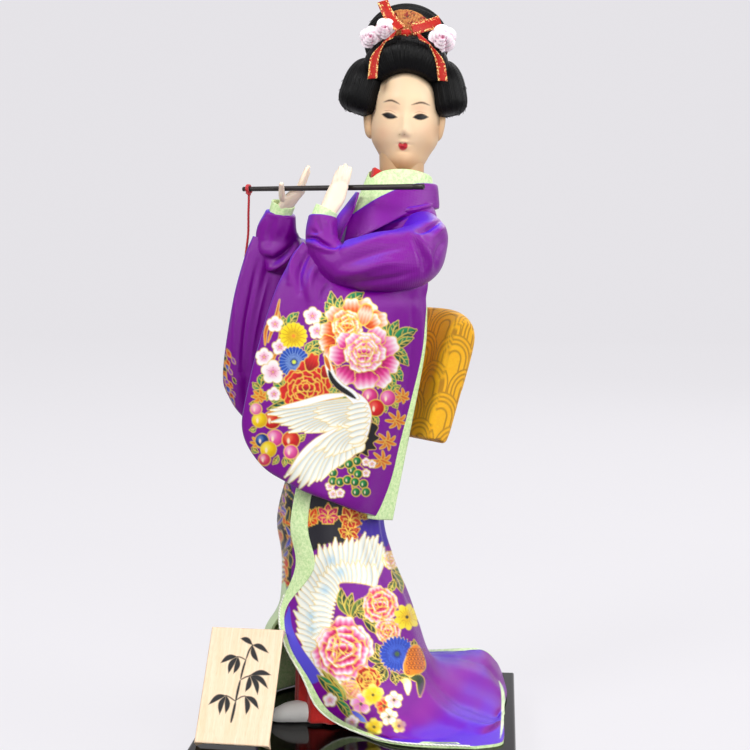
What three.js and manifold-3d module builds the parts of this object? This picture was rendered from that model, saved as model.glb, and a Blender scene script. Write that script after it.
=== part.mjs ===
// A dressed souvenir doll: a woman in a long kimono who plays a side-blown flute.
// She stands on a black lacquered plinth, with a wooden name plaque leaning on her skirt.
// Millimetres, +Z up, +X to the viewer's right and +Y away from the viewer.
// The origin is the middle of the plinth's underside.
import * as THREE from 'three';
import { mergeVertices } from 'three/addons/utils/BufferGeometryUtils.js';
import Module from 'manifold-3d';

const wasm = await Module();
wasm.setup();

// Driving dimensions
const plinthWidth = 128;
const plinthDepth = 118;
const plinthHeight = 14;
const plinthBevel = 1.2;
const gap = 0.3; // clearance between neighbours that touch on the real doll
const clothThickness = 1.6; // outer cloth with its paper backing
const liningThickness = 0.9;
const bodyFacing = 220; // degrees, the way the body faces, seen from above
const neckSpot = new THREE.Vector3(16, 2, 215.6); // where the neck leaves the shoulders
const headTilt = 2.8; // degrees that the head leans to the viewer's right
const headTurn = 3; // degrees that the face turns towards the viewer
const neckRadius = 8.6;
const neckPlugRadius = 5;
const neckPlugLength = 11;
const skullWidth = 27;
const skullDepth = 32.5;
const skullHeight = 48;
const chinHeight = 11.6; // chin above the seat of the neck
const topknotWidth = 31;
const topknotHeight = 30;
const hairFanRadius = 13;
const hairFanThickness = 0.8;
const ribbonWidth = 4;
const ribbonThickness = 0.7;
const fluteLength = 79.4;
const fluteRadius = 1.15;
const fluteTipRadius = 0.95;
const fluteMiddle = new THREE.Vector3(-10.35, -20.5, 217.9);
const fluteTurn = -19.9; // degrees from +X, seen from above
const cordRadius = 0.5;
const cordKnotInset = 2.6; // from the flute's far end
const cordKnotWidth = 2;
const tasselLength = 13;
const tasselRadius = 1.5;
const plaqueWidth = 30;
const plaqueHeight = 47.6;
const plaqueThickness = 3.6;
const plaqueLean = 35.2; // degrees back from upright
const plaqueTurn = -4.3;
const plaqueFoot = new THREE.Vector3(-31.4, -53, gap); // lower corner nearest the foot
const sashHeight = 34;
const sashThickness = 2.4;
const sashLift = 137.5; // lower edge above the plinth
const bowWidth = 52;
const bowHeight = 54;
const bowDepth = 12.6;
const rodRadius = 1.2;
const rodDepth = 9; // how far the wires go into the plinth
const legRadius = 4.6;
const armRadius = 2.5;
const wristRadius = 3.3;
const footLength = 25;
const footWidth = 9;
const footHeight = 9;

const radians = THREE.MathUtils.degToRad;
const front = new THREE.Vector3(Math.cos(radians(bodyFacing)), Math.sin(radians(bodyFacing)), 0);
const left = new THREE.Vector3(-front.y, front.x, 0); // the doll's own left hand side
const vec = (p) => new THREE.Vector3(p[0], p[1], p[2]);

// A closed geometry as a solid that can be joined and cut.
function solidOf(geometry) {
  const bare = geometry.index ? geometry.clone() : mergeVertices(geometry);
  bare.deleteAttribute('normal');
  bare.deleteAttribute('uv');
  const merged = mergeVertices(bare, 1e-4);
  return new wasm.Manifold(new wasm.Mesh({
    numProp: 3,
    vertProperties: new Float32Array(merged.attributes.position.array),
    triVerts: new Uint32Array(merged.index.array),
  }));
}

// Points and triangles as a solid.
function solidFrom(points, triangles) {
  const geometry = new THREE.BufferGeometry().setFromPoints(points);
  geometry.setIndex(triangles);
  return solidOf(geometry);
}

function joined(solids) {
  return solids.reduce((sum, one) => sum.add(one));
}

// A solid with its neighbours' room cut away; its largest body is kept.
function cleared(solid, neighbours) {
  const cut = neighbours.reduce((rest, one) => rest.subtract(one), solid);
  const bodies = cut.decompose();
  return bodies.reduce((best, one) => (one.volume() > best.volume() ? one : best));
}

function namedMesh(name, solid, colour, roughness, metalness = 0) {
  const { vertProperties, triVerts } = solid.getMesh();
  const geometry = new THREE.BufferGeometry();
  geometry.setAttribute('position', new THREE.BufferAttribute(vertProperties, 3));
  geometry.setIndex(new THREE.BufferAttribute(triVerts, 1));
  geometry.computeVertexNormals();
  const material = new THREE.MeshStandardMaterial({ color: colour, roughness, metalness });
  const mesh = new THREE.Mesh(geometry, material);
  mesh.name = name;
  return mesh;
}

// Rings of points joined into one closed skin, with the first and last ring capped.
function loft(rings) {
  const count = rings[0].length;
  const points = rings.flat();
  const triangles = [];
  for (let r = 0; r + 1 < rings.length; r += 1) {
    for (let i = 0; i < count; i += 1) {
      const a = r * count + i;
      const b = r * count + (i + 1) % count;
      triangles.push(a, b, b + count, a, b + count, a + count);
    }
  }
  for (const [ring, flip] of [[0, true], [rings.length - 1, false]]) {
    const middle = points.length;
    points.push(rings[ring].reduce((sum, p) => sum.clone().add(p)).divideScalar(count));
    for (let i = 0; i < count; i += 1) {
      const a = ring * count + i;
      const b = ring * count + (i + 1) % count;
      triangles.push(middle, flip ? b : a, flip ? a : b);
    }
  }
  const solid = solidFrom(points, triangles);
  return solid.volume() < 0 ? solidFrom(points, triangles.slice().reverse()) : solid;
}

// A level ring round the body, wider to the sides or to the front.
function bodyRing(x, y, height, side, depth, sides = 24) {
  return Array.from({ length: sides }, (_, i) => bodyPoint(x, y, height, side, depth, 360 * i / sides));
}

// The point of such a ring at an angle counted from the body's front towards its left.
function bodyPoint(x, y, height, side, depth, angle) {
  const point = new THREE.Vector3(x, y, height);
  point.addScaledVector(front, depth * Math.cos(radians(angle)));
  return point.addScaledVector(left, side * Math.sin(radians(angle)));
}

// A stack of such rings from rows of x, y, height, side and depth.
function bodyLoft(rows, grow = 0, sides = 16) {
  return loft(rows.map(([x, y, height, side, depth]) => (
    bodyRing(x, y, height, side + grow, depth + grow, sides)
  )));
}

// A round-ended limb through stations of x, y, z, width and depth (as radii).
const alongX = new THREE.Vector3(1, 0, 0);
function limb(stations, { sides = 12, steps = 8, capSteps = 2, grow = 0, across = alongX } = {}) {
  const path = new THREE.CatmullRomCurve3(stations.map(vec), false, 'catmullrom');
  const sizes = stations.map((s) => new THREE.Vector3(s[3], s[4] ?? s[3], 0));
  const sizePath = new THREE.CatmullRomCurve3(sizes, false, 'catmullrom');
  const rings = [];
  const addRing = (at, along, share) => {
    const centre = path.getPoint(at);
    const tangent = path.getTangent(at);
    const size = sizePath.getPoint(at);
    const v = new THREE.Vector3().crossVectors(tangent, across).normalize();
    const u = new THREE.Vector3().crossVectors(v, tangent).normalize();
    const reach = Math.min(size.x, size.y) + grow;
    centre.addScaledVector(tangent, along * reach);
    rings.push(Array.from({ length: sides }, (_, i) => {
      const angle = 2 * Math.PI * i / sides;
      const point = centre.clone().addScaledVector(u, (size.x + grow) * share * Math.cos(angle));
      return point.addScaledVector(v, (size.y + grow) * share * Math.sin(angle));
    }));
  };
  for (let c = capSteps; c > 0; c -= 1) {
    const angle = Math.PI / 2 * c / (capSteps + 0.6);
    addRing(0, -Math.sin(angle), Math.cos(angle));
  }
  for (let s = 0; s <= steps; s += 1) {
    addRing(s / steps, 0, 1);
  }
  for (let c = 1; c <= capSteps; c += 1) {
    const angle = Math.PI / 2 * c / (capSteps + 0.6);
    addRing(1, Math.sin(angle), Math.cos(angle));
  }
  return loft(rings);
}

// An ellipsoid, turned by Euler angles in degrees.
function ellipsoid(centre, radii, turn = [0, 0, 0], columns = 14, rows = 8) {
  const geometry = new THREE.SphereGeometry(1, columns, rows).rotateX(Math.PI / 2);
  geometry.scale(...radii);
  geometry.rotateX(radians(turn[0])).rotateY(radians(turn[1])).rotateZ(radians(turn[2]));
  return solidOf(geometry.translate(...centre));
}

function block(size, centre) {
  return solidOf(new THREE.BoxGeometry(...size).translate(...centre));
}

// A straight round bar between two points.
function bar(from, to, radius, sides = 16, endRadius = radius) {
  const along = new THREE.Vector3().subVectors(to, from);
  const geometry = new THREE.CylinderGeometry(endRadius, radius, along.length(), sides);
  const upright = new THREE.Vector3(0, 1, 0);
  const turn = new THREE.Quaternion().setFromUnitVectors(upright, along.clone().normalize());
  geometry.applyQuaternion(turn);
  return solidOf(geometry.translate(...from.clone().addScaledVector(along, 0.5).toArray()));
}

// Rows of hand-set points, smoothed both ways into a grid of points.
function smoothGrid(rows, across, down) {
  const lines = rows.map((row) => {
    const curve = new THREE.CatmullRomCurve3(row.map(vec), false, 'catmullrom');
    return Array.from({ length: across + 1 }, (_, i) => curve.getPoint(i / across));
  });
  const columns = lines[0].map((_, i) => {
    const curve = new THREE.CatmullRomCurve3(lines.map((line) => line[i]), false, 'catmullrom');
    return Array.from({ length: down + 1 }, (_, j) => curve.getPoint(j / down));
  });
  return Array.from({ length: down + 1 }, (_, j) => columns.map((column) => column[j]));
}

// The same grid with its outer lines moved outwards, for the room round a sheet.
function widened(grid, grow) {
  const lines = grid.map((line) => line.map((p) => p.clone()));
  const push = (point, inner) => point.add(point.clone().sub(inner).setLength(grow));
  if (grow > 0) {
    const last = grid[0].length - 1;
    lines.forEach((line, j) => {
      push(line[0], grid[j][1]);
      push(line[last], grid[j][last - 1]);
    });
    const low = grid.length - 1;
    lines[0].forEach((point, i) => push(point, grid[1][i]));
    lines[low].forEach((point, i) => push(point, grid[low - 1][i]));
  }
  return lines;
}

// A sheet of cloth: a grid of points given its thickness, half to either side.
function sheet(rows, { across, down, thickness, grow = 0 }) {
  const grid = widened(smoothGrid(rows, across, down), grow);
  const half = thickness / 2 + grow;
  const at = (j, i) => grid[Math.min(Math.max(j, 0), down)][Math.min(Math.max(i, 0), across)];
  const points = [];
  for (const sign of [1, -1]) {
    for (let j = 0; j <= down; j += 1) {
      for (let i = 0; i <= across; i += 1) {
        const side = new THREE.Vector3().subVectors(at(j, i + 1), at(j, i - 1));
        const fall = new THREE.Vector3().subVectors(at(j + 1, i), at(j - 1, i));
        const normal = side.cross(fall).normalize();
        points.push(at(j, i).clone().addScaledVector(normal, sign * half));
      }
    }
  }
  const wide = across + 1;
  const back = wide * (down + 1);
  const triangles = [];
  const quad = (a, b, c, d) => triangles.push(a, b, c, a, c, d);
  for (let j = 0; j < down; j += 1) {
    for (let i = 0; i < across; i += 1) {
      const a = j * wide + i;
      quad(a, a + 1, a + wide + 1, a + wide);
      quad(back + a, back + a + wide, back + a + wide + 1, back + a + 1);
    }
  }
  for (let i = 0; i < across; i += 1) {
    quad(i, back + i, back + i + 1, i + 1);
    const low = down * wide + i;
    quad(low, low + 1, back + low + 1, back + low);
  }
  for (let j = 0; j < down; j += 1) {
    const a = j * wide;
    quad(a, a + wide, back + a + wide, back + a);
    const b = j * wide + across;
    quad(b, back + b, back + b + wide, b + wide);
  }
  const solid = solidFrom(points, triangles);
  return solid.volume() < 0 ? solidFrom(points, triangles.slice().reverse()) : solid;
}

// The plinth: a lacquered board with eased edges and two blind holes for the wires in the feet.
const rodSpot = new THREE.Vector3(3, 3, 0); // under the left leg
const pinSpot = new THREE.Vector3(-19, -16, 0); // under the right heel
function plinth() {
  const halfWidth = plinthWidth / 2 - plinthBevel;
  const halfDepth = plinthDepth / 2 - plinthBevel;
  const outline = new THREE.Shape();
  outline.moveTo(-halfWidth, -halfDepth);
  outline.lineTo(halfWidth, -halfDepth);
  outline.lineTo(halfWidth, halfDepth);
  outline.lineTo(-halfWidth, halfDepth);
  outline.closePath();
  const board = new THREE.ExtrudeGeometry(outline, {
    depth: plinthHeight - 2 * plinthBevel,
    bevelThickness: plinthBevel,
    bevelSize: plinthBevel,
    bevelSegments: 3,
  });
  board.translate(0, 0, plinthBevel - plinthHeight);
  const holes = [rodSpot, pinSpot].map((spot) => {
    const bottom = spot.clone().setZ(-rodDepth - gap);
    return bar(bottom, spot.clone().setZ(1), rodRadius + gap);
  });
  return cleared(solidOf(board), holes);
}

// The wires that hold the feet to the plinth.
const rodTop = new THREE.Vector3(rodSpot.x, rodSpot.y, 26);
const pinTop = new THREE.Vector3(pinSpot.x, pinSpot.y, 5.5);
function wire(top, grow) {
  return bar(top.clone().setZ(-rodDepth - grow), top.clone().setZ(top.z + grow), rodRadius + grow);
}
const standRod = (grow = 0) => wire(rodTop, grow);
const footPin = (grow = 0) => wire(pinTop, grow);

// The stuffed trunk, from the hips to the seat of the neck.
const trunkRows = [
  [-6, 0, 86, 12, 11],
  [-4, 0, 100, 14, 12.5],
  [-0.5, 0.5, 126, 12.5, 11],
  [2.5, 1, 148, 11.5, 9.5],
  [7.5, 1, 172, 14, 10.5],
  [12, 1, 192, 17, 10.5],
  [14.5, 1.5, 204, 14.5, 9.5],
  [15.8, 2, 211.5, 10.5, 9.2],
  [16, 2, neckSpot.z - gap, 9.5, 9],
];
const trunk = (grow = 0) => bodyLoft(trunkRows, grow, 10);
const neckSocket = () => bar(
  neckSpot.clone().setZ(neckSpot.z - neckPlugLength - gap),
  neckSpot.clone().setZ(neckSpot.z + 1),
  neckPlugRadius + gap,
);

// Legs that hang from the hips, and small feet in white split-toe socks.
const hipHeight = trunkRows[0][2] - gap;
const rightLegStations = [
  [-12, 4, hipHeight - legRadius, legRadius],
  [-20, -7, 52, legRadius - 0.4],
  [-17.5, -12.5, 24, legRadius - 1.2],
  [-18, -14, 12.5, legRadius - 1.6],
];
const leftLegStations = [
  [-1, -4, hipHeight - legRadius, legRadius],
  [-1, -2, 52, legRadius - 0.4],
  [rodSpot.x, rodSpot.y - 0.6, 24, legRadius - 1.2],
  [rodSpot.x, rodSpot.y, 12.5, legRadius - 1.6],
];
const leg = (stations, grow = 0) => limb(stations, { sides: 10, steps: 6, grow });

// A foot points along a direction seen from above; its sole is flat.
function foot(heel, direction, grow = 0) {
  const at = (along, height, wide, tall) => {
    const [x, y] = [heel[0] + direction[0] * along, heel[1] + direction[1] * along];
    return [x, y, height, wide, tall];
  };
  const half = footWidth / 2;
  const stations = [
    at(-1, footHeight * 0.45, half * 0.7, footHeight * 0.44),
    at(footLength * 0.3, footHeight * 0.5, half * 0.85, footHeight * 0.5),
    at(footLength * 0.55, footHeight * 0.36, half, footHeight * 0.38),
    at(footLength * 0.76, footHeight * 0.26, half * 0.8, footHeight * 0.26),
  ];
  const across = new THREE.Vector3(-direction[1], direction[0], 0);
  const whole = limb(stations, { sides: 10, steps: 4, grow, across });
  const room = 3 * footLength;
  const sole = block([room, room, footLength], [...heel, gap - grow - footLength / 2]);
  return whole.subtract(sole);
}
const rightFoot = (grow = 0) => foot([pinSpot.x + 1.5, pinSpot.y - 0.1], [-0.998, -0.06], grow);
const leftFoot = (grow = 0) => foot([rodSpot.x + 0.5, rodSpot.y + 0.2], [-0.87, -0.49], grow);

// The red under-robe: a narrow cone round both legs.
const underRobeRows = [
  [-9, 0, 96, 15.5, 15.5],
  [-11, -1.5, 70, 16, 16],
  [-12, -5, 40, 14.5, 14.5],
  [-12.5, -6.5, 20, 13.5, 14.5],
  [-12, -7, 1.2, 14.5, 15.5],
];
const underRobe = () => {
  const inner = underRobeRows.map((row) => row.slice());
  inner[0][2] += 1;
  inner[inner.length - 1][2] -= 1;
  return bodyLoft(underRobeRows, 0, 12).subtract(bodyLoft(inner, -1.2, 12));
};

// The long skirt of the kimono, in two cloth panels that meet in a seam at the back.
// Upper rows go round the body: height, x, y, side, depth and the angle of the front edge.
const skirtRings = [
  [135, -1, 0.5, 17.5, 15.5, 24],
  [111, -8, 0, 20, 20, 27],
  [84, -13.8, 0, 22, 22, 32],
  [66, -11, 0, 23.2, 23.2, 32],
];
const bandAngle = 20; // how far round the green band reaches
const backAngle = 180;
const leftColumns = 6;
const rightColumns = 6;
const ringRow = ([height, x, y, side, depth], from, to, columns, tuck = 0) => (
  Array.from({ length: columns + 1 }, (_, i) => {
    const share = i / columns;
    const inward = tuck * Math.max(0, share * 3 - 2);
    const angle = from + (to - from) * share;
    return bodyPoint(x, y, height, side - inward, depth - inward, angle).toArray();
  })
);
// Lower rows of the left panel sweep from its front edge round the viewer's right into the train.
const trainRows = [
  [[-29.5, -18.5, 48], [-16, -25.5, 48], [2, -25, 47], [15, -15, 47], [19.2, 0, 47.5], [16, 16, 48], [4, 25, 48]],
  [[-27.6, -23.8, 35], [-13, -29, 34], [4, -28, 33], [17.6, -17, 33], [23.4, 0, 34.5], [20.4, 17, 36], [8, 28.6, 36]],
  [[-19.5, -26.5, 22], [-5, -32, 20], [11, -31, 17.6], [24, -20, 17.6], [28.6, 1, 19.4], [27, 20, 19.6], [18, 33, 18]],
  [[-11, -28, 9], [4, -34, 7], [20, -34, 6.2], [34, -22, 6.8], [39, 1, 10.6], [41, 23, 15.8], [35, 37.6, 15.6]],
  [[3, -31, 2.2], [15, -37.5, 2.2], [31, -37, 2.4], [44, -24, 3.2], [49.6, 2, 6], [51, 24, 12.4], [49, 41, 15.4]],
  [[21, -41.5, 1.3], [33, -42.5, 1.5], [44, -38, 1.7], [53, -24, 2], [56.4, 2, 3], [57, 24, 6], [55.6, 46, 9]],
  [[48, -42, 1.2], [57.5, -37.5, 1.2], [59.4, -30, 1.2], [59.3, -10, 1.2], [59.6, 8, 1.2], [60.6, 26, 1.4], [58.5, 54, 1.2]],
];
const leftSkirtRows = [
  ...skirtRings.map((ring) => ringRow(ring, ring[5], backAngle, leftColumns)),
  ...trainRows,
];
// Lower rows of the right panel open to the viewer's left and close the back.
const backRows = [
  [[4, 25, 48], [-12, 26, 48], [-25, 20.5, 48], [-33, 8, 48], [-34.4, -3, 48], [-33, -10, 48], [-30, -15, 48]],
  [[8, 28.6, 36], [-10, 31, 35], [-27, 26, 36], [-37, 14, 36], [-40.4, 3, 36], [-40.2, -5, 36], [-37, -11.6, 37]],
  [[18, 33, 18], [-4, 37, 19], [-26, 32, 20], [-40, 20, 20], [-45, 8, 20], [-45.5, 1, 20], [-43, -5, 21]],
  [[49, 41, 15.4], [12, 43, 9], [-20, 38, 8], [-40, 25, 8], [-47, 12, 8], [-48.5, 5, 8], [-47, 0, 8]],
  [[58.5, 54, 1.2], [32, 55, 1.2], [-8, 47, 1.2], [-33, 33, 1.2], [-44, 19, 1.2], [-48, 11, 1.2], [-48.5, 5, 1.2]],
];
const rightSkirtRows = [
  ...skirtRings.map((ring) => ringRow(ring, backAngle, 360 + ring[5] - 8, rightColumns, 2.8)),
  ...backRows,
];
const leftSkirt = (grow = 0) => sheet(leftSkirtRows, { across: 16, down: 20, thickness: clothThickness, grow });
const rightSkirt = (grow = 0) => sheet(rightSkirtRows, { across: 12, down: 14, thickness: clothThickness, grow });

// The pale green lining inside the right panel, seen where the skirt opens at the foot.
const liningInset = 2.6;
const skirtLiningRows = [skirtRings[3], ...backRows].map((row, r) => {
  const points = r === 0 ? ringRow(row, backAngle, 360 + row[5] - 12, rightColumns, 2.8) : row;
  const axis = new THREE.Vector3(-12 + 3 * r, 2 * r, 0);
  return points.slice(1).map((p) => {
    const inward = new THREE.Vector3(axis.x - p[0], axis.y - p[1], 0).setLength(liningInset);
    return [p[0] + inward.x, p[1] + inward.y, p[2]];
  });
});
const skirtLining = () => sheet(skirtLiningRows, { across: 8, down: 8, thickness: liningThickness });

// The green band that edges the left panel, down its front and along the hem.
const hemBandWidths = [2.6, 1.7, 2.2, 4, 4.2, 2.6, 1.6];
const bandRows = [
  ...skirtRings.map((ring) => {
    const [height, x, y, side, depth, edge] = ring;
    const angles = [edge - bandAngle, edge - bandAngle / 2, edge - 1.4];
    return angles.map((angle) => bodyPoint(x, y, height, side + 0.4, depth + 0.4, angle).toArray());
  }),
  ...trainRows.map((row, r) => {
    const [edge, next] = [vec(row[0]), vec(row[1])];
    const outward = edge.clone().sub(next).setLength(hemBandWidths[r]);
    outward.z = Math.min(0, outward.z - 0.25 * hemBandWidths[r] * (r < 5));
    return [1 + 0.5 / hemBandWidths[r], 0.6, 0.3].map((share) => {
      const point = edge.clone().addScaledVector(outward, share);
      point.z = Math.max(point.z, liningThickness / 2 + gap);
      return point.toArray();
    });
  }),
];
const frontBand = () => sheet(bandRows, { across: 2, down: 20, thickness: liningThickness });

// The upper kimono over the chest, shoulders and back.
const kimonoRows = [
  [-1.2, 0.5, 136.6, 16.3, 14],
  [2, 1, 150, 15.2, 12.8],
  [7, 1, 172, 18, 14.5],
  [10.5, 1, 186, 20.5, 15.5],
  [13, 1.2, 198, 21.5, 14.5],
  [15, 1.5, 206, 19, 13],
  [16, 2, 212, 15, 12],
  [16, 2, neckSpot.z + 0.5, 12, 11.4],
];
const kimonoBody = (grow = 0) => bodyLoft(kimonoRows, grow, 14);

// Three crossed collars. Each is a band between an upper and a lower line round the neck.
// A line gives, for the front point, front side, side, back side and back, the reach
// towards the front, the reach to the side and the height above the seat of the neck.
function collarLoop(line, points = 20) {
  const place = ([ahead, aside, up], sign) => (
    neckSpot.clone().addScaledVector(front, ahead).addScaledVector(left, sign * aside).setZ(neckSpot.z + up)
  );
  const leftHalf = line.map((p) => place(p, 1));
  const rightHalf = line.slice(0, -1).reverse().map((p) => place(p, -1));
  const curve = new THREE.CatmullRomCurve3([...leftHalf, ...rightHalf], false, 'catmullrom');
  return Array.from({ length: points }, (_, i) => curve.getPoint((i + 0.5) / points));
}
function collar(upperLine, lowerLine, thickness, grow = 0) {
  const middle = neckSpot.clone().setZ(neckSpot.z - 4);
  const upper = collarLoop(upperLine);
  const lower = collarLoop(lowerLine);
  const half = thickness / 2 + grow;
  const shifted = (points, out, up) => points.map((p) => {
    const away = p.clone().sub(middle).setZ(0).normalize();
    return p.clone().addScaledVector(away, out).setZ(p.z + up);
  });
  const loops = [
    shifted(upper, -half, grow),
    shifted(upper, half, grow),
    shifted(lower, half, -grow),
    shifted(lower, -half, -grow),
  ];
  const count = upper.length;
  const triangles = [];
  for (let k = 0; k < 4; k += 1) {
    for (let i = 0; i < count; i += 1) {
      const next = (i + 1) % count;
      const [a, b] = [k * count + i, k * count + next];
      const [c, d] = [((k + 1) % 4) * count + next, ((k + 1) % 4) * count + i];
      triangles.push(a, b, c, a, c, d);
    }
  }
  const solid = solidFrom(loops.flat(), triangles);
  return solid.volume() < 0 ? solidFrom(loops.flat(), triangles.slice().reverse()) : solid;
}
const outerCollarTop = [[29, 0, -14], [19, 8, -7], [5, 15.2, -0.6], [-9, 12.6, 1.6], [-15.2, 0, 2.4]];
const outerCollarFoot = [[31, 1, -22], [20, 12, -16], [4, 15.8, -10], [-10.2, 12.8, -7], [-15.6, 0, -6.4]];
const innerCollarTop = [[22, 0, -8], [13, 7, -0.6], [3, 11.3, 5.4], [-7, 10, 6.2], [-12, 0, 6.4]];
const innerCollarFoot = [[26.6, 0, -15], [17.5, 7, -9], [4, 13.3, -3], [-8, 11, -1.5], [-13.8, 0, -1]];
const underCollarTop = [[17, 0, -4], [10, 5, 3], [1.5, 9.9, 7.6], [-6.5, 8.6, 7.8], [-10.6, 0, 7.8]];
const underCollarFoot = [[21, 0, -10], [12, 6.2, -3.5], [2.4, 11, 0.5], [-6.8, 9.8, 1], [-11.6, 0, 1]];
const outerCollar = (grow = 0) => collar(outerCollarTop, outerCollarFoot, 1.6, grow);
const innerCollar = (grow = 0) => collar(innerCollarTop, innerCollarFoot, 1, grow);
const underCollar = (grow = 0) => collar(underCollarTop, underCollarFoot, 0.7, grow);

// The sash: a wide band wound round the waist, and the flat bow that it is tied in behind.
const sashRows = [
  [0.2, 0.7, sashLift, 17, 14.8],
  [2, 1, sashLift + sashHeight * 0.4, 16.2, 13.6],
  [5.6, 1, sashLift + sashHeight * 0.8, 17.8, 14.8],
  [7.2, 1, sashLift + sashHeight, 18.3, 15],
];
const sash = (grow = 0) => bodyLoft(sashRows, sashThickness + grow, 16);
const bowLean = 17; // degrees that the bow's foot swings in to the body
const bowReach = 23.4; // from the waist's axis to the middle of the bow
const bowLift = 143;
const bowShoulder = 0.16; // how much lower the top is at its two corners
const bowSpot = [3.5, 1]; // the waist's axis at the bow's height
function bow(grow = 0) {
  const half = bowDepth / 2;
  // The outline from the side: thicker and folded over at the top.
  const profile = [
    [-half * 0.9, -bowHeight / 2],
    [half * 0.8, -bowHeight / 2],
    [half, -bowHeight * 0.2],
    [half * 1.15, bowHeight * 0.25],
    [half * 0.9, bowHeight * 0.42],
    [half * 0.1, bowHeight / 2],
    [-half * 0.8, bowHeight * 0.44],
    [-half * 1.1, bowHeight * 0.25],
    [-half, -bowHeight * 0.2],
  ];
  const steps = 8;
  const rings = Array.from({ length: steps + 1 }, (_, s) => {
    const share = 2 * s / steps - 1;
    const round = Math.abs(share) === 1 ? 0.8 : 1;
    const shoulder = 1 - bowShoulder * share ** 4;
    return profile.map(([out, up]) => {
      const lean = radians(bowLean);
      const [a, b] = [out * round, up > 0 ? up * shoulder : up];
      const outward = bowReach + a * Math.cos(lean) + b * Math.sin(lean);
      const point = new THREE.Vector3(...bowSpot, bowLift + b * Math.cos(lean) - a * Math.sin(lean));
      return point.addScaledVector(front, -outward).addScaledVector(left, share * (bowWidth / 2 + grow));
    });
  });
  return loft(rings);
}

// The flute in its own frame lies along X; the wide end is at +X, by the lips.
const fluteFrame = new THREE.Matrix4().makeRotationZ(radians(fluteTurn)).setPosition(fluteMiddle);
const onFlute = (x, y = 0, z = 0) => new THREE.Vector3(x, y, z).applyMatrix4(fluteFrame);
const fluteShape = () => bar(
  new THREE.Vector3(-fluteLength / 2, 0, 0),
  new THREE.Vector3(fluteLength / 2, 0, 0),
  fluteTipRadius,
  16,
  fluteRadius,
);
// The way that the flute takes when it is drawn out, past the far hand.
const flutePath = (clearance) => bar(onFlute(-fluteLength), onFlute(fluteLength), fluteRadius + clearance, 16);

// A hand: palm, wrist, four fingers and a thumb, each a short limb.
function hand(wrist, palm, knuckle, tips, thumb, grow = 0) {
  const [w, p, k] = [vec(wrist), vec(palm), vec(knuckle)];
  const across = vec(tips[tips.length - 1]).sub(vec(tips[0])).normalize();
  const spread = (share, width) => k.clone().addScaledVector(across, (share - 0.5) * width).toArray();
  const palmStations = [[...w.toArray(), wristRadius, 2.7], [...p.toArray(), 4.3, 2.3], [...k.toArray(), 4.4, 2]];
  const palmLimb = limb(palmStations, { sides: 8, steps: 3, grow, across });
  const fingers = tips.map((tip, i) => {
    const root = spread(i / (tips.length - 1), 6.4);
    const middle = vec(root).lerp(vec(tip), 0.5).toArray();
    return limb([[...root, 1.25], [...middle, 1.15], [...tip, 0.95]], { sides: 5, steps: 2, capSteps: 1, grow, across });
  });
  const thumbStations = [[...p.toArray(), 1.6], [...thumb[0], 1.4], [...thumb[1], 1]];
  const thumbLimb = limb(thumbStations, { sides: 5, steps: 2, capSteps: 1, grow, across });
  return joined([palmLimb, ...fingers, thumbLimb]);
}
const handClearance = 0.35;
const leftWrist = [-9.4, -28.6, 208.4];
const rightWrist = [-28.2, -8.6, 207.4];
const leftHand = (grow = 0) => hand(
  leftWrist, [-7.4, -27.6, 214], [-4.6, -26.4, 219.2],
  [[-5.6, -25.4, 224.6], [-4.1, -25.6, 226], [-2.1, -25.6, 226.4], [0, -25, 225.2]],
  [[-8.8, -24, 218.6], [-8, -20.4, 220.8]], grow,
);
const rightHand = (grow = 0) => hand(
  rightWrist, [-26.6, -9.8, 213.2], [-24.6, -10.2, 217.6],
  [[-25.2, -10.6, 224], [-23, -10.8, 226.2], [-20.8, -11, 226.6], [-19, -11.6, 224.8]],
  [[-29.2, -13.2, 215], [-29.6, -18.6, 219.6]], grow,
);

// Arms of padded wire, from the shoulders to the wrists.
const leftArmStations = [
  [25, -9, 201, armRadius],
  [26, -21, 194, armRadius],
  [20, -29, 191, armRadius],
  [5, -31.4, 195, armRadius],
  [leftWrist[0] + 2.6, leftWrist[1] - 0.6, leftWrist[2] - 4.6, armRadius],
];
const rightArmStations = [
  [3, 15, 200, armRadius],
  [-14, 16, 190, armRadius],
  [-25, 10, 188.5, armRadius],
  [-28, -1, 197, armRadius],
  [rightWrist[0] + 0.2, rightWrist[1] + 1.6, rightWrist[2] - 4.8, armRadius],
];
const acrossSleeve = new THREE.Vector3(0.15, 0.25, 1);
const arm = (stations, grow = 0) => limb(stations, { sides: 6, steps: 9, grow, across: acrossSleeve });

// Green cuffs of the inner sleeve, round the wrists.
const cuffThickness = 0.8;
const leftCuffStations = [[-5.2, -30.2, 202.4, 5, 4.6], [-8, -29, 206.2, 5.2, 4.6], [-9.8, -28.4, 209.8, 5.6, 4.8]];
const rightCuffStations = [[-28, -5.6, 201, 6.2, 5], [-28.3, -7.4, 205, 6.6, 5], [-28.8, -9, 208.8, 7.2, 5.2]];
function cuff(stations, grow = 0) {
  const across = new THREE.Vector3(1, 0, 0);
  return limb(stations, { sides: 10, steps: 2, capSteps: 1, grow, across });
}
function cuffMouth(stations) {
  const across = new THREE.Vector3(1, 0, 0);
  const first = vec(stations[0]);
  const last = vec(stations[stations.length - 1]);
  const along = last.clone().sub(first).setLength(6);
  const inner = [first.clone().sub(along), first, last, last.clone().add(along)].map((p, i) => {
    const size = stations[i < 2 ? 0 : stations.length - 1];
    return [...p.toArray(), size[3] - cuffThickness, size[4] - cuffThickness];
  });
  return limb(inner, { sides: 10, steps: 3, capSteps: 1, across });
}

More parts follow.
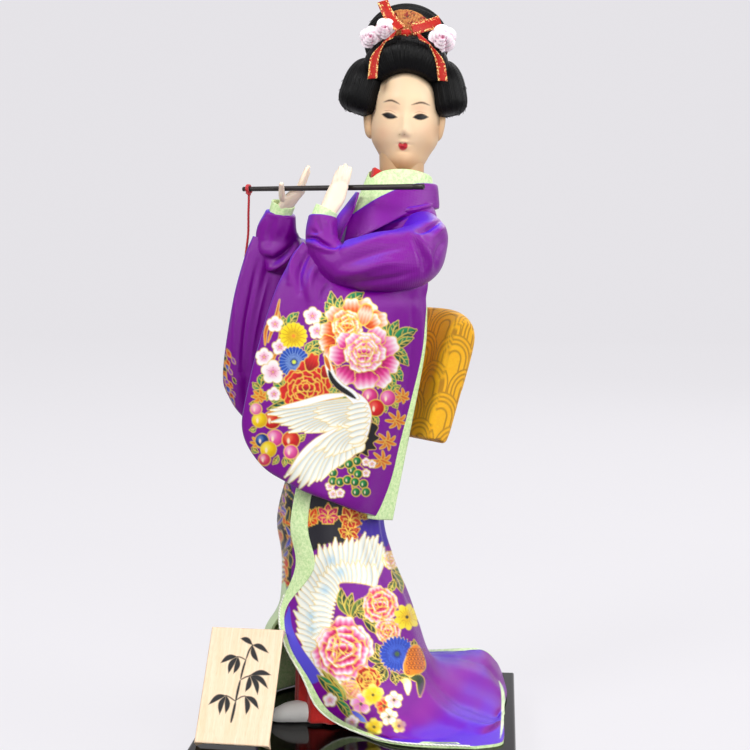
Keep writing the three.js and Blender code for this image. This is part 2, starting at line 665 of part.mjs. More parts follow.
// Long hanging sleeves: a puffed part round the arm, and the deep bag that falls from it.
const leftSleeveArm = [
  [24, -9, 200, 10, 9],
  [25.4, -20, 194.5, 11.5, 9.5],
  [20, -29, 190, 12, 9],
  [7, -32, 192, 11.4, 8],
  [-3.6, -31, 199.5, 8.6, 6.8],
  [-7.6, -29.6, 205.4, 6.8, 5.8],
];
const leftBagRows = [
  [[-18, -37, 196], [-8, -40, 193], [4, -41.5, 190], [16, -38, 190], [28.6, -27, 193]],
  [[-29.5, -38.5, 180], [-14, -38.5, 178], [2, -36.5, 176], [16, -31.5, 176], [27.6, -22, 178]],
  [[-36.4, -38, 157], [-20, -39.2, 157], [-3, -38.2, 157], [12, -30.5, 157], [24.8, -19, 157]],
  [[-42.6, -37, 134], [-26, -38.6, 135], [-8, -36.2, 135], [8, -29, 135], [20.6, -17.5, 136]],
  [[-43.6, -36, 123], [-30, -37.4, 119], [-12, -35, 117], [5, -28, 117], [16.4, -17, 118]],
  [[-39.6, -35, 114], [-27, -36, 107], [-11, -34, 104], [3, -27, 103], [12.2, -17.4, 101]],
  [[-32.4, -34, 107.4], [-21, -34.4, 100], [-8, -32, 94.6], [0, -26.4, 90.4], [6.8, -18.6, 86.8]],
];
const bagThickness = 3;
const leftSleeve = (grow = 0) => {
  const puff = limb(leftSleeveArm, { sides: 11, steps: 9, grow, across: acrossSleeve });
  const bag = sheet(leftBagRows, { across: 9, down: 12, thickness: bagThickness, grow });
  return puff.add(bag);
};
const rightSleeveArm = [
  [1, 16, 199, 9.5, 8.5],
  [-12, 17, 190, 10.5, 8.5],
  [-24, 10, 187, 10.5, 8.5],
  [-30.2, -1.6, 195.4, 11.4, 7.6],
  [-31.4, -6, 205, 9.8, 6.4],
];
const rightBagRows = [
  [[-43.6, -7.4, 199], [-38, -6.6, 197], [-31, -2, 194], [-24, 6, 190], [-17, 15, 188]],
  [[-46.8, -8, 190], [-41, -8, 186], [-33, -4, 182], [-25, 6, 178], [-17.5, 16, 175]],
  [[-53, -8.5, 167], [-45, -9.4, 165], [-36, -5.5, 163], [-27, 5, 160], [-20, 16, 157]],
  [[-56.6, -8, 143], [-48, -8.6, 141], [-38, -5, 139], [-29, 5, 137], [-22.5, 16, 134]],
  [[-54.6, -7, 134], [-47, -7.6, 128], [-38, -4, 125], [-31, 5, 122], [-25.6, 15.6, 119]],
  [[-48.6, -6, 127.4], [-43, -6, 120], [-36.6, -3, 115], [-32.4, 4.4, 111], [-28.6, 14, 107]],
];
const rightSleeve = (grow = 0) => {
  const puff = limb(rightSleeveArm, { sides: 10, steps: 7, grow, across: acrossSleeve });
  const bag = sheet(rightBagRows, { across: 8, down: 9, thickness: bagThickness, grow });
  return puff.add(bag);
};

// The pale linings that show along the open rear edge of each bag.
const leftSleeveLiningRows = [
  [[19, -24.4, 170.6], [24, -19.4, 170.8], [27.5, -13.4, 171]],
  [[14, -25.8, 153], [20, -19.6, 153], [26.6, -11.4, 153]],
  [[6, -27, 123], [13, -19.6, 123], [21.3, -10.4, 123.4]],
  [[-1, -23.6, 84.6], [6, -16.6, 83.6], [14.4, -9.6, 82.8]],
];
const leftSleeveLining = () => sheet(leftSleeveLiningRows, { across: 2, down: 7, thickness: liningThickness });
const rightSleeveLiningRows = [
  [[-28, 7, 168], [-22.5, 13.6, 167], [-18.6, 20, 166]],
  [[-31, 6.6, 145], [-25, 14, 144], [-20.4, 21, 143]],
  [[-32.6, 5.8, 112], [-27, 13.6, 108.6], [-22.4, 20.6, 106]],
];
const rightSleeveLining = () => sheet(rightSleeveLiningRows, { across: 2, down: 5, thickness: liningThickness });

// The flute's red cord: a knot round the flute, a hanging length and a tassel.
const knotPlace = -fluteLength / 2 + cordKnotInset;
function cordKnot() {
  const inner = fluteTipRadius + 0.5 * gap;
  const outer = inner + 2 * cordRadius;
  const half = cordKnotWidth / 2;
  const profile = [
    new THREE.Vector2(inner, -half),
    new THREE.Vector2(outer - 0.3, -half),
    new THREE.Vector2(outer, 0),
    new THREE.Vector2(outer - 0.3, half),
    new THREE.Vector2(inner, half),
    new THREE.Vector2(inner, -half),
  ];
  const ring = new THREE.LatheGeometry(profile, 16).rotateZ(Math.PI / 2).translate(knotPlace, 0, 0);
  const solid = solidOf(ring);
  return solid.volume() < 0 ? solidOf(ring.scale(1, -1, 1)) : solid;
}
const cordStart = onFlute(knotPlace).setZ(fluteMiddle.z - fluteTipRadius - 2 * cordRadius - 0.5 * gap - gap);
const cordPoints = [
  cordStart.toArray(),
  [cordStart.x, cordStart.y, cordStart.z - 2],
  [-45.6, -7, 208],
  [-46.2, -4.6, 200],
  [-47.4, -3.6, 192],
  [-48.8, -3, 183],
  [-50.2, -2.8, 173],
  [-51.6, -2.8, 163],
  [-52.8, -3, 153],
  [-53.6, -3.2, 145.4],
];
function tube(points, radius, sides, steps) {
  const section = new THREE.Shape();
  for (let i = 0; i < sides; i += 1) {
    const angle = 2 * Math.PI * i / sides;
    section[i === 0 ? 'moveTo' : 'lineTo'](radius * Math.cos(angle), radius * Math.sin(angle));
  }
  section.closePath();
  const extrudePath = new THREE.CatmullRomCurve3(points.map(vec), false, 'centripetal');
  return solidOf(new THREE.ExtrudeGeometry(section, { steps, extrudePath }));
}
const fluteCord = () => tube(cordPoints, cordRadius, 8, 28);
function tassel() {
  const end = vec(cordPoints[cordPoints.length - 1]);
  const top = end.z - gap;
  const profile = [
    [0, 0], [0.9, -0.2], [1.1, -1.2], [0.8, -2.2], [1.1, -3],
    [tasselRadius, -tasselLength * 0.6], [tasselRadius * 0.85, -tasselLength], [0, -tasselLength],
  ].map(([r, z]) => new THREE.Vector2(r, z)).reverse();
  const shape = new THREE.LatheGeometry(profile, 10).rotateX(Math.PI / 2);
  return solidOf(shape.translate(end.x, end.y, top));
}

// The head, in a frame that stands on the neck's seat and leans with the head; the face looks to -Y.
const lean = radians(headTilt);
const skullMiddle = new THREE.Vector3(0, 2.5, chinHeight + skullHeight / 2);
const jawFullness = 0.35;
const chinPush = 3.3; // how far the chin comes forward of a plain egg
const noseHeight = 13; // nose and lips above the chin
const lipsHeight = 7.6;
const noseLength = 2.3;
const lipsDepth = 0.8;
function headPoint(direction, grow) {
  const { x, y, z } = direction;
  const down = Math.max(0, -z);
  const ahead = Math.max(0, -y) / Math.max(Math.hypot(x, y), 1e-6);
  const point = new THREE.Vector3(
    x * (skullWidth / 2 + grow) * (1 + jawFullness * down * (1 - down)),
    y * (skullDepth / 2 + grow) * (1 + chinPush * ahead * Math.max(0, down - 0.5) ** 2),
    z * (skullHeight / 2 + grow),
  );
  const above = point.z + skullHeight / 2;
  const nose = Math.exp(-((point.x / 1.9) ** 2) - (((above - noseHeight) / 3.2) ** 2)) * ahead;
  const lips = Math.exp(-((point.x / 3) ** 2) - (((above - lipsHeight) / 1.8) ** 2)) * ahead;
  point.y -= noseLength * nose + lipsDepth * lips;
  return point.add(skullMiddle);
}
function skull(grow = 0, columns = 16, rows = 13) {
  const geometry = new THREE.SphereGeometry(1, columns, rows).rotateX(Math.PI / 2);
  const spots = geometry.attributes.position;
  for (let i = 0; i < spots.count; i += 1) {
    const point = headPoint(new THREE.Vector3().fromBufferAttribute(spots, i), grow);
    spots.setXYZ(i, point.x, point.y, point.z);
  }
  return solidOf(geometry);
}
const neckAxisPoint = (height) => new THREE.Vector3(-height * Math.sin(lean), 0, height * Math.cos(lean));
function head(grow = 0) {
  const neck = bar(neckAxisPoint(-grow), neckAxisPoint(chinHeight + 12), neckRadius + grow, 18);
  const plug = bar(neckAxisPoint(-neckPlugLength), neckAxisPoint(2), neckPlugRadius, 16);
  const ears = [-1, 1].map((side) => (
    ellipsoid([side * (skullWidth / 2 + 0.4), 3, 27.4], [1.7 + grow, 3.1 + grow, 4.6 + grow], [12, side * 12, 0], 10, 8)
  ));
  return joined([skull(grow), neck, plug, ...ears]);
}

// The wig, in rolls of black thread: cap, front roll, side wings, nape and topknot.
const wigCap = (grow = 0) => {
  const whole = ellipsoid([0, 4.5, 44], [17.2 + grow, 17 + grow, 18 + grow], [0, 0, 0], 12, 8);
  const faceRoom = block([60, 60, 60], [0, -33.5 - grow, 30]);
  const neckRoom = block([60, 60, 60], [0, 0, 28 - 30 - grow]);
  return whole.subtract(faceRoom).subtract(neckRoom);
};
const frontRollStations = [
  [-13.6, -3.6, 50.6, 5.4, 4.8],
  [-9, -8.6, 54.8, 5.4, 5.4],
  [-0.6, -10.6, 57.2, 5.2, 5.6],
  [8, -8.6, 55, 5.4, 5.4],
  [12.4, -3.6, 51, 5.4, 4.8],
];
const alongZ = new THREE.Vector3(0, 0, 1);
const frontRoll = (grow = 0) => limb(frontRollStations, { sides: 10, steps: 7, grow, across: alongZ });
const grown = (radii, grow) => radii.map((radius) => radius + grow);
const leftWing = (grow = 0) => ellipsoid([16.2, 1.6, 42.4], grown([7.6, 10.6, 12.4], grow), [0, -14, 0], 11, 7);
const rightWing = (grow = 0) => ellipsoid([-18.4, 1.6, 41.2], grown([8.4, 11, 12.6], grow), [0, 14, 0], 11, 7);
const nape = (grow = 0) => ellipsoid([-0.5, 20.5, 37], grown([12, 7.5, 10.5], grow), [-18, 0, 0], 10, 6);
const topknotMiddle = [-1.6, 5, 61.6];
const topknot = (grow = 0) => ellipsoid(
  topknotMiddle, grown([topknotWidth / 2, 8.5, topknotHeight / 2], grow), [-6, 0, 0], 15, 8,
);

// A small paper fan set upright before the topknot.
const fanSpot = [-2.2, -5.4, 60.2];
const fanFrom = 30;
const fanTo = 176;
function hairFan(grow = 0) {
  const outline = new THREE.Shape();
  outline.moveTo(0, 0);
  const steps = 12;
  for (let i = 0; i <= steps; i += 1) {
    const angle = radians(fanFrom + (fanTo - fanFrom) * i / steps);
    outline.lineTo((hairFanRadius + grow) * Math.cos(angle), (hairFanRadius + grow) * Math.sin(angle));
  }
  outline.closePath();
  const plate = new THREE.ExtrudeGeometry(outline, { depth: hairFanThickness + 2 * grow, bevelEnabled: false });
  return solidOf(plate.rotateX(Math.PI / 2).translate(fanSpot[0], fanSpot[1] + grow, fanSpot[2]));
}

// Red ribbon: two loops that stand up over the fan, two tails down the wings and a knot.
function ribbon(path, grow = 0, width = ribbonWidth) {
  const rows = path.map(([x, y, z, sideX, sideZ]) => {
    const side = new THREE.Vector3(sideX, 0, sideZ).setLength(width / 2);
    return [[x - side.x, y, z - side.z], [x, y - 0.15, z], [x + side.x, y, z + side.z]];
  });
  return sheet(rows, { across: 2, down: 8, thickness: ribbonThickness, grow });
}
const ribbonRightLoop = [
  [-3.4, -15.6, 64.4, 1, 0.6],
  [-6, -11.5, 67.6, 1, 0.7],
  [-8.4, -8.8, 71.4, 1, 0.5],
  [-9.6, -7.6, 75, 1, 0.3],
];
const ribbonLeftLoop = [
  [1.2, -14.6, 64.4, -0.3, 1],
  [5, -11.6, 66, -0.4, 1],
  [9, -9.2, 67.6, -0.4, 1],
  [12, -8.2, 69, -0.4, 1],
];
const ribbonRightTail = [
  [-5.4, -16.6, 62, 0.5, 1],
  [-10, -15, 58.4, 1, 0.8],
  [-13, -14.4, 53, 1, 0.25],
  [-13.6, -14.4, 44.6, 1, 0.1],
];
const ribbonLeftTail = [
  [3.2, -16.6, 61.8, -0.5, 1],
  [8.2, -15.2, 58.8, -1, 0.8],
  [12.4, -14.4, 53, -1, 0.2],
  [14.2, -14.2, 45, -1, 0],
];
const ribbonKnot = (grow = 0) => ellipsoid([-1.2, -17, 62.8], grown([2.6, 1.9, 2.3], grow), [0, 20, 0], 12, 8);

// Ribbon roses: a coiled heart with two rings of petals.
function rose([x, y, z], radius, turn, grow = 0) {
  const heartRadii = grown([radius * 0.5, radius * 0.55, radius * 0.5], grow);
  const petalRadii = grown([radius * 0.5, radius * 0.42, radius * 0.5], grow);
  const heart = ellipsoid([x, y - radius * 0.25, z], heartRadii, [0, 0, 0], 7, 4);
  const petals = Array.from({ length: 5 }, (_, i) => {
    const angle = 2 * Math.PI * i / 5 + turn;
    const place = [x + 0.52 * radius * Math.cos(angle), y, z + 0.52 * radius * Math.sin(angle)];
    return ellipsoid(place, petalRadii, [0, 0, 0], 6, 4);
  });
  return joined([heart, ...petals]);
}
const roses = [
  ['rose_right_outer', [-15.4, -9, 61.6], 3.6, 0.2],
  ['rose_right_inner', [-9.6, -12.6, 64.2], 3.3, 0.9],
  ['rose_left', [13.2, -10.4, 61.8], 4.6, 0.5],
];

// The wooden plaque, drawn with its foot on the plinth and its face leaning back.
function plaque() {
  return block([plaqueWidth, plaqueThickness, plaqueHeight], [-plaqueWidth / 2, plaqueThickness / 2, plaqueHeight / 2]);
}

// Assembly: the doll stands on the plinth's top face.
const doll = new THREE.Group();
const standing = new THREE.Group();
standing.position.z = plinthHeight;
doll.add(standing);

const lacquer = 0x14100f;
const steel = 0x9a9a9c;
const stuffing = 0xe9e2d4;
const vinyl = 0xf3d9b5;
const tabiWhite = 0xf5f2ee;
const red = 0xa80808;
const purple = 0x6a2bb8;
const lining = 0xcdefb0;
const gold = 0xf5be1e;
const black = 0x151515;
const scarlet = 0xe8301a;

standing.add(namedMesh('plinth', plinth(), lacquer, 0.15));
standing.add(namedMesh('stand_rod', standRod(), steel, 0.35, 1));
standing.add(namedMesh('foot_pin', footPin(), steel, 0.35, 1));

const fluteRoom = flutePath(handClearance);
const leftHandShape = cleared(leftHand(), [fluteRoom]);
const rightHandShape = cleared(rightHand(), [fluteRoom]);
const leftArmShape = cleared(arm(leftArmStations), [trunk(gap), leftHand(gap)]);
const rightArmShape = cleared(arm(rightArmStations), [trunk(gap), rightHand(gap)]);
const armRooms = [arm(leftArmStations, gap), arm(rightArmStations, gap)];
const handRooms = [leftHand(gap), rightHand(gap)];
const neckRoom = bar(neckSpot.clone().setZ(neckSpot.z - 1), neckSpot.clone().setZ(neckSpot.z + 30), neckRadius + gap, 18);
const underCollarShape = cleared(underCollar(), [neckRoom]);
const innerCollarShape = cleared(innerCollar(), [underCollar(gap), neckRoom]);
const outerCollarShape = cleared(outerCollar(), [innerCollar(gap), underCollar(gap)]);
const collarRooms = [underCollar(gap), innerCollar(gap), outerCollar(gap)];

standing.add(namedMesh('torso_core', cleared(trunk(), [neckSocket()]), stuffing, 0.9));
const legRooms = [leg(rightLegStations, gap), leg(leftLegStations, gap)];
standing.add(namedMesh('right_leg', cleared(leg(rightLegStations), [trunk(gap)]), vinyl, 0.5));
standing.add(namedMesh('left_leg', cleared(leg(leftLegStations), [trunk(gap), standRod(gap)]), vinyl, 0.5));
standing.add(namedMesh('right_foot', cleared(rightFoot(), [legRooms[0], footPin(gap)]), tabiWhite, 0.7));
standing.add(namedMesh('left_foot', cleared(leftFoot(), [legRooms[1], standRod(gap)]), tabiWhite, 0.7));
const underRobeNeighbours = [trunk(gap), ...legRooms, rightFoot(gap), leftFoot(gap), standRod(gap), footPin(gap)];
standing.add(namedMesh('under_robe', cleared(underRobe(), underRobeNeighbours), red, 0.6));

standing.add(namedMesh('left_arm', leftArmShape, steel, 0.5));
standing.add(namedMesh('right_arm', rightArmShape, steel, 0.5));
standing.add(namedMesh('left_hand', leftHandShape, vinyl, 0.45));
standing.add(namedMesh('right_hand', rightHandShape, vinyl, 0.45));

const leftSkirtShape = leftSkirt();
const leftSkirtRoom = leftSkirt(gap).add(leftSkirt(gap / 2)).add(leftSkirtShape);
standing.add(namedMesh('skirt_left_panel', leftSkirtShape, purple, 0.45));
const rightSkirtShape = cleared(rightSkirt(), [leftSkirtRoom]);
standing.add(namedMesh('skirt_right_panel', rightSkirtShape, purple, 0.45));
standing.add(namedMesh('skirt_lining', cleared(skirtLining(), [leftSkirtRoom, rightSkirt(gap)]), lining, 0.7));
standing.add(namedMesh('front_band', cleared(frontBand(), [leftSkirtRoom, rightSkirt(gap)]), lining, 0.7));

const bodyShape = cleared(kimonoBody(), [trunk(gap), neckRoom, ...armRooms, ...collarRooms]);
standing.add(namedMesh('kimono_body', bodyShape, purple, 0.45));
standing.add(namedMesh('collar_outer', cleared(outerCollarShape, armRooms), purple, 0.45));
standing.add(namedMesh('collar_inner', innerCollarShape, lining, 0.7));
standing.add(namedMesh('collar_under', underCollarShape, red, 0.6));
const sashShape = cleared(sash(), [kimonoBody(gap), trunk(gap), ...armRooms]);
standing.add(namedMesh('obi_band', sashShape, gold, 0.6));
const bowShape = cleared(bow(), [sash(gap), leftSkirtRoom, rightSkirt(gap)]);
standing.add(namedMesh('obi_bow', bowShape, gold, 0.6));

const leftCuffShape = cleared(cuff(leftCuffStations), [cuffMouth(leftCuffStations), armRooms[0], handRooms[0]]);
const rightCuffShape = cleared(cuff(rightCuffStations), [cuffMouth(rightCuffStations), armRooms[1], handRooms[1]]);
standing.add(namedMesh('left_cuff', leftCuffShape, lining, 0.7));
standing.add(namedMesh('right_cuff', rightCuffShape, lining, 0.7));

const bodyRooms = [kimonoBody(gap), sash(gap), ...collarRooms, ...armRooms, ...handRooms];
const leftSleeveShape = cleared(leftSleeve(), [...bodyRooms, cuff(leftCuffStations, gap), leftSkirtRoom, fluteRoom]);
const rightSleeveShape = cleared(rightSleeve(), [
  ...bodyRooms, cuff(rightCuffStations, gap), leftSleeve(gap), leftSkirtRoom, fluteRoom,
]);
standing.add(namedMesh('left_sleeve', leftSleeveShape, purple, 0.45));
standing.add(namedMesh('right_sleeve', rightSleeveShape, purple, 0.45));
const leftLiningShape = cleared(leftSleeveLining(), [leftSleeve(gap), ...bodyRooms, leftSkirtRoom]);
standing.add(namedMesh('left_sleeve_lining', leftLiningShape, lining, 0.7));
const rightLiningShape = cleared(rightSleeveLining(), [rightSleeve(gap), ...bodyRooms]);
standing.add(namedMesh('right_sleeve_lining', rightLiningShape, lining, 0.7));

const fluteGroup = new THREE.Group();
fluteGroup.position.copy(fluteMiddle);
fluteGroup.rotation.z = radians(fluteTurn);
fluteGroup.add(namedMesh('flute', fluteShape(), 0x1e1a1c, 0.3));
fluteGroup.add(namedMesh('flute_cord_knot', cordKnot(), 0xc01824, 0.7));
standing.add(fluteGroup);
standing.add(namedMesh('flute_cord', fluteCord(), 0xc01824, 0.7));
standing.add(namedMesh('tassel', tassel(), 0xc01824, 0.7));

const headGroup = new THREE.Group();
headGroup.position.copy(neckSpot);
headGroup.rotation.set(0, lean, radians(headTurn), 'ZYX');
standing.add(headGroup);
const fitted = []; // rooms of the pieces that are already on the head
function addToHead(name, shape, colour, roughness) {
  headGroup.add(namedMesh(name, cleared(shape(0), fitted), colour, roughness));
  fitted.push(shape(gap));
}
addToHead('head', head, vinyl, 0.45);
addToHead('wig_cap', wigCap, black, 0.6);
addToHead('front_roll', frontRoll, black, 0.5);
addToHead('wing_left', leftWing, black, 0.6);
addToHead('wing_right', rightWing, black, 0.6);
addToHead('topknot', topknot, black, 0.5);
addToHead('nape_roll', nape, black, 0.6);
addToHead('hair_fan', hairFan, 0xd9954a, 0.6);
addToHead('ribbon_knot', ribbonKnot, scarlet, 0.5);
addToHead('ribbon_tail_left', (grow) => ribbon(ribbonLeftTail, grow), scarlet, 0.5);
addToHead('ribbon_tail_right', (grow) => ribbon(ribbonRightTail, grow), scarlet, 0.5);
addToHead('ribbon_loop_left', (grow) => ribbon(ribbonLeftLoop, grow), scarlet, 0.5);
addToHead('ribbon_loop_right', (grow) => ribbon(ribbonRightLoop, grow, 4.6), scarlet, 0.5);
for (const [name, spot, radius, turn] of roses) {
  addToHead(name, (grow) => rose(spot, radius, turn, grow), 0xf9d5e8, 0.6);
}

const plaqueGroup = new THREE.Group();
plaqueGroup.position.copy(plaqueFoot);
plaqueGroup.position.z += plaqueThickness * Math.sin(radians(plaqueLean));
plaqueGroup.rotation.set(radians(-plaqueLean), 0, radians(plaqueTurn), 'ZYX');
plaqueGroup.add(namedMesh('plaque', plaque(), 0xf5dfc4, 0.7));
standing.add(plaqueGroup);

export default doll;
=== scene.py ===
# A dressed souvenir doll that plays a side-blown flute, on a lacquered plinth with a wooden plaque.
# Each section makes one piece or a few like pieces, in the order in which the doll is put together.
import math

import bmesh
import bpy
import numpy as np
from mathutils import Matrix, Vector


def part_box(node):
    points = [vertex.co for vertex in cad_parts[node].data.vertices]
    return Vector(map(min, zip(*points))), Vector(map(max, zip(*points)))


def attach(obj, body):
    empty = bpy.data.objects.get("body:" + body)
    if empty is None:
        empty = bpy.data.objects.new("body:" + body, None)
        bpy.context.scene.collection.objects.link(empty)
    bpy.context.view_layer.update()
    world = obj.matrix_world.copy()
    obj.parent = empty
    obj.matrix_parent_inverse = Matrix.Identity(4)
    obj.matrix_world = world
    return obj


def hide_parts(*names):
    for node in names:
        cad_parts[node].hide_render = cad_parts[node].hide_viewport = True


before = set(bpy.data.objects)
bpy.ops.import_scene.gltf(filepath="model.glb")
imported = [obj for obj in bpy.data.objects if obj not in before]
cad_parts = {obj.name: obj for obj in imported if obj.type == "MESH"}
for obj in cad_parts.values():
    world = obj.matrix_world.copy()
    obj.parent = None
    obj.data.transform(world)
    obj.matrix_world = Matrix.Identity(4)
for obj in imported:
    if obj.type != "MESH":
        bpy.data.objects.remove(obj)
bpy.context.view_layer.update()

# The camera looks at the doll from half a metre in front, a little to its right and slightly down.
# Lens and place give the photograph's view of the plinth's top corners.
mm = 0.001
camera_place = Vector((57.07, -591.37, 215.44)) * mm
camera_pitch = 5.711
camera_yaw = 5.007
camera_turn = (math.radians(90 - camera_pitch), 0, math.radians(camera_yaw))
bpy.ops.object.camera_add(location=camera_place, rotation=camera_turn)
camera = bpy.context.object
camera.data.lens = 69.6
camera.data.sensor_width = 36
camera.data.clip_start = 0.01
bpy.context.scene.camera = camera

# The room is a pale paper sweep: a floor that bends up into a wall behind the doll.
# Soft daylight comes from the front, mostly from above and the left.


def colour(code):
    """An sRGB hex colour as the linear values that Blender's sockets take."""
    parts = [int(code[i:i + 2], 16) / 255 for i in (1, 3, 5)]
    return tuple(p / 12.92 if p <= 0.04045 else ((p + 0.055) / 1.055) ** 2.4 for p in parts) + (1,)


def node(tree, kind, inputs=(), to=None, **settings):
    """Adds a node: inputs are socket values, or sockets or nodes to link from; to is a socket that it feeds."""
    def result(of):
        return of.outputs[2 if of.type == "MIX" else 0] if isinstance(of, bpy.types.Node) else of

    made = tree.nodes.new("ShaderNode" + kind)
    for key, value in settings.items():
        setattr(made, key, value)
    for key, value in dict(inputs).items():
        if isinstance(value, (bpy.types.Node, bpy.types.NodeSocket)):
            tree.links.new(result(value), made.inputs[key])
        else:
            made.inputs[key].default_value = value
    if to is not None:
        tree.links.new(result(made), to)
    return made


def material(name, **inputs):
    """A material with one Principled shader, given by its inputs' names with _ for a space."""
    made = bpy.data.materials.new(name)
    made.use_nodes = True
    shader = made.node_tree.nodes["Principled BSDF"]
    for key, value in inputs.items():
        shader.inputs[key.replace("_", " ")].default_value = value
    return made, made.node_tree, shader


def deselect():
    bpy.ops.object.select_all(action="DESELECT")


deselect()
sweep_length = 6
sweep_height = 3
wall_distance = 2.2
bpy.ops.mesh.primitive_plane_add(size=sweep_length, location=(0, wall_distance - sweep_length / 2, 0))
sweep = bpy.context.object
sweep.name = "paper_sweep"
bpy.ops.object.mode_set(mode="EDIT")
shape = bmesh.from_edit_mesh(sweep.data)
for edge in shape.edges:
    edge.select_set(all(v.co.y > 0 for v in edge.verts))
bmesh.update_edit_mesh(sweep.data)
bpy.ops.mesh.extrude_region_move(TRANSFORM_OT_translate={"value": (0, 0, sweep_height)})
shape = bmesh.from_edit_mesh(sweep.data)
for edge in shape.edges:
    edge.select_set(all(v.co.y > 0 and v.co.z < 0.01 for v in edge.verts))
bmesh.update_edit_mesh(sweep.data)
bpy.ops.mesh.bevel(offset=1.0, segments=16)
bpy.ops.object.mode_set(mode="OBJECT")
bpy.ops.object.shade_smooth()


def seen_ray(tree):
    """1 for a ray that the camera sees straight, in a gloss or through something clear, and 0 for the others."""
    path = node(tree, "LightPath")
    some = node(tree, "Math", {0: path.outputs["Is Camera Ray"], 1: path.outputs["Is Glossy Ray"]}, operation="ADD")
    return node(tree, "Math", {0: some, 1: path.outputs["Is Transmission Ray"]}, operation="ADD", use_clamp=True)


paper, tree, shader = material("matt_paper_sweep", Base_Color=colour("#4E4D50"), Emission_Color=colour("#E6E4E8"),
                               Roughness=0.9)
node(tree, "Math", {0: seen_ray(tree), 1: 0.96}, to=shader.inputs["Emission Strength"], operation="MULTIPLY")
sweep.data.materials.append(paper)

bpy.context.scene.view_settings.view_transform = "Standard"
world = bpy.data.worlds.new("daylight")
bpy.context.scene.world = world
world.use_nodes = True
tree = world.node_tree
tree.nodes.clear()
fill_light = node(tree, "Background", {"Color": colour("#FFFFFF"), "Strength": 0.62})
seen_light = node(tree, "Background", {"Color": colour("#E6E4E8"), "Strength": 0.95})
node(tree, "OutputWorld", {"Surface": node(tree, "MixShader", {0: seen_ray(tree), 1: fill_light, 2: seen_light})})
lamps = [
    ("window", (-0.6, -0.8, 0.9), 0.4, 9.6),
    ("overhead", (0.1, -0.1, 1.2), 0.5, 5.0),
    ("fill", (0.35, -1.15, 0.4), 0.8, 7.8),
    ("side", (0.9, -0.2, 0.5), 0.6, 6.2),
    ("behind", (0.4, 0.9, 0.8), 0.7, 4.0),
]
lamp_aim = Vector((0, 0, 150)) * mm
for name, place, size, power in lamps:
    direction = lamp_aim - Vector(place)
    bpy.ops.object.light_add(type="AREA", location=place, rotation=direction.to_track_quat("-Z", "Y").to_euler())
    lamp = bpy.context.object
    lamp.name = name
    lamp.data.size = size
    lamp.data.energy = power

# The flute's red cord is a limp three-strand twisted cord, 1 mm thick, tied round the flute's far end.
# It hangs behind the far sleeve and ends in a small tassel.
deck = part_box("plinth")[1].z / mm  # the height of the plinth's top
gap = 0.3
cord_radius = 0.5
cord_pitch = 2.4  # one turn of a strand
flute_radius = 1.15
flute_tip_radius = 0.95
flute_length = 79.4
flute_middle = np.array([-10.35, -20.5, 217.9 + deck])
flute_turn = math.radians(-19.9)
flute_along = np.array([math.cos(flute_turn), math.sin(flute_turn), 0])
knot_place = flute_middle + flute_along * (2.6 - flute_length / 2)
cord_start = knot_place - np.array([0, 0, flute_tip_radius + 2 * cord_radius + 1.5 * gap])
cord_route = np.array([
    cord_start - (0, 0, deck),
    cord_start - (0, 0, deck + 2),
    (-45.6, -7, 208),
    (-46.2, -4.6, 200),
    (-47.4, -3.6, 192),
    (-48.8, -3, 183),
    (-50.2, -2.8, 173),
    (-51.6, -2.8, 163),
    (-52.8, -3, 153),
    (-53.6, -3.2, 145.4),
]) + (0, 0, deck)


def spline(points, steps):
    """A smooth curve through points, cut into a number of equal steps, or at places given from 0 to 1."""
    p = np.asarray(points, float)
    p = np.concatenate([2 * p[:1] - p[1:2], p, 2 * p[-1:] - p[-2:-1]])
    at = np.linspace(0, 1, steps + 1) if isinstance(steps, int) else steps
    at = at * (len(p) - 3)
    i = np.minimum(at.astype(int), len(p) - 4)
    t = (at - i).reshape(-1, *[1] * (p.ndim - 1))
    a, b, c, d = p[i], p[i + 1], p[i + 2], p[i + 3]
    return b + 0.5 * t * (c - a) + t * t * (a - 2.5 * b + 2 * c - 0.5 * d) + t ** 3 * (1.5 * (b - c) + 0.5 * (d - a))


def build(name, points, faces, finish=None):
    """A mesh object from points in millimetres and faces; its normals are made to point outwards."""
    data = bpy.data.meshes.new(name)
    data.from_pydata((np.asarray(points) * mm).tolist(), [], faces)
    made = bpy.data.objects.new(name, data)
    bpy.context.collection.objects.link(made)
    shape = bmesh.new()
    shape.from_mesh(data)
    bmesh.ops.recalc_face_normals(shape, faces=shape.faces)
    shape.to_mesh(data)
    shape.free()
    data.polygons.foreach_set("use_smooth", [True] * len(data.polygons))
    if finish is not None:
        data.materials.append(finish)
    return made


def unit(v):
    return v / np.maximum(np.linalg.norm(v, axis=-1, keepdims=True), 1e-9)


def frames(line, across=(1, 0, 0)):
    """Side and upper directions along a line of points, kept close to one crossing direction."""
    along = unit(np.gradient(line, axis=0))
    up = unit(np.cross(along, np.asarray(across, float)))
    return unit(np.cross(up, along)), up


def ringed(name, points, finish=None, closed=False):
    """A form from rings of points: capped at its two ends, or closed from its last ring to its first."""
    rows, columns = points.shape[:2]
    faces = [(r * columns + i, r * columns + (i + 1) % columns, (r + 1) % rows * columns + (i + 1) % columns,
              (r + 1) % rows * columns + i)
             for r in range(rows if closed else rows - 1) for i in range(columns)]
    if not closed:
        faces += [tuple(range(columns)), tuple(range((rows - 1) * columns, rows * columns))]
    return build(name, points.reshape(-1, 3), faces, finish)


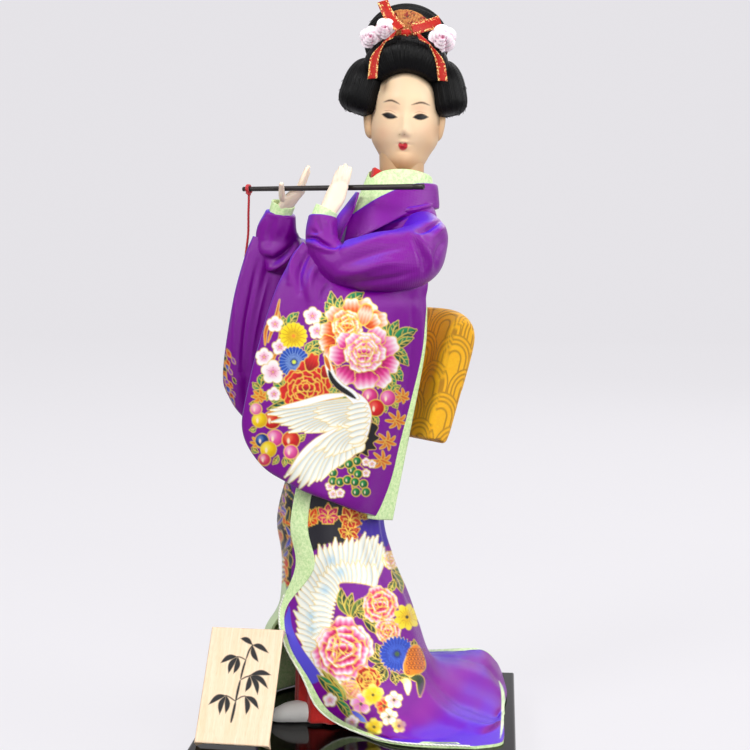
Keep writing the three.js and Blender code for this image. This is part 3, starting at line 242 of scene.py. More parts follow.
def tube(name, line, radius, sides=12, across=(1, 0, 0), finish=None):
    """A closed tube along a line. radius is a number, or gives side and upper radii for arrays of place and angle."""
    side, up = frames(line, across)
    place = np.linspace(0, 1, len(line))[:, None]
    angle = np.linspace(0, 2 * np.pi, sides, endpoint=False)[None, :]
    size = radius(place, angle) if callable(radius) else radius
    wide, tall = size if isinstance(size, tuple) else (size, size)
    ring = (wide * np.cos(angle))[..., None] * side[:, None] + (tall * np.sin(angle))[..., None] * up[:, None]
    return ringed(name, line[:, None] + ring, finish)


def join(pieces, name):
    """Joins finished meshes into one object."""
    deselect()
    for piece in pieces:
        piece.select_set(True)
    bpy.context.view_layer.objects.active = pieces[0]
    bpy.ops.object.join()
    pieces[0].name = name
    return pieces[0]


def stands_for(piece, body, cad):
    """Hangs a piece on the empty of the body it rides on, and hides the CAD node it stands for."""
    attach(piece, body)
    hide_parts(cad)


def textured(tree, shader, share, low, high, strength, depth, height=None):
    """Blends a shader's colour between two tints by a texture's share, and raises its surface by it or by a height."""
    node(tree, "Mix", {0: share, 6: colour(low), 7: colour(high)}, to=shader.inputs["Base Color"], data_type="RGBA")
    node(tree, "Bump", {"Height": height or share, "Strength": strength, "Distance": depth}, to=shader.inputs["Normal"])


# Rayon cord: dyed deep red, with a soft sheen on each strand and darker grooves between them.
# The tassel's threads are the same rayon, bound at their top.
cord_red, tree, shader = material("twisted_rayon_cord", Roughness=0.55, Sheen_Weight=0.35, Specular_IOR_Level=0.4)
where = node(tree, "TexCoord").outputs["Object"]
grain = node(tree, "TexNoise", {"Vector": where, "Scale": 2600.0, "Detail": 3.0})
textured(tree, shader, grain, "#8E0C16", "#D8222E", 0.3, 0.0002)

cord_line = spline(cord_route, 190)
cord_length = np.linalg.norm(np.diff(cord_line, axis=0), axis=1).sum()


def cord_section(place, angle):
    lobes = 1.5 * angle - np.pi * place * cord_length / cord_pitch * 1.5
    return cord_radius * (0.84 + 0.18 * np.abs(np.cos(lobes)))


flute_cord = tube("cord", cord_line, cord_section, sides=12, finish=cord_red)
wrap_turns = 2
wrap_pitch = 1.05
wrap_steps = 28 * wrap_turns
wrap_angle = np.linspace(0, 2 * np.pi * wrap_turns, wrap_steps)
wrap_radius = flute_tip_radius + 0.1 + cord_radius
wrap = (
    knot_place
    + np.cos(wrap_angle)[:, None] * wrap_radius * np.cross((0, 0, 1), flute_along)
    + np.sin(wrap_angle)[:, None] * wrap_radius * np.array([0, 0, 1])
    + (wrap_angle / wrap_angle[-1] - 0.5)[:, None] * wrap_pitch * wrap_turns * 0.5 * flute_along
)
flute_knot = tube("cord_round_the_flute", wrap, cord_radius * 0.95, sides=8, across=tuple(flute_along), finish=cord_red)
tail = knot_place - (0, 0, wrap_radius)
tie = spline([tail + (-0.9, -0.6, 0.1), tail + (-0.2, -0.9, -0.4), tail + (0.5, -0.5, -0.7), tail + (0.3, 0.1, -0.3)],
             12)
flute_knot = join([flute_knot, tube("tie", tie, cord_radius * 0.9, sides=8, finish=cord_red)], "cord_round_the_flute")

tassel_length = 13
strand_radius = 0.17
tassel_top = cord_route[-1] - (0, 0, gap)
tassel_parts = []
for rise, radius in [(-0.9, 0.95), (-2.6, 0.9)]:
    bpy.ops.mesh.primitive_uv_sphere_add(segments=16, ring_count=10, radius=radius * mm,
                                         location=(tassel_top + (0, 0, rise)) * mm)
    bead = bpy.context.object
    bpy.ops.object.transform_apply(location=True, rotation=True, scale=True)
    bead.data.materials.append(cord_red)
    bpy.ops.object.shade_smooth()
    tassel_parts.append(bead)
strand_count = 34
for i in range(strand_count):
    turn = 2.4 * i
    reach = 1.25 * math.sqrt((i + 0.5) / strand_count)
    way = np.array([math.cos(turn), math.sin(turn), 0])
    strand = spline([
        tassel_top + way * reach * 0.5 - (0, 0, 2.6),
        tassel_top + way * reach * 1.05 - (0, 0, 5.5),
        tassel_top + way * reach - (0, 0, 9),
        tassel_top + way * reach * 1.1 - (0, 0, tassel_length - 0.3 - 0.5 * (i % 3)),
    ], 7)
    tassel_parts.append(tube("strand", strand, strand_radius, sides=5, finish=cord_red))
tassel = join(tassel_parts, "silk_tassel")
for piece, cad in [(flute_cord, "flute_cord"), (flute_knot, "flute_cord_knot"), (tassel, "tassel")]:
    stands_for(piece, "flute", cad)

# The plinth is a board sprayed with many coats of black gloss lacquer, with eased edges.
# The lacquer mirrors the doll's foot and hem, and carries a little dust.
lacquer, tree, shader = material("black_gloss_lacquer", Base_Color=colour("#050404"), Roughness=0.09,
                                 Coat_Weight=0.06, Coat_Roughness=0.04, Specular_IOR_Level=0.14)
where = node(tree, "TexCoord").outputs["Object"]
orange_peel = node(tree, "TexNoise", {"Vector": where, "Scale": 260.0, "Detail": 2.0})
node(tree, "Bump", {"Height": orange_peel, "Strength": 0.05, "Distance": 0.0005}, to=shader.inputs["Normal"])
dust = node(tree, "TexNoise", {"Vector": where, "Scale": 1400.0, "Detail": 4.0})
node(tree, "MapRange", {"Value": dust, "From Min": 0.66, "From Max": 0.8, "To Min": 0.08, "To Max": 0.3},
     to=shader.inputs["Roughness"])


def coat(finish, *cads):
    """Gives CAD nodes that stay as they are their material."""
    for cad in cads:
        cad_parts[cad].data.materials.clear()
        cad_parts[cad].data.materials.append(finish)


coat(lacquer, "plinth")

# Drawn steel wires hold the feet to the plinth, pushed into holes in the board and in the heels.
# The trunk and the arms are wadding, wound tight with thread round their wires.
steel, tree, shader = material("drawn_steel_wire", Base_Color=colour("#A8A8AA"), Metallic=1.0, Roughness=0.34)
where = node(tree, "TexCoord").outputs["Object"]
drawn = node(tree, "TexNoise", {"Vector": where, "Scale": 900.0, "Detail": 2.0})
node(tree, "MapRange", {"Value": drawn, "To Min": 0.26, "To Max": 0.44}, to=shader.inputs["Roughness"])
padding, tree, shader = material("thread_wrapped_wadding", Roughness=0.9, Sheen_Weight=0.3)
where = node(tree, "TexCoord").outputs["Object"]
thread = node(tree, "TexWave", {"Vector": where, "Scale": 330.0, "Distortion": 3.0})
textured(tree, shader, thread, "#D9D0BE", "#F1EBDD", 0.5, 0.0003)
coat(steel, "stand_rod", "foot_pin")
coat(padding, "torso_core")

# Soft vinyl for the head, hands and legs: moulded in a warm skin tone, matt, with light going a little way in.
# The tone is a little uneven, and the mould leaves a very fine grain.
skin_depth = (1.0, 0.45, 0.25)  # red light goes deepest
skin, tree, shader = material("moulded_soft_vinyl", Base_Color=colour("#F6DFC6"), Roughness=0.42,
                              Subsurface_Weight=0.12, Subsurface_Scale=0.0015, Subsurface_Radius=skin_depth,
                              Specular_IOR_Level=0.4)
where = node(tree, "TexCoord").outputs["Object"]
mould = node(tree, "TexNoise", {"Vector": where, "Scale": 700.0, "Detail": 3.0})
blotch = node(tree, "TexNoise", {"Vector": where, "Scale": 60.0, "Detail": 2.0})
textured(tree, shader, blotch, "#F4DCC2", "#FAE6D2", 0.05, 0.0003, height=mould)
coat(skin, "left_leg", "right_leg")

# The long skirt is printed satin in two panels, lined in pale green, cut on a trailing hem.
# Its print is laid on with a brush: each flower is worked out on the fine grid of the cloth, gold outline first.
satin_thickness = 1.2
photo_size = 750  # the photograph's sides, in pixels
photo_focus = camera.data.lens / camera.data.sensor_width * photo_size
photo_turn = np.array(camera.rotation_euler.to_matrix())


def seen(points):
    """Where points in millimetres lie in the photograph's frame, in its pixels."""
    view = (np.asarray(points, float) - np.array(camera_place) / mm) @ photo_turn
    return photo_size / 2 + photo_focus * view[..., :2] / view[..., 2:] * (-1, 1)


def even(points, count, lean=0.0):
    """Places along a spline at even lengths, closer at its start where lean is above 0."""
    rough = spline(points, 400)
    run = np.concatenate([[0], np.cumsum(np.linalg.norm(np.diff(rough, axis=0), axis=1))])
    share = np.linspace(0, 1, count + 1)
    share = share * (1 - lean) + lean * share ** 2
    return np.interp(share * run[-1], run, np.linspace(0, 1, 401))


def grid(rows, down, across, lean=0.0, guide=None):
    """A fine grid of points through rows of a few points, spaced evenly along its middle lines."""
    rows = np.asarray(rows, float)
    middle = rows.shape[1] // 2 if guide is None else guide
    fine = spline(rows.transpose(1, 0, 2), even(rows[len(rows) // 2], across, lean)).transpose(1, 0, 2)
    return spline(fine, even(rows[:, middle], down))


def shares(points):
    """How far down and across a grid each of its rows and columns lies, from 0 to 1."""
    return np.linspace(0, 1, points.shape[0])[:, None], np.linspace(0, 1, points.shape[1])[None, :]


def lift(points, heart):
    """Unit directions straight out of a grid of points, away from its heart."""
    out = unit(np.cross(np.gradient(points, axis=1), np.gradient(points, axis=0)))
    away = (out * (points - np.asarray(heart, float))).sum()
    return out if away > 0 else -out


def canvas(points, out, least=0.0):
    """The bare side of a cloth, ready for its print, which stops where the cloth turns away."""
    flat = points.reshape(-1, 3)
    look = unit(np.array(camera_place) / mm - flat)
    run = [np.cumsum(np.linalg.norm(np.diff(points, axis=a, prepend=points.take([0], a)), axis=-1), axis=a)
           for a in (1, 0)]
    return {
        "points": flat,
        "faces_us": (out.reshape(-1, 3) * look).sum(-1) > least,
        "seen": seen(flat),
        "colour": np.zeros((len(flat), 4)),
        "gilt": np.zeros(len(flat)),
        "weave": np.stack([run[0].ravel(), run[1].ravel(), np.zeros(len(flat))], -1),
    }


def mark(made, **values):
    """Writes numbers on a mesh's points: a print, its gilt, the weave's lengths in mm, or a strand's place."""
    kinds = {"print": ("FLOAT_COLOR", "color"), "weave": ("FLOAT_VECTOR", "vector")}
    for title, numbers in values.items():
        kind, field = kinds.get(title, ("FLOAT", "value"))
        held = made.data.attributes.get(title) or made.data.attributes.new(title, kind, "POINT")
        held.data.foreach_set(field, np.ravel(numbers))


def bare(made, weave):
    """Marks a cloth without a print."""
    count = len(made.data.vertices)
    mark(made, print=np.zeros(4 * count), gilt=np.zeros(count), weave=weave)
    return made


def cloth(name, points, thickness, heart, finishes, coarse=4, side=None, weave=None):
    """A closed sheet: a fine outer side with its print, and an inner side of fewer points, joined at the rim."""
    out = lift(points, heart)
    side = canvas(points, out) if side is None else side
    weave = side["weave"].reshape(points.shape) if weave is None else weave
    n, m = points.shape[:2]
    inner = (points - out * thickness)[::coarse, ::coarse]
    a, b = inner.shape[:2]
    r, c = np.meshgrid(np.arange(n - 1), np.arange(m - 1), indexing="ij")
    first = (r * m + c).ravel()
    faces = np.stack([first, first + 1, first + m + 1, first + m], -1).tolist()
    outside = len(faces)
    r, c = np.meshgrid(np.arange(a - 1), np.arange(b - 1), indexing="ij")
    first = (n * m + r * b + c).ravel()
    faces += np.stack([first, first + b, first + b + 1, first + 1], -1).tolist()
    inside = len(faces)
    for i in range(b - 1):
        for row, back in [(0, 0), (n - 1, a - 1)]:
            fine = [row * m + i * coarse + k for k in range(coarse + 1)]
            faces.append(fine + [n * m + back * b + i + 1, n * m + back * b + i])
    for i in range(a - 1):
        for column, back in [(0, 0), (m - 1, b - 1)]:
            fine = [(i * coarse + k) * m + column for k in range(coarse + 1)]
            faces.append(fine + [n * m + (i + 1) * b + back, n * m + i * b + back])
    made = build(name, np.concatenate([points.reshape(-1, 3), inner.reshape(-1, 3)]), faces)
    data = made.data
    for finish in finishes:
        data.materials.append(finish)
    kind = np.zeros(len(faces), int)
    kind[outside:] = len(finishes) - 1
    data.polygons.foreach_set("material_index", kind)
    flat_rim = np.ones(len(faces), bool)
    flat_rim[inside:] = False
    data.polygons.foreach_set("use_smooth", flat_rim)
    spare = a * b
    weave = np.concatenate([weave.reshape(-1, 3), weave[::coarse, ::coarse].reshape(-1, 3)])
    mark(made, print=np.concatenate([side["colour"], np.zeros((spare, 4))]),
         gilt=np.concatenate([side["gilt"], np.zeros(spare)]),
         weave=weave)
    return made


def glaze(side, ids, cover, tint, gilt=0.0):
    """Brushes a tint over points of a cloth, each covered by a share from 0 to 1."""
    tint = np.broadcast_to(np.asarray(tint, float)[..., :3], (len(ids), 3))
    old = side["colour"][ids]
    alpha = cover + old[:, 3] * (1 - cover)
    mixed = tint * cover[:, None] + old[:, :3] * (old[:, 3] * (1 - cover))[:, None]
    side["colour"][ids, :3] = mixed / np.maximum(alpha, 1e-6)[:, None]
    side["colour"][ids, 3] = alpha
    side["gilt"][ids] = side["gilt"][ids] * (1 - cover) + gilt * cover


def lay(side, ids, distance, tint, gilt=0.0, soft=0.55):
    """Brushes a tint over the points whose distance to a shape's edge is below nought, in photograph pixels."""
    glaze(side, ids, np.clip(0.5 - distance / (2 * soft), 0, 1), tint, gilt)


def near(side, middle, reach):
    """The points of a cloth near a place in the photograph, and how far right and up of it they are."""
    offset = side["seen"] - np.asarray(middle, float)
    ids = np.nonzero((np.abs(offset).max(-1) < reach) & side["faces_us"])[0]
    return ids, offset[ids, 0], -offset[ids, 1]


def shade(share, *codes):
    """Colours blended along a list of hex codes by a share from 0 to 1."""
    stops = np.array([colour(code)[:3] for code in (codes if len(codes) > 1 else codes * 2)])
    at = np.clip(share, 0, 1) * (len(stops) - 1)
    low = np.minimum(at.astype(int), len(stops) - 2)
    part = (at - low)[..., None]
    return stops[low] * (1 - part) + stops[low + 1] * part


gold = colour("#E9C552")
outline = 0.85


def from_path(places, path):
    """How far places in the photograph lie from a path, how far along it, and on which side of it."""
    best = np.full(len(places), 1e9)
    share = np.zeros(len(places))
    aside = np.zeros(len(places))
    for i in range(len(path) - 1):
        step = path[i + 1] - path[i]
        away = places - path[i]
        along = np.clip((away @ step) / max(step @ step, 1e-9), 0, 1)
        gap_to = np.linalg.norm(away - along[:, None] * step, axis=1)
        nearer = gap_to < best
        best[nearer] = gap_to[nearer]
        share[nearer] = ((i + along) / (len(path) - 1))[nearer]
        aside[nearer] = np.sign(away[:, 0] * step[1] - away[:, 1] * step[0])[nearer]
    return best, share, aside


def press(spots, normals, folds):
    """Presses folds into points along lines in the photograph's pixels, each with its width and height in mm."""
    shape_in, spots, normals = spots.shape, spots.reshape(-1, 3).copy(), normals.reshape(-1, 3)
    facing = np.clip((normals * unit(np.array(camera_place) / mm - spots)).sum(-1), 0, 1) ** 0.5
    places = seen(spots)
    for line, width, height in folds:
        path = spline(np.asarray(line, float), 14)
        off = np.abs(places - (path.min(0) + path.max(0)) / 2).max(-1)
        ids = np.nonzero((off < np.ptp(path, axis=0).max() / 2 + 3 * width) & (facing > 0))[0]
        if len(ids):
            away, share, aside = from_path(places[ids], path)
            fade = np.sin(np.pi * np.clip(share, 0.03, 0.97)) ** 0.5
            spots[ids] += normals[ids] * (height * np.exp(-((away / width) ** 2)) * fade * facing[ids])[:, None]
    return spots.reshape(shape_in)


def move(made, change):
    """Moves a finished mesh's points; change takes and gives their places in millimetres."""
    spots = np.array([v.co for v in made.data.vertices]) / mm
    made.data.vertices.foreach_set("co", (change(spots) * mm).ravel())
    made.data.update()


def crease(made, folds):
    """Presses folds into a finished mesh."""
    normals = np.array([v.normal for v in made.data.vertices])
    move(made, lambda spots: press(spots, normals, folds))


def stroke(side, line, width, codes, edge=outline, across=False, round_end=0.6, gilt=0.0):
    """A brush stroke along a line in the photograph, as wide in its middle as width, shaded along or across."""
    path = spline(np.asarray(line, float), 12)
    middle = (path.min(0) + path.max(0)) / 2
    ids, u, v = near(side, middle, np.abs(path - middle).max() + width + 2)
    if not len(ids):
        return
    best, share, aside = from_path(np.stack([u + middle[0], middle[1] - v], -1), path)
    half = width / 2 * np.sin(np.pi * np.clip(share, 0.02, 0.98)) ** round_end
    distance = best - half
    if edge:
        lay(side, ids, distance - edge, gold, 1.0)
    ramp = 0.5 + 0.5 * aside * best / np.maximum(half, 0.1) if across else share
    lay(side, ids, distance, shade(ramp, *codes), gilt)


def vein(side, line, width, codes=("#E9C552",)):
    """A fine gold line."""
    stroke(side, line, width, codes, 0, gilt=1.0)


def petal(side, middle, way, length, width, codes, wave=0.09, lobes=3):
    """One petal from its foot at middle, out along the angle way, shaded from foot to tip, with a gold rim."""
    foot = np.asarray(middle, float)
    aim = np.array([math.cos(way), -math.sin(way)])
    ids, u, v = near(side, foot + aim * length / 2, max(length, width) * 0.75 + 2)
    x = u + aim[0] * length / 2
    y = v - aim[1] * length / 2
    along = x * math.cos(way) + y * math.sin(way)
    aside = -x * math.sin(way) + y * math.cos(way)
    a = (along - 0.56 * length) / (0.5 * length)
    b = aside / (0.5 * width)
    bearing = np.arctan2(b, a)
    lobed = wave * np.cos(2 * lobes * bearing) * (np.abs(bearing) < 1.8)
    size = np.hypot(a, b) - 1 + lobed + 0.12 * (a < -0.4) * np.abs(b)
    distance = size * 0.5 * min(length, width)
    lay(side, ids, distance - outline, gold, 1.0)
    streak = 0.07 * np.sin(aside * 9 / max(width, 1) * 3)
    lay(side, ids, distance, shade(np.clip(along / length, 0, 1) ** 1.7 * 1.05 + streak, *codes))


def peony(side, middle, radius, codes, turn=0.0, squash=1.0, rings=((1, 9), (0.74, 7), (0.5, 6), (0.27, 4))):
    """A full peony: rings of lobed petals, from the outermost in, and cupped petals at its heart."""
    for k, (share, count) in enumerate(rings):
        for i in range(count):
            way = turn + 2 * math.pi * (i + 0.5 * (k % 2)) / count + 0.22 * math.sin(5.1 * i + 2 * k)
            foot = 0.3 * share * radius
            reach = radius * (share + 0.06 * math.sin(3.7 * i + k)) - foot
            start = (middle[0] + foot * math.cos(way), middle[1] - foot * math.sin(way) * squash)
            petal(side, start, way, reach * (1 if abs(math.cos(way)) > 0.5 else squash),
                  2 * math.pi * share * radius / count * 1.08, codes)
    for i in (-1, 1, 0):
        start = (middle[0] + i * radius * 0.12, middle[1] + radius * 0.1)
        petal(side, start, math.pi / 2 - 0.5 * i, radius * 0.3, radius * 0.26, codes, 0.05)


def chrysanthemum(side, middle, radius, codes, line, heart, rays=22, spikes=0.09):
    """A round chrysanthemum: narrow rays with pale lines between them, and a small disc."""
    ids, u, v = near(side, middle, radius * 1.2 + 2)
    reach = np.hypot(u, v)
    bearing = np.arctan2(v, u)
    wave = np.abs(np.cos(rays * bearing / 2))
    distance = reach - radius * (1 - spikes + spikes * wave)
    lay(side, ids, distance - outline * 0.8, gold, 1.0)
    lay(side, ids, distance, shade(reach / radius, *codes))
    between = wave * reach * 2 / rays - 0.32
    lay(side, ids, np.maximum(between, np.maximum(distance + 0.5, radius * 0.3 - reach)), colour(line), soft=0.35)
    inner = np.abs(np.sin(rays * bearing / 2)) * reach * 2 / rays - 0.22
    lay(side, ids, np.maximum(inner, np.maximum(reach - radius * 0.56, radius * 0.22 - reach)), colour(line), soft=0.35)
    lay(side, ids, reach - radius * 0.13, colour(heart))


def plum(side, middle, radius, turn=0.3):
    """A plum blossom: five round pale petals, a pink heart and fine stamens."""
    ids, u, v = near(side, middle, radius * 1.3 + 2)
    distance = np.full(len(ids), 1e9)
    for i in range(5):
        way = turn + 2 * math.pi * i / 5
        x, y = 0.56 * radius * math.cos(way), 0.56 * radius * math.sin(way)
        distance = np.minimum(distance, np.hypot(u - x, v - y) - 0.44 * radius)
    reach = np.hypot(u, v)
    distance = np.minimum(distance, reach - radius * 0.5)
    lay(side, ids, distance - outline * 0.8, gold, 1.0)
    lay(side, ids, distance, shade(reach / radius * 1.1, "#D8508C", "#F4B8D0", "#FCEFF2", "#FFFAF6"))
    spoke = np.abs(np.sin(2.5 * (np.arctan2(v, u) - turn))) * reach - 0.3
    lay(side, ids, np.maximum(spoke, reach - radius * 0.55), colour("#C83C78"))
    lay(side, ids, reach - 0.9, colour("#F0D060"), 0.5)


def leaf(side, foot, tip, width, codes=("#0A3B2A", "#11684A", "#2E9A5C")):
    """A pointed leaf with a gold rim and gold veins."""
    foot, tip = np.asarray(foot, float), np.asarray(tip, float)
    way = tip - foot
    bend = np.array([way[1], -way[0]]) * 0.08
    middle = (foot + tip) / 2 + bend
    stroke(side, [foot, middle, tip], width, codes, outline * 0.9, across=True, round_end=0.8)
    vein(side, [foot, middle, foot * 0.12 + tip * 0.88], 0.95, ("#E9C552", "#F5E070"))
    for share in (0.4, 0.66):
        root = foot + way * share + bend * 0.8
        for sign in (-1, 1):
            out = np.array([way[1], -way[0]]) / max(np.linalg.norm(way), 1) * sign * width * 0.36
            vein(side, [root, root + way * 0.1 + out * 0.6, root + way * 0.2 + out], 0.65, ("#DFC458",))


def berry(side, middle, radius, codes):
    """A round berry with a pale gleam."""
    ids, u, v = near(side, middle, radius + 3)
    reach = np.hypot(u, v)
    lay(side, ids, reach - radius - outline, gold, 1.0)
    lay(side, ids, reach - radius, shade(np.hypot(u + 0.3 * radius, v - 0.3 * radius) / radius / 1.3, *codes))
    gleam = np.hypot((u + 0.3 * radius) / 0.8, (v + 0.1 * radius) / 1.6) - 0.2 * radius
    lay(side, ids, gleam, colour("#FFE9C8"))


def maple(side, middle, radius, codes, turn=0.0):
    """A maple leaf: seven pointed lobes with gold ribs."""
    middle = np.asarray(middle, float)
    lobes = [radius * share * np.array([-math.sin(turn + way), -math.cos(turn + way)])
             for way, share in ((0, 1), (0.75, 0.95), (-0.75, 0.95), (1.5, 0.75), (-1.5, 0.75), (2.35, 0.5),
                                (-2.35, 0.5))]
    for lobe in lobes:
        stroke(side, [middle, middle + lobe], radius * 0.5, codes, round_end=0.7)
    for lobe in lobes:
        vein(side, [middle, middle + 0.75 * lobe], 0.7)


def patch(side, outline_points, code, edge=outline):
    """Fills a closed smooth outline drawn in the photograph's pixels."""
    ring = np.asarray(outline_points, float)
    loop = spline(np.concatenate([ring[-2:], ring, ring[:2]]), (len(ring) + 3) * 6)[12:-12]
    middle = (loop.min(0) + loop.max(0)) / 2
    ids, u, v = near(side, middle, np.abs(loop - middle).max() + 3)
    place = np.stack([u + middle[0], middle[1] - v], -1)
    best = from_path(place, np.concatenate([loop, loop[:1]]))[0]
    inside = np.zeros(len(ids), bool)
    for p, q in zip(loop, np.roll(loop, -1, 0)):
        crosses = (p[1] > place[:, 1]) != (q[1] > place[:, 1])
        rise = q[1] - p[1] if q[1] != p[1] else 1e-9
        inside ^= crosses & (place[:, 0] < (q[0] - p[0]) * (place[:, 1] - p[1]) / rise + p[0])
    distance = np.where(inside, -best, best)
    if edge:
        lay(side, ids, distance - edge, gold, 1.0)
    lay(side, ids, distance, colour(code))


def feathers(side, roots, tips, count, width, codes, bend=0.0):
    """A row of long feathers between a line of roots and a line of tips, each over the one before."""
    roots, tips = spline(roots, count - 1), spline(tips, count - 1)
    for i, (root, tip) in enumerate(zip(roots, tips)):
        way = tip - root
        middle = (root + tip) / 2 + np.array([way[1], -way[0]]) * bend
        stroke(side, [root, middle, tip + way * 0.07 * math.sin(2.4 * i)], width, codes, 0.5, True, 0.62)


# Acetate satin with a shot weave: a magenta weft through a blue-violet warp; its blue is painted sheen, laid where the
# cloth faces up and to the left.
# Its threads are 0.1 mm; they are drawn 0.45 mm apart so that the fine ribs still show.
thread_pitch = 0.45
satin, tree, shader = material("shot_acetate_satin", Roughness=0.3, Anisotropic=0.5, Sheen_Weight=0.02,
                               Sheen_Roughness=0.3, Sheen_Tint=colour("#6A5CFF"), Specular_IOR_Level=0.27)


def weave_waves(tree, pitch):
    """Fine ribs along both ways of a cloth, from its woven lengths in millimetres."""
    lengths = node(tree, "Attribute", attribute_name="weave")
    wide = node(tree, "VectorMath", {0: lengths.outputs["Vector"], "Scale": 1 / pitch}, operation="SCALE")
    split = node(tree, "SeparateXYZ", {0: wide})
    turns = [node(tree, "Math", {0: split.outputs[way], 1: 2 * math.pi}, operation="MULTIPLY") for way in (0, 1)]
    return [node(tree, "Math", {0: turn}, operation="SINE") for turn in turns]


rib_across, rib_down = weave_waves(tree, thread_pitch)
where = node(tree, "TexCoord")
# painted sheen: cloth that faces up and to the left, give or take a little noise, is tinted blue
facing = node(tree, "VectorMath", {0: where.outputs["Normal"], 1: (-0.45, 0.25, 0.85)}, operation="DOT_PRODUCT")
drift = node(tree, "TexNoise", {"Vector": where.outputs["Object"], "Scale": 55.0, "Detail": 2.0})
blend = node(tree, "Math", {0: drift, 1: 0.35, 2: facing.outputs["Value"]}, operation="MULTIPLY_ADD")
painted_sheen_blue = node(tree, "MapRange", {"Value": blend, "From Min": 0.3, "From Max": 1.1, "To Max": 0.85},
                 interpolation_type="SMOOTHSTEP")
shot = node(tree, "Mix", {0: painted_sheen_blue, 6: colour("#7A0290"), 7: colour("#4E20DC")}, data_type="RGBA")
streaks = node(tree, "MapRange", {"Value": rib_down, "From Min": -1.0, "To Min": 0.9, "To Max": 1.1})
threads = node(tree, "Mix", {0: 1.0, 6: shot, 7: streaks}, data_type="RGBA", blend_type="MULTIPLY")
printed = node(tree, "Attribute", attribute_name="print")
gilded = node(tree, "Attribute", attribute_name="gilt")
node(tree, "Mix", {0: printed.outputs["Alpha"], 6: threads, 7: printed.outputs["Color"]},
     to=shader.inputs["Base Color"], data_type="RGBA")
node(tree, "Math", {0: gilded.outputs["Fac"], 1: 0.55}, to=shader.inputs["Metallic"], operation="MULTIPLY")
ribs_all = node(tree, "Math", {0: rib_across, 1: rib_down}, operation="ADD")
raised = node(tree, "Math", {0: gilded.outputs["Fac"], 1: 3.0, 2: ribs_all}, operation="MULTIPLY_ADD")
node(tree, "Bump", {"Height": raised, "Strength": 0.22, "Distance": 0.00012}, to=shader.inputs["Normal"])

# Pale green rayon lining with small flecks, matt beside the satin.
# It backs the panels and the sleeves, and makes the green collar, the cuffs and the edge band.
lining, tree, shader = material("flecked_green_lining", Roughness=0.72, Sheen_Weight=0.12)
where = node(tree, "TexCoord").outputs["Object"]
fleck = node(tree, "TexNoise", {"Vector": where, "Scale": 850.0, "Detail": 4.0, "Roughness": 0.7})
flecks = node(tree, "MapRange", {"Value": fleck, "From Min": 0.36, "From Max": 0.62})
textured(tree, shader, flecks, "#C4E89E", "#ECFFC8", 0.25, 0.0003, height=fleck)

body_facing = math.radians(220)
body_front = np.array([math.cos(body_facing), math.sin(body_facing), 0])
body_left = np.array([-body_front[1], body_front[0], 0])
skirt_rings = [(135, -1, 0.5, 17.5, 15.5, 24), (111, -8, 0, 20, 20, 27), (84, -13.8, 0, 22, 22, 32),
               (66, -11, 0, 23.2, 23.2, 32)]


def body_point(x, y, height, side, depth, angle):
    """A place round the body; its angle counts from the doll's front towards its left."""
    turn = math.radians(angle)
    return np.array([x, y, height]) + body_front * depth * math.cos(turn) + body_left * side * math.sin(turn)


def ring_row(ring, start, end, tuck=0.0):
    height, x, y, side, depth = ring[:5]
    row = []
    for share in np.linspace(0, 1, 7):
        inward = tuck * max(0, 3 * share - 2)
        row.append(body_point(x, y, height, side - inward, depth - inward, start + (end - start) * share))
    return row


train_rows = [
    [(-29.5, -18.5, 48), (-16, -25.5, 48), (2, -25, 47), (15, -15, 47), (19.2, 0, 47.5), (16, 16, 48), (4, 25, 48)],
    [(-27.6, -23.8, 35), (-13, -29, 34), (4, -28, 33), (17.6, -17, 33), (23.4, 0, 34.5), (20.4, 17, 36), (8, 28.6, 36)],
    [(-19.5, -26.5, 22), (-5, -32, 20), (11, -31, 17.6), (24, -20, 17.6), (28.6, 1, 19.4), (27, 20, 19.6),
     (18, 33, 18)],
    [(-11, -28, 9), (4, -34, 7), (20, -34, 6.2), (34, -22, 6.8), (39, 1, 10.6), (41, 23, 15.8), (35, 37.6, 15.6)],
    [(3, -31, 2.2), (15, -37.5, 2.2), (31, -37, 2.4), (44, -24, 3.2), (49.6, 2, 6), (51, 24, 12.4), (49, 41, 15.4)],
    [(21, -41.5, 1.3), (33, -42.5, 1.5), (44, -38, 1.7), (53, -24, 2), (56.4, 2, 3), (57, 24, 6), (55.6, 46, 9)],
    [(48, -42, 1.2), (57.5, -37.5, 1.2), (59.4, -30, 1.2), (59.3, -10, 1.2), (59.6, 8, 1.2), (60.6, 26, 1.4),
     (58.5, 54, 1.2)],
]
back_rows = [
    [(4, 25, 48), (-12, 26, 48), (-25, 20.5, 48), (-33, 8, 48), (-34.4, -3, 48), (-33, -10, 48), (-30, -15, 48)],
    [(8, 28.6, 36), (-10, 31, 35), (-27, 26, 36), (-37, 14, 36), (-40.4, 3, 36), (-40.2, -5, 36), (-37, -11.6, 37)],
    [(18, 33, 18), (-4, 37, 19), (-26, 32, 20), (-40, 20, 20), (-45, 8, 20), (-45.5, 1, 20), (-43, -5, 21)],
    [(49, 41, 15.4), (12, 43, 9), (-20, 38, 8), (-40, 25, 8), (-47, 12, 8), (-48.5, 5, 8), (-47, 0, 8)],
    [(58.5, 54, 1.2), (32, 55, 1.2), (-8, 47, 1.2), (-33, 33, 1.2), (-44, 19, 1.2), (-48, 11, 1.2), (-48.5, 5, 1.2)],
]
skirt_heart = (-5, 2, 60 + deck)
up_deck = np.array([0, 0, deck])


def hump(at, middle, width):
    """A smooth bump from 0 to 1 and back, for a fold."""
    return np.exp(-((at - middle) / width) ** 2)


left_rows = np.array([ring_row(r, r[5], 180) for r in skirt_rings] + train_rows) + up_deck
left_skirt = grid(left_rows, 344, 260, lean=0.35)
down, across = shares(left_skirt)
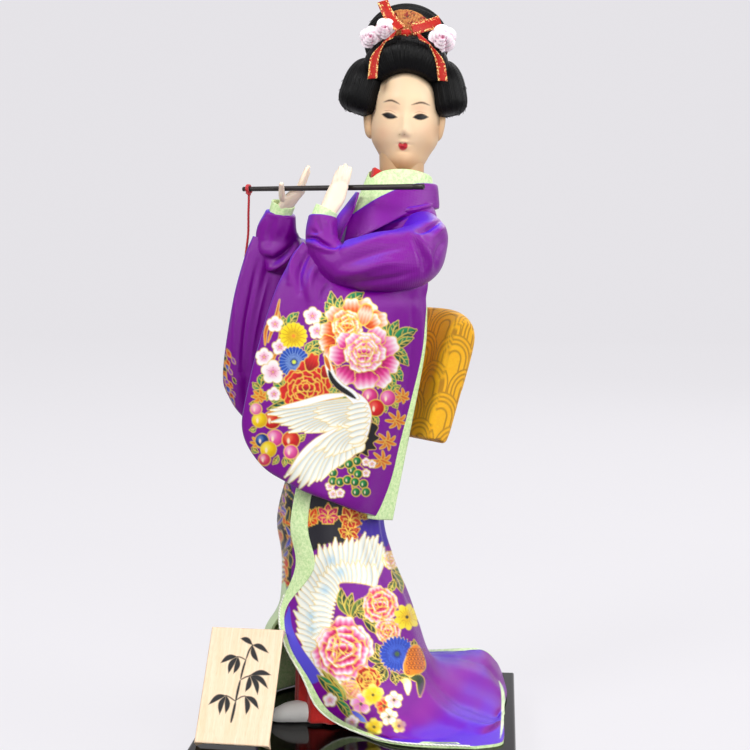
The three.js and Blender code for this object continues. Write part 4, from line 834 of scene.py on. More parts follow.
# folds fan out over the train, and a few soft ones hang from the waist
low = np.clip((down - 0.62) / 0.2, 0, 1) * np.clip((1 - down) / 0.06, 0, 1)
train_folds = low * (
    2.2 * hump(across, 0.66 - 0.1 * down, 0.035)
    - 1.8 * hump(across, 0.74 - 0.06 * down, 0.03)
    + 1.3 * hump(across, 0.82, 0.03)
    - 1.0 * hump(across, 0.9, 0.025)
)
soft_folds = np.clip(down / 0.1, 0, 1) * np.clip((0.7 - down) / 0.2, 0, 1) * (
    0.7 * hump(across, 0.34 + 0.2 * down, 0.05) - 0.8 * hump(across, 0.52, 0.05)
    + 0.6 * np.sin(across * 40) * (across > 0.55)
)
left_skirt = left_skirt + lift(left_skirt, skirt_heart) * (train_folds + soft_folds)[..., None]
left_side = canvas(left_skirt, lift(left_skirt, skirt_heart), 0.05)

white_plumes = ("#C9D6DC", "#F8F8EC", "#FFFFF6", "#FFF5CC")

# the print of the left panel, from the waist down, placed by pixels of the photograph
patch(left_side, [(303, 486), (345, 494), (372, 506), (352, 540), (330, 543), (312, 552), (302, 560), (300, 520)],
      "#17151F", 0)
patch(left_side, [(348, 500), (383, 512), (388, 545), (372, 540), (352, 525)], "#3A1A9A", 0)
for spot_at, reach, codes, turn in [
    ((348, 534), 13, ("#6A0A10", "#B81A18", "#D03018"), -0.4),
    ((350, 521), 15, ("#A01018", "#C8281C", "#E8481C"), -0.3),
    ((311, 520), 13, ("#A01214", "#D8341C", "#E8501E"), 0.35),
    ((328, 518), 14, ("#B81050", "#D81C6C", "#E0305C"), 0.0),
    ((366, 515), 9, ("#7A0A20", "#B01C28"), 0.4),
]:
    maple(left_side, spot_at, reach, codes, turn)
feathers(left_side, [(372, 586), (352, 584), (340, 585), (331, 596), (328, 612), (326, 632), (322, 648), (330, 668),
                     (342, 684)],
         [(384, 548), (372, 536), (348, 540), (324, 545), (305, 566), (297, 596), (297, 630), (308, 656), (322, 674)],
         36, 9.5, white_plumes)
feathers(left_side, [(374, 590), (352, 588), (342, 590), (336, 600), (333, 616), (331, 634)],
         [(374, 565), (352, 562), (330, 566), (315, 585), (311, 612), (312, 638)],
         22, 8, white_plumes)
for blue_at in [(331, 560), (325, 590), (311, 616), (312, 629), (340, 572)]:
    ids, u, v = near(left_side, blue_at, 9)
    glaze(left_side, ids, np.clip(1 - np.hypot(u, v) / 7, 0, 1) * 0.55, colour("#7CC6EC"))
patch(left_side, [(339, 585), (352, 583), (372, 587), (370, 597), (356, 606), (344, 602)], "#7C1C98")
for foot, tip, width in [
    ((348, 615), (341, 589), 10), ((350, 616), (352, 594), 8), ((352, 618), (368, 598), 10),
    ((356, 612), (366, 618), 8),
    ((364, 620), (380, 634), 11), ((366, 618), (372, 612), 7),
    ((392, 566), (399, 580), 8), ((392, 572), (402, 592), 8), ((394, 580), (388, 592), 7),
]:
    leaf(left_side, foot, tip, width, ("#0E2B22", "#2B4A30", "#6B8A3A"))
peony(left_side, (391, 560), 8, ("#E0487C", "#FBD8DC", "#FFF8F0"), 0.4, rings=((1, 6), (0.55, 4)))
peony(left_side, (380, 605), 17, ("#B00A30", "#D42050", "#E8507C", "#FBDCE4"), 0.2, rings=((1, 7), (0.7, 5), (0.4, 4)))
peony(left_side, (388, 631), 12, ("#B00A2C", "#D82850", "#EE7C94", "#FDE8EC"), 0.9,
      rings=((1, 7), (0.66, 5), (0.35, 4)))
chrysanthemum(left_side, (407, 617), 13, ("#F0B40C", "#F7DA18", "#F9E440"), "#D8A40C", "#30281C", 9, 0.24)
for foot, tip, width in [
    ((384, 662), (366, 650), 9), ((384, 664), (372, 670), 9), ((386, 668), (378, 682), 9), ((392, 672), (396, 684), 9),
    ((388, 658), (376, 644), 8), ((398, 676), (410, 682), 8), ((414, 640), (412, 650), 6),
]:
    leaf(left_side, foot, tip, width, ("#0C1418", "#1C2A20", "#4A6A34"))
peony(left_side, (343, 650), 29, ("#A00630", "#C40C44", "#DC2C74", "#F088B8", "#FDF0F6"), 0.1, 1.05,
      rings=((1, 8), (0.78, 6), (0.54, 5), (0.3, 3)))
for foot, tip in [((335, 646), (329, 640)), ((335, 646), (327, 650)), ((336, 645), (334, 637)),
                  ((336, 647), (330, 658)),
                  ((338, 646), (342, 640)), ((337, 649), (336, 660)), ((338, 648), (346, 656))]:
    vein(left_side, [foot, tip], 1.2, ("#E9C552", "#F4E080"))
chrysanthemum(left_side, (397, 654), 18, ("#122274", "#1A36A4", "#204AC0"), "#3A60D0", "#3A5A30", 26, 0.16)
patch(left_side, [(409, 650), (417, 645), (423, 655), (425, 668), (416, 675), (406, 674), (404, 664)], "#F08A14")
for i in range(26):
    ids, u, v = near(left_side, (409 + 3.4 * (i % 5) - 1.6 * (i // 5 % 2) + 0.5, 650 + 4.4 * (i // 5)), 3)
    lay(left_side, ids, np.abs(np.hypot(u, v) - 1.5) - 0.35, colour("#8A1C10"))
peony(left_side, (368, 680), 12, ("#6A060E", "#A40C14", "#CC201C"), 0.5, rings=((1, 7), (0.6, 5), (0.3, 3)))
peony(left_side, (350, 690), 9, ("#C83858", "#F08A80", "#FBD0C0"), 0.5, rings=((1, 5), (0.5, 3)))
for foot, tip, width in [((322, 670), (332, 690), 4), ((328, 674), (340, 694), 4.5), ((334, 682), (346, 700), 5)]:
    leaf(left_side, foot, tip, width, ("#1C241C", "#5C7034", "#C8D080"))
for middle, reach, codes in [
    ((361, 704), 10, ("#E86CC0", "#F49CD4", "#FCE8F0")),
    ((373, 695), 10, ("#F4C810", "#F8DC28", "#FCEC80")),
    ((384, 706), 8, ("#C81E20", "#E8442C", "#F4A080")),
    ((394, 700), 8, ("#F4A8C0", "#FCE4E8", "#FFFFFF")),
    ((389, 717), 8, ("#F8D0C8", "#FCF0E8", "#FFFFFF")),
    ((374, 727), 8, ("#F0C010", "#F8DC28", "#FCEC80")),
    ((399, 726), 6, ("#F4C020", "#F8E040", "#FFF6C0")),
]:
    for i in range(5):
        petal(left_side, middle, 0.4 + 1.257 * i, reach, reach * 0.9, codes, 0.05)
    ids, u, v = near(left_side, middle, 4)
    lay(left_side, ids, np.hypot(u, v) - 1.5, colour("#40481C"))
for line, width, codes in [
    ([(402, 680), (407, 683), (408, 694)], 7, ("#F6E070", "#FBF4D8", "#FFFFFF")),
    ([(411, 678), (420, 680), (420, 696)], 8, ("#4C5A20", "#1A2C18", "#2E5A2C")),
    ([(352, 711), (359, 717), (366, 722)], 6, ("#5A50D8", "#7C98E8")),
]:
    stroke(left_side, line, width, codes)
patch(left_side, [(289, 606), (292, 626), (300, 645), (312, 662), (321, 677), (312, 684), (300, 676), (289, 656),
                  (281, 628)], "#5A50D8", 0)
for foot, tip, width in [((318, 676), (334, 696), 9), ((326, 684), (343, 705), 9), ((336, 700), (350, 718), 8)]:
    leaf(left_side, foot, tip, width)
plum(left_side, (330, 700), 7)
plum(left_side, (352, 722), 7)
stroke(left_side, [(499, 681), (502.6, 691), (503.4, 706), (502.6, 722), (500.4, 738)], 3.8, ("#DDF4C4", "#EAFAD4"), 0)
# soft magenta glazes over the train are painted sheen, where the satin's colour turns from blue to magenta
for painted_sheen_at, reach in [((452, 676), 20), ((472, 664), 15), ((434, 694), 18), ((488, 657), 10), ((422, 712), 14),
                          ((404, 724), 10)]:
    ids, u, v = near(left_side, painted_sheen_at, reach + 2)
    glaze(left_side, ids, np.clip(1 - np.hypot(u, v) / reach, 0, 1) ** 0.7 * 0.75, colour("#8A1498"))

left_panel = cloth("skirt_left", left_skirt, satin_thickness, skirt_heart, [satin, lining], side=left_side)
stands_for(left_panel, "doll", "skirt_left_panel")

# The right panel closes the back and opens at the viewer's left; the same satin, printed along its front edge.
# Under it hang the green lining and the red under-robe, and a green band edges the left panel down to the hem.
right_rows = np.array([ring_row(r, 180, 352 + r[5], 2.8) for r in skirt_rings] + back_rows) + up_deck
right_skirt = grid(right_rows, 228, 240, guide=5)
down, across = shares(right_skirt)
hang = np.clip(down / 0.12, 0, 1) * np.clip((1 - down) / 0.05, 0, 1)
back_folds = hang * (
    0.9 * np.sin(across * 34 + 2 * down) * hump(across, 0.4, 0.3) * (0.4 + down)
    + 1.0 * hump(across, 0.16, 0.03) - 0.9 * hump(across, 0.24, 0.03)
)
right_skirt = right_skirt + lift(right_skirt, skirt_heart) * back_folds[..., None]
right_side = canvas(right_skirt, lift(right_skirt, skirt_heart))
patch(right_side, [(271, 486), (291, 486), (292, 560), (286, 612), (268, 640), (272, 570)], "#1B1622", 0)
draw = np.random.default_rng(7)
edge_inks = [("#B01A1C", "#E0482A"), ("#2A2A9A", "#5A6AD8"), ("#7A2AA0", "#A050C0"), ("#C8281E", "#F0803C"),
             ("#14222A", "#2C4A50")]
for i in range(60):
    x, y = draw.uniform(271, 290), 486 + 2.2 * i
    tilt = draw.uniform(-1.2, 1.2)
    reach = draw.uniform(4, 9)
    stroke(right_side, [(x - reach * math.sin(tilt), y - reach * math.cos(tilt)), (x + 1, y),
                        (x + reach * math.sin(tilt), y + reach * math.cos(tilt))], draw.uniform(2, 4.5),
                        edge_inks[i % 5], 0.6)
feathers(right_side, [(284, 560), (284, 572), (282, 584)], [(270, 556), (268, 572), (266, 586)], 6, 7, white_plumes)
patch(right_side, [(285, 582), (276, 596), (268, 612), (256, 632), (262, 650), (284, 646), (292, 612)], "#D9F0BC", 0)
right_panel = cloth("skirt_right", right_skirt, satin_thickness, skirt_heart, [satin, lining], side=right_side)
stands_for(right_panel, "doll", "skirt_right_panel")

lining_thickness = 0.9
inner_rows = []
for r, row in enumerate([np.array(ring_row(skirt_rings[3], 180, 348 + skirt_rings[3][5], 2.8))]
                        + [np.array(b) for b in back_rows]):
    inward = np.array([-12 + 3 * r, 2 * r]) - row[1:, :2]
    moved = row[1:].astype(float)
    moved[:, :2] += 3.4 * inward / np.linalg.norm(inward, axis=1)[:, None]
    inner_rows.append(moved)
inner_lining = grid(np.array(inner_rows) + up_deck, 84, 120)
down, across = shares(inner_lining)
inner_lining = inner_lining + lift(inner_lining, skirt_heart) * (0.35 * np.sin(26 * across) * down)[..., None]
skirt_inside = cloth("skirt_inside_lining", inner_lining, lining_thickness * 0.7, skirt_heart, [lining], coarse=2)
stands_for(skirt_inside, "doll", "skirt_lining")

hem_widths = (2.6, 1.7, 2.2, 4, 4.2, 2.6, 1.6)
band_rows = []
for height, x, y, side, depth, edge in skirt_rings:
    band_rows.append([body_point(x, y, height, side + 0.4, depth + 0.4, a) for a in (edge - 20, edge - 10, edge + 1.5)])
for r, row in enumerate(train_rows):
    edge, after = np.array(row[0], float), np.array(row[1], float)
    outward = unit(edge - after) * hem_widths[r]
    outward[2] = min(0, outward[2] - 0.25 * hem_widths[r] * (r < 5))
    points = [edge + outward * share for share in (1 + 0.5 / hem_widths[r], 0.55, -0.05)]
    band_rows.append([np.array([p[0], p[1], max(p[2], 0.75)]) for p in points])
band_grid = grid(np.array(band_rows) + up_deck, 260, 24)
edge_band = cloth("green_edge_band", band_grid, lining_thickness * 0.8, skirt_heart, [lining], coarse=2)
# the band ends in a narrow white piping, sewn along its outer edge
piping_white, tree, shader = material("cotton_piping", Roughness=0.75, Sheen_Weight=0.2)
where = node(tree, "TexCoord").outputs["Object"]
twist = node(tree, "TexWave", {"Vector": where, "Scale": 420.0, "Distortion": 2.0}, bands_direction="DIAGONAL")
textured(tree, shader, twist, "#D8DCC8", "#FBFBF2", 0.35, 0.0002)
piping = tube("piping", band_grid[110:, 0] + (0, 0, 0.25), 0.42, sides=8, finish=piping_white)
edge_band = join([edge_band, piping], "green_edge_band")
stands_for(edge_band, "doll", "front_band")


def barrel(name, stations, sides, steps, finish, swell, wall=1.2):
    """A cloth wrapped round the body through stations of place, height, side and depth: an outer and an inner wall."""
    line = spline(np.array(stations, float), steps)
    share = np.linspace(0, 1, steps + 1)[:, None]
    turn = np.linspace(0, 2 * np.pi, sides, endpoint=False)[None, :]
    grow = swell(share, turn)
    walls = [
        np.stack([line[:, 0:1] + 0 * turn, line[:, 1:2] + 0 * turn, line[:, 2:3] + deck + 0 * turn], -1)
        + ((line[:, 4:5] + grow - inward) * np.cos(turn))[..., None] * body_front
        + ((line[:, 3:4] + grow - inward) * np.sin(turn))[..., None] * body_left
        for inward in (0, wall)
    ]
    lengths = np.stack(np.broadcast_arrays(turn * float(line[:, 3:5].mean()), line[:, 2:3], 0.0), -1)
    made = ringed(name, np.concatenate([walls[0], walls[1][::-2]]), finish, closed=True)
    return bare(made, np.concatenate([lengths, lengths[::-2]]))


# The under-robe is thin deep-red cotton crepe with small crinkles, a plain tube gathered round the trunk.
# It hangs inside the skirt, and shows where the panels part over the foot.
crepe, tree, shader = material("red_cotton_crepe", Roughness=0.75, Sheen_Weight=0.35)
where = node(tree, "TexCoord").outputs["Object"]
crinkle = node(tree, "TexNoise", {"Vector": where, "Scale": 900.0, "Detail": 5.0, "Roughness": 0.65})
textured(tree, shader, crinkle, "#A80806", "#E21C12", 0.6, 0.0003)
robe_stations = [(-9, 0, 96, 15.5, 15.5), (-11, -1.5, 70, 16, 16), (-12, -5, 40, 14.5, 14.5),
                 (-12.5, -6.5, 20, 13.5, 14.5),
                 (-12, -7, 1.2, 14.5, 15.5)]
under_robe = barrel("red_under_robe", robe_stations, 96, 70, crepe,
                    lambda share, turn: 0.7 * np.sin(11 * turn + 3 * share) * (0.2 + share))
stands_for(under_robe, "doll", "under_robe")

# The arms are wires wrapped in wadding, bent to shape inside the sleeves.
# They come out of the trunk at the shoulders, and their ends are pushed into the hands.
arm_radius = 2.5
for name, cad, path in [
    ("left_padded_arm", "left_arm", [(24, -8, 200), (26, -19, 194), (20, -28.5, 190.4), (9.9, -31.5, 189.2),
                                     (1, -32.6, 188.6),
                                     (-6.6, -32.6, 190), (-11, -32, 194), (-12.4, -31, 200), (-12.2, -30.4, 204)]),
    ("right_padded_arm", "right_arm", [(3, 15, 200), (-12, 16, 190), (-24, 10, 187.6), (-31, 0, 191),
                                       (-33.6, -4.6, 198),
                                       (-32.8, -6.4, 204)]),
]:
    arm = tube(name, spline(np.array(path, float) + up_deck, 60), arm_radius, sides=24, across=(0.3, 0.2, 1),
               finish=padding)
    stands_for(arm, "doll", cad)

# The long hanging sleeves: satin puffed over each forearm, and a deep printed bag that falls from it.
# Each bag has a front and a back cloth, sewn at the outer edge and the foot, and is lined in pale green.
across_arm = np.array([(0.15, 0.25, 1), (0.15, 0.25, 1), (0.1, 0.2, 1), (0.3, 0.2, 1), (1, 0.1, 0.4), (1, 0, 0.1)])


def puff(name, stations, folds, mouth, steps=170, sides=150):
    """The satin round a forearm: a soft tube with folds, turned in at its mouth."""
    line = spline(np.array(stations, float), steps)
    centre = line[:, :3] + up_deck
    # the end turns back into the sleeve
    inside = np.linspace(0, 1, 13)[1:]
    tip = centre[-1] - centre[-9]
    tip = tip / np.linalg.norm(tip)
    turned = centre[-1] + tip * (0.5 * np.sin(np.pi * np.minimum(inside * 2, 1))
                                 - mouth * np.clip(inside * 2 - 1, 0, 1))[:, None]
    centre = np.concatenate([centre, turned])
    narrow = np.concatenate([np.ones(len(line)), 1 - 0.16 * np.minimum(inside * 2, 1)])
    wide = np.concatenate([line[:, 3], np.full(12, line[-1, 3])]) * narrow
    tall = np.concatenate([line[:, 4], np.full(12, line[-1, 4])]) * narrow

    def section(place, angle):
        degrees = np.degrees(angle)
        t = np.minimum(place * len(centre) / len(line), 1)
        size = 1 + 0 * t * angle
        for at, bearing, length, breadth, slope, height in folds:
            off = (degrees - bearing - slope * (t - at) + 180) % 360 - 180
            size = size + height * np.exp(-((t - at) / length) ** 2 - (off / breadth) ** 2)
        return wide[:, None] * size, tall[:, None] * size

    rounds = len(centre)
    made = tube(name, centre, section, sides=sides, across=spline(across_arm, rounds - 1), finish=satin)
    place = np.linspace(0, 1, rounds)[:, None] * 75 + np.zeros((1, sides))
    turn = np.linspace(0, 60, sides)[None, :] + np.zeros((rounds, 1))
    return bare(made, np.stack([place, turn, 0 * place], -1))


def bag(rows, heart, down, across, depth, folds):
    """The front and back cloths of a sleeve bag, as two grids that close at the outer edge and the foot."""
    flat = grid(np.array(rows, float) + up_deck, down, across)
    out = lift(flat, heart)
    s, t = shares(flat)
    close = np.sqrt((1 - (1 - np.clip(t / 0.09, 0, 1)) ** 2) * (1 - (1 - np.clip((1 - s) / 0.05, 0, 1)) ** 2))
    front_cloth = flat + out * (depth * close + folds(s, t) * close)[..., None]
    back_cloth = flat - out * (depth * close + 0.2 + 0.4 * folds(s, t) * close)[..., None]
    return front_cloth, back_cloth


left_stations = [(24, -9, 200, 10, 9), (26, -20, 194, 11.6, 9.5), (20, -28.5, 190.4, 12, 9),
                 (9.9, -31.5, 189.2, 11.6, 9),
                 (1, -33, 188.4, 10.2, 8.6), (-6.6, -33.4, 188.8, 8.2, 8), (-11.4, -32.6, 194, 6.8, 7),
                 (-12.8, -31.2, 200, 6.2, 6.4),
                 (-12.4, -30, 206, 5.7, 5.8)]
left_bag_rows = [
    [(-19.6, -33.4, 197), (-12, -35, 190), (1, -33, 185), (15, -29, 185), (27.6, -20, 188)],
    [(-29.5, -36.5, 180), (-15, -38, 177.6), (1, -35.4, 175), (15.6, -30.4, 175), (27, -20.6, 176)],
    [(-36.4, -38, 157), (-20, -39.2, 157), (-3, -38.2, 157), (12, -30.5, 157), (24.8, -19, 157)],
    [(-42.6, -37, 134), (-26, -38.6, 135), (-8, -36.2, 135), (8, -29, 135), (20.6, -17.5, 136)],
    [(-43.6, -36, 123), (-30, -37.4, 119), (-12, -35, 117), (5, -28, 117), (16.4, -17, 118)],
    [(-39.6, -35, 114), (-27, -36, 107), (-11, -34, 104), (3, -27, 103), (12.2, -17.4, 101)],
    [(-32.4, -34, 107.4), (-21, -34.4, 100), (-8, -32, 94.6), (0, -26.4, 90.4), (6.8, -18.6, 86.8)],
]
sleeve_heart = (0, 60, 150 + deck)
left_folds = [
    (0.45, 300, 0.3, 26, 0, 0.06),
    (0.3, 300, 0.05, 40, 160, -0.06),
    (0.22, 285, 0.05, 46, 160, 0.06),
    (0.14, 300, 0.04, 40, 200, -0.10),
    (0.06, 320, 0.05, 50, 200, 0.05),
    (0.45, 250, 0.2, 20, 60, 0.05),
    (0.7, 215, 0.15, 18, 40, -0.07),
    (0.5, 110, 0.3, 20, 20, -0.08),
]
left_puff = puff("left_sleeve_puff", left_stations, left_folds, 5)
arm_folds = [
    ([(304, 239), (309, 238), (316, 238.6), (325, 243.5), (335, 248)], 1.7, -2.2),
    ([(303, 243), (311, 243.4), (322, 248.6), (333, 251), (345, 247.5)], 2.6, 1.0),
    ([(311, 230), (314, 232), (318, 232)], 2.4, -0.9),
    ([(326, 219), (330, 226), (331, 236)], 3.2, 0.9),
    ([(317, 219), (319, 226), (322, 233)], 2.2, -0.6),
    ([(338, 254), (352, 248), (372, 240), (395, 234), (412, 234)], 5.0, 1.3),
    ([(340, 266), (360, 258), (385, 250), (408, 246)], 4.0, -1.0),
    ([(336, 276), (356, 272), (382, 264), (404, 262)], 5.0, 1.2),
    ([(415, 232), (424, 244), (430, 258), (431, 270)], 2.2, 1.3),
    ([(410, 236), (418, 248), (424, 262), (424, 274)], 2.8, -1.4),
    ([(447, 217), (437, 223), (426, 230), (416, 232)], 2.2, -2.0),
    ([(446, 226), (438, 232), (431, 240)], 3.0, 1.2),
    ([(447, 240), (440, 246), (436, 258), (436, 270)], 2.6, -1.2),
    ([(350, 284), (370, 282), (395, 278), (415, 272)], 3.5, -0.9),
]
crease(left_puff, arm_folds)


def bag_folds(s, t):
    return (
        0.9 * hump(t, 0.9 - 0.05 * s, 0.05) * hump(s, 0.05, 0.22)
        - 0.8 * hump(s, 0.02 + 0.1 * t, 0.03)
        + 0.35 * np.sin(9 * t + 3 * s) * (0.3 + s)
        + 0.25 * np.sin(17 * t - 5 * s)
    )


front_cloth, back_cloth = bag(left_bag_rows, sleeve_heart, 336, 208, 1.5, bag_folds)
front_cloth = press(front_cloth, lift(front_cloth, sleeve_heart), [
    ([(302, 241), (296, 252), (291, 266), (290, 282)], 3.2, 1.4),
    ([(310, 250), (303, 262), (299, 276), (300, 292)], 3.4, -1.6),
    ([(322, 262), (313, 272), (309, 288), (311, 304)], 4.0, 1.2),
    ([(331, 283), (324, 292), (321, 304)], 3.0, -1.0),
    ([(326, 268), (340, 279), (362, 286), (390, 287), (424, 280)], 4.2, -2.4),
    ([(419, 296), (421, 340), (415, 400), (404, 460)], 3.5, 0.9),
    ([(412, 300), (413, 340), (406, 400), (396, 460)], 3.0, -0.7),
    ([(268, 300), (258, 340), (250, 390)], 4.5, 0.8),
])
sleeve_side = canvas(front_cloth, lift(front_cloth, sleeve_heart))

# the near sleeve's print, placed by pixels of the photograph: foliage first, then flowers, then the crane
for line in [[(279.5, 300), (276, 316), (272, 330), (268, 342)], [(279, 312), (281, 330), (277, 350), (270, 366)],
             [(272, 318), (266, 330), (265, 345)]]:
    stroke(sleeve_side, line, 2.4, ("#B03A18", "#E07A2C"), 0.7)
for foot, tip, width in [
    ((339, 315), (331, 292), 10), ((341, 314), (341, 297), 8), ((345, 311), (363, 293), 13),
    ((338, 316), (326, 303), 10),
    ((333, 319), (318, 314), 8), ((333, 321), (316, 325), 9),
    ((391, 340), (386, 319), 9), ((392, 340), (398, 321), 9), ((393, 343), (416, 330), 13), ((394, 350), (413, 338), 8),
    ((393, 352), (408, 365), 10), ((391, 351), (406, 354), 8),
    ((390, 370), (402, 380), 11), ((390, 368), (400, 368), 8), ((388, 374), (384, 393), 10),
    ((386, 372), (394, 388), 8),
    ((308, 353), (321, 341), 9), ((309, 354), (322, 352), 7), ((308, 355), (318, 362), 8), ((306, 352), (312, 343), 6),
    ((286, 328), (283, 317), 8), ((288, 327), (298, 313), 9),
    ((289, 390), (274, 379), 11), ((290, 388), (287, 375), 8), ((290, 398), (269, 398), 10),
    ((292, 400), (268, 409), 9),
    ((294, 402), (278, 414), 10), ((298, 406), (288, 414), 8), ((300, 408), (298, 416), 7),
    ((320, 396), (333, 381), 9), ((320, 394), (325, 368), 8), ((321, 397), (340, 390), 8), ((326, 399), (348, 400), 10),
    ((330, 398), (342, 397), 7), ((336, 399), (338, 386), 7),
    ((260, 388), (253, 383), 6), ((261, 386), (264, 374), 8), ((262, 390), (254, 397), 8), ((263, 392), (267, 400), 7),
    ((258, 402), (250, 404), 5), ((256, 428), (250, 430), 5), ((258, 452), (252, 448), 5),
    ((299, 442), (305, 435), 6), ((286, 458), (294, 464), 6), ((284, 458), (284, 466), 5), ((278, 456), (273, 464), 5),
    ((372, 388), (359, 386), 7), ((378, 388), (383, 378), 6), ((382, 404), (386, 412), 6), ((392, 402), (397, 408), 6),
    ((392, 392), (400, 386), 6), ((372, 416), (378, 424), 6),
]:
    leaf(sleeve_side, foot, tip, width)
for middle, reach in [((401, 396), 8), ((396, 420), 10), ((386, 441), 10), ((381, 460), 10), ((259, 396), 7),
                      ((257, 442), 6)]:
    for k in range(7):
        way = 0.5 + 0.9 * k
        end = (middle[0] + reach * math.cos(way), middle[1] - reach * math.sin(way) * 0.9)
        bendy = ((middle[0] + end[0]) / 2 + 1.5, (middle[1] + end[1]) / 2 + 1)
        stroke(sleeve_side, [middle, bendy, end], 2.6, ("#C8501C", "#E8902C"), 0.6, round_end=0.3)
for middle, reach in [
    ((275, 324), 8), ((312.5, 316), 9), ((317, 331), 8), ((280, 347), 8), ((264, 357), 9), ((273, 372), 12),
    ((274, 394), 7),
    ((330, 486), 4.5), ((333, 494), 4.5), ((340, 493), 4.5), ((366, 462), 4), ((372, 464), 4), ((366, 473), 4),
]:
    plum(sleeve_side, middle, reach)
chrysanthemum(sleeve_side, (293.5, 336), 13.5, ("#E8A808", "#F6D410", "#FAE42C"), "#D09A10", "#F09030", 16, 0.1)
chrysanthemum(sleeve_side, (294, 362), 15.5, ("#142470", "#1C46A8", "#2250BC"), "#7C9CD8", "#D8E850", 24, 0.08)
peony(sleeve_side, (306, 389), 24, ("#8E0A14", "#C8161E", "#DC2A24"), 0.3, 1.05)
for foot, way, reach, width in [((308, 372), 1.2, 18, 13), ((322, 378), 0.9, 16, 12), ((320, 408), 0.25, 20, 13),
                                ((302, 404), 4.4, 14, 14)]:
    petal(sleeve_side, foot, way, reach, width, ("#8E0A14", "#D0201E", "#E03A28"), 0.12)
warm = ("#C8281C", "#E8641E", "#F6B48C", "#FDF0E4")
for foot, way, reach, width in [
    ((352, 322), 0.75, 27, 24), ((366, 322), 0.15, 20, 18), ((352, 320), 1.6, 20, 18), ((344, 324), 2.4, 20, 18),
    ((338, 332), 3.0, 17, 17), ((336, 340), 3.5, 16, 16), ((338, 346), 4.0, 16, 16), ((364, 326), 0.5, 16, 16),
]:
    petal(sleeve_side, foot, way, reach, width, warm, 0.1)
peony(sleeve_side, (347, 326), 15, warm, 0.5, rings=((1, 7), (0.7, 6), (0.4, 4)))
petal(sleeve_side, (362, 326), 1.3, 21, 14, ("#F0843C", "#FBE0C8", "#E87830"), 0.03)
pink = ("#B01058", "#E23C92", "#F6A4C8", "#FDF2F4")
for foot, way, reach, width in [
    ((372, 352), 0.35, 26, 22), ((370, 346), 0.95, 20, 18), ((380, 362), -0.3, 18, 18), ((372, 368), -0.8, 22, 20),
    ((364, 368), -1.5, 20, 26), ((352, 366), -2.2, 20, 20), ((350, 356), 3.0, 20, 20), ((352, 346), 2.5, 16, 16),
]:
    petal(sleeve_side, foot, way, reach, width, pink, 0.08)
peony(sleeve_side, (364, 352), 20, pink, 0.9, 0.95, rings=((1, 8), (0.74, 7), (0.48, 5), (0.26, 4)))
for middle, reach, codes in [
    ((370, 396), 7.5, ("#F9B4D4", "#E0408C", "#B81C66")), ((388, 398), 7.5, ("#F9B4D4", "#E85AA4", "#C02C78")),
    ((376, 408), 8, ("#F06A5C", "#D81C24", "#B01018")), ((272, 420), 8.5, ("#F07A50", "#D41C1C", "#A80E14")),
    ((259.5, 420), 7, ("#FCEC70", "#F4D010", "#D8A80C")), ((256, 409), 5.5, ("#FCD8E0", "#F090B8", "#D05A90")),
    ((275, 438), 8, ("#FAC4DC", "#E85AA4", "#C83080")), ((291, 440), 8.5, ("#F07A50", "#D41C1C", "#A80E14")),
    ((262, 440.5), 6.5, ("#6A90D0", "#1C3C84", "#12265A")), ((268.5, 449.5), 7.5, ("#FCEC70", "#F4D010", "#D8A80C")),
    ((291, 452), 6.8, ("#FAC4DC", "#E85AA4", "#C83080")), ((264.5, 459.5), 5.8, ("#FAC4DC", "#E04C6C", "#C02848")),
]:
    berry(sleeve_side, middle, reach, codes)
for line in [[(336, 462), (350, 458), (366, 470)], [(356, 458), (352, 474), (336, 480)],
             [(364, 470), (352, 486), (360, 494)]]:
    stroke(sleeve_side, line, 1.6, ("#D8A030", "#E8C04C"), 0, gilt=0.8)
for x, y in [(346, 455), (341, 464), (357, 461), (333, 473), (352, 470), (358, 474), (333, 481), (340, 482),
             (347.5, 480),
             (355, 482), (363.5, 484), (356, 492), (366, 492), (337, 459), (349, 464)]:
    berry(sleeve_side, (x, y), 4, ("#3AA858", "#14743C", "#0C4A2A"))
patch(sleeve_side, [(370, 423), (378, 427), (375, 434), (379, 438), (373, 443), (376, 449), (368, 450), (368, 456),
                    (361, 453),
                    (358, 457), (354, 452), (357, 446), (366, 438)], "#0E0C10", 0.5)
feathers(sleeve_side, [(346, 428), (364, 442)], [(285, 477), (296, 486), (311, 485), (328, 474), (346, 460),
                                                 (357, 452)], 12, 10,
         white_plumes, -0.05)
feathers(sleeve_side, [(352, 424), (367, 438)], [(312, 447), (330, 456), (352, 447)], 8, 8, white_plumes, -0.04)
feathers(sleeve_side, [(352, 399), (350, 408), (348, 420)],
         [(271, 410), (275, 420), (290, 430), (308, 432), (326, 430)], 12, 9,
         white_plumes, 0.04)
feathers(sleeve_side, [(362, 402), (361, 411), (358, 420)], [(318, 408), (316, 416), (328, 424), (342, 426)], 9, 8,
         white_plumes, 0.04)
stroke(sleeve_side, [(278, 408), (300, 404), (326, 397), (352, 394)], 6, ("#FFFFFF",), 0.5)
stroke(sleeve_side, [(289, 473), (302, 455), (318, 440), (338, 428)], 5.5, ("#FFFFFF",), 0.5)
patch(sleeve_side, [(344, 394), (356, 393), (366, 400), (371, 412), (370, 426), (366, 438), (359, 442), (355, 430),
                    (356, 414),
                    (352, 402)], "#FCFDFF", 0.5)
feathers(sleeve_side, [(366, 404), (369, 418), (365, 436)], [(348, 408), (346, 424), (350, 442)], 7, 7, white_plumes,
         0.05)
stroke(sleeve_side, [(326, 357), (329, 368), (333, 378), (341, 387), (352, 393), (358, 398)], 7.5, ("#FFFFFF",), 0.4,
       round_end=0.3)
stroke(sleeve_side, [(329, 371), (332, 379), (339, 387), (348, 393), (355, 398)], 5.4, ("#0E0C10",), 0, round_end=0.35)
stroke(sleeve_side, [(325, 356), (327, 362), (330, 370)], 3.6, ("#E8902C", "#C83018"), 0.5)



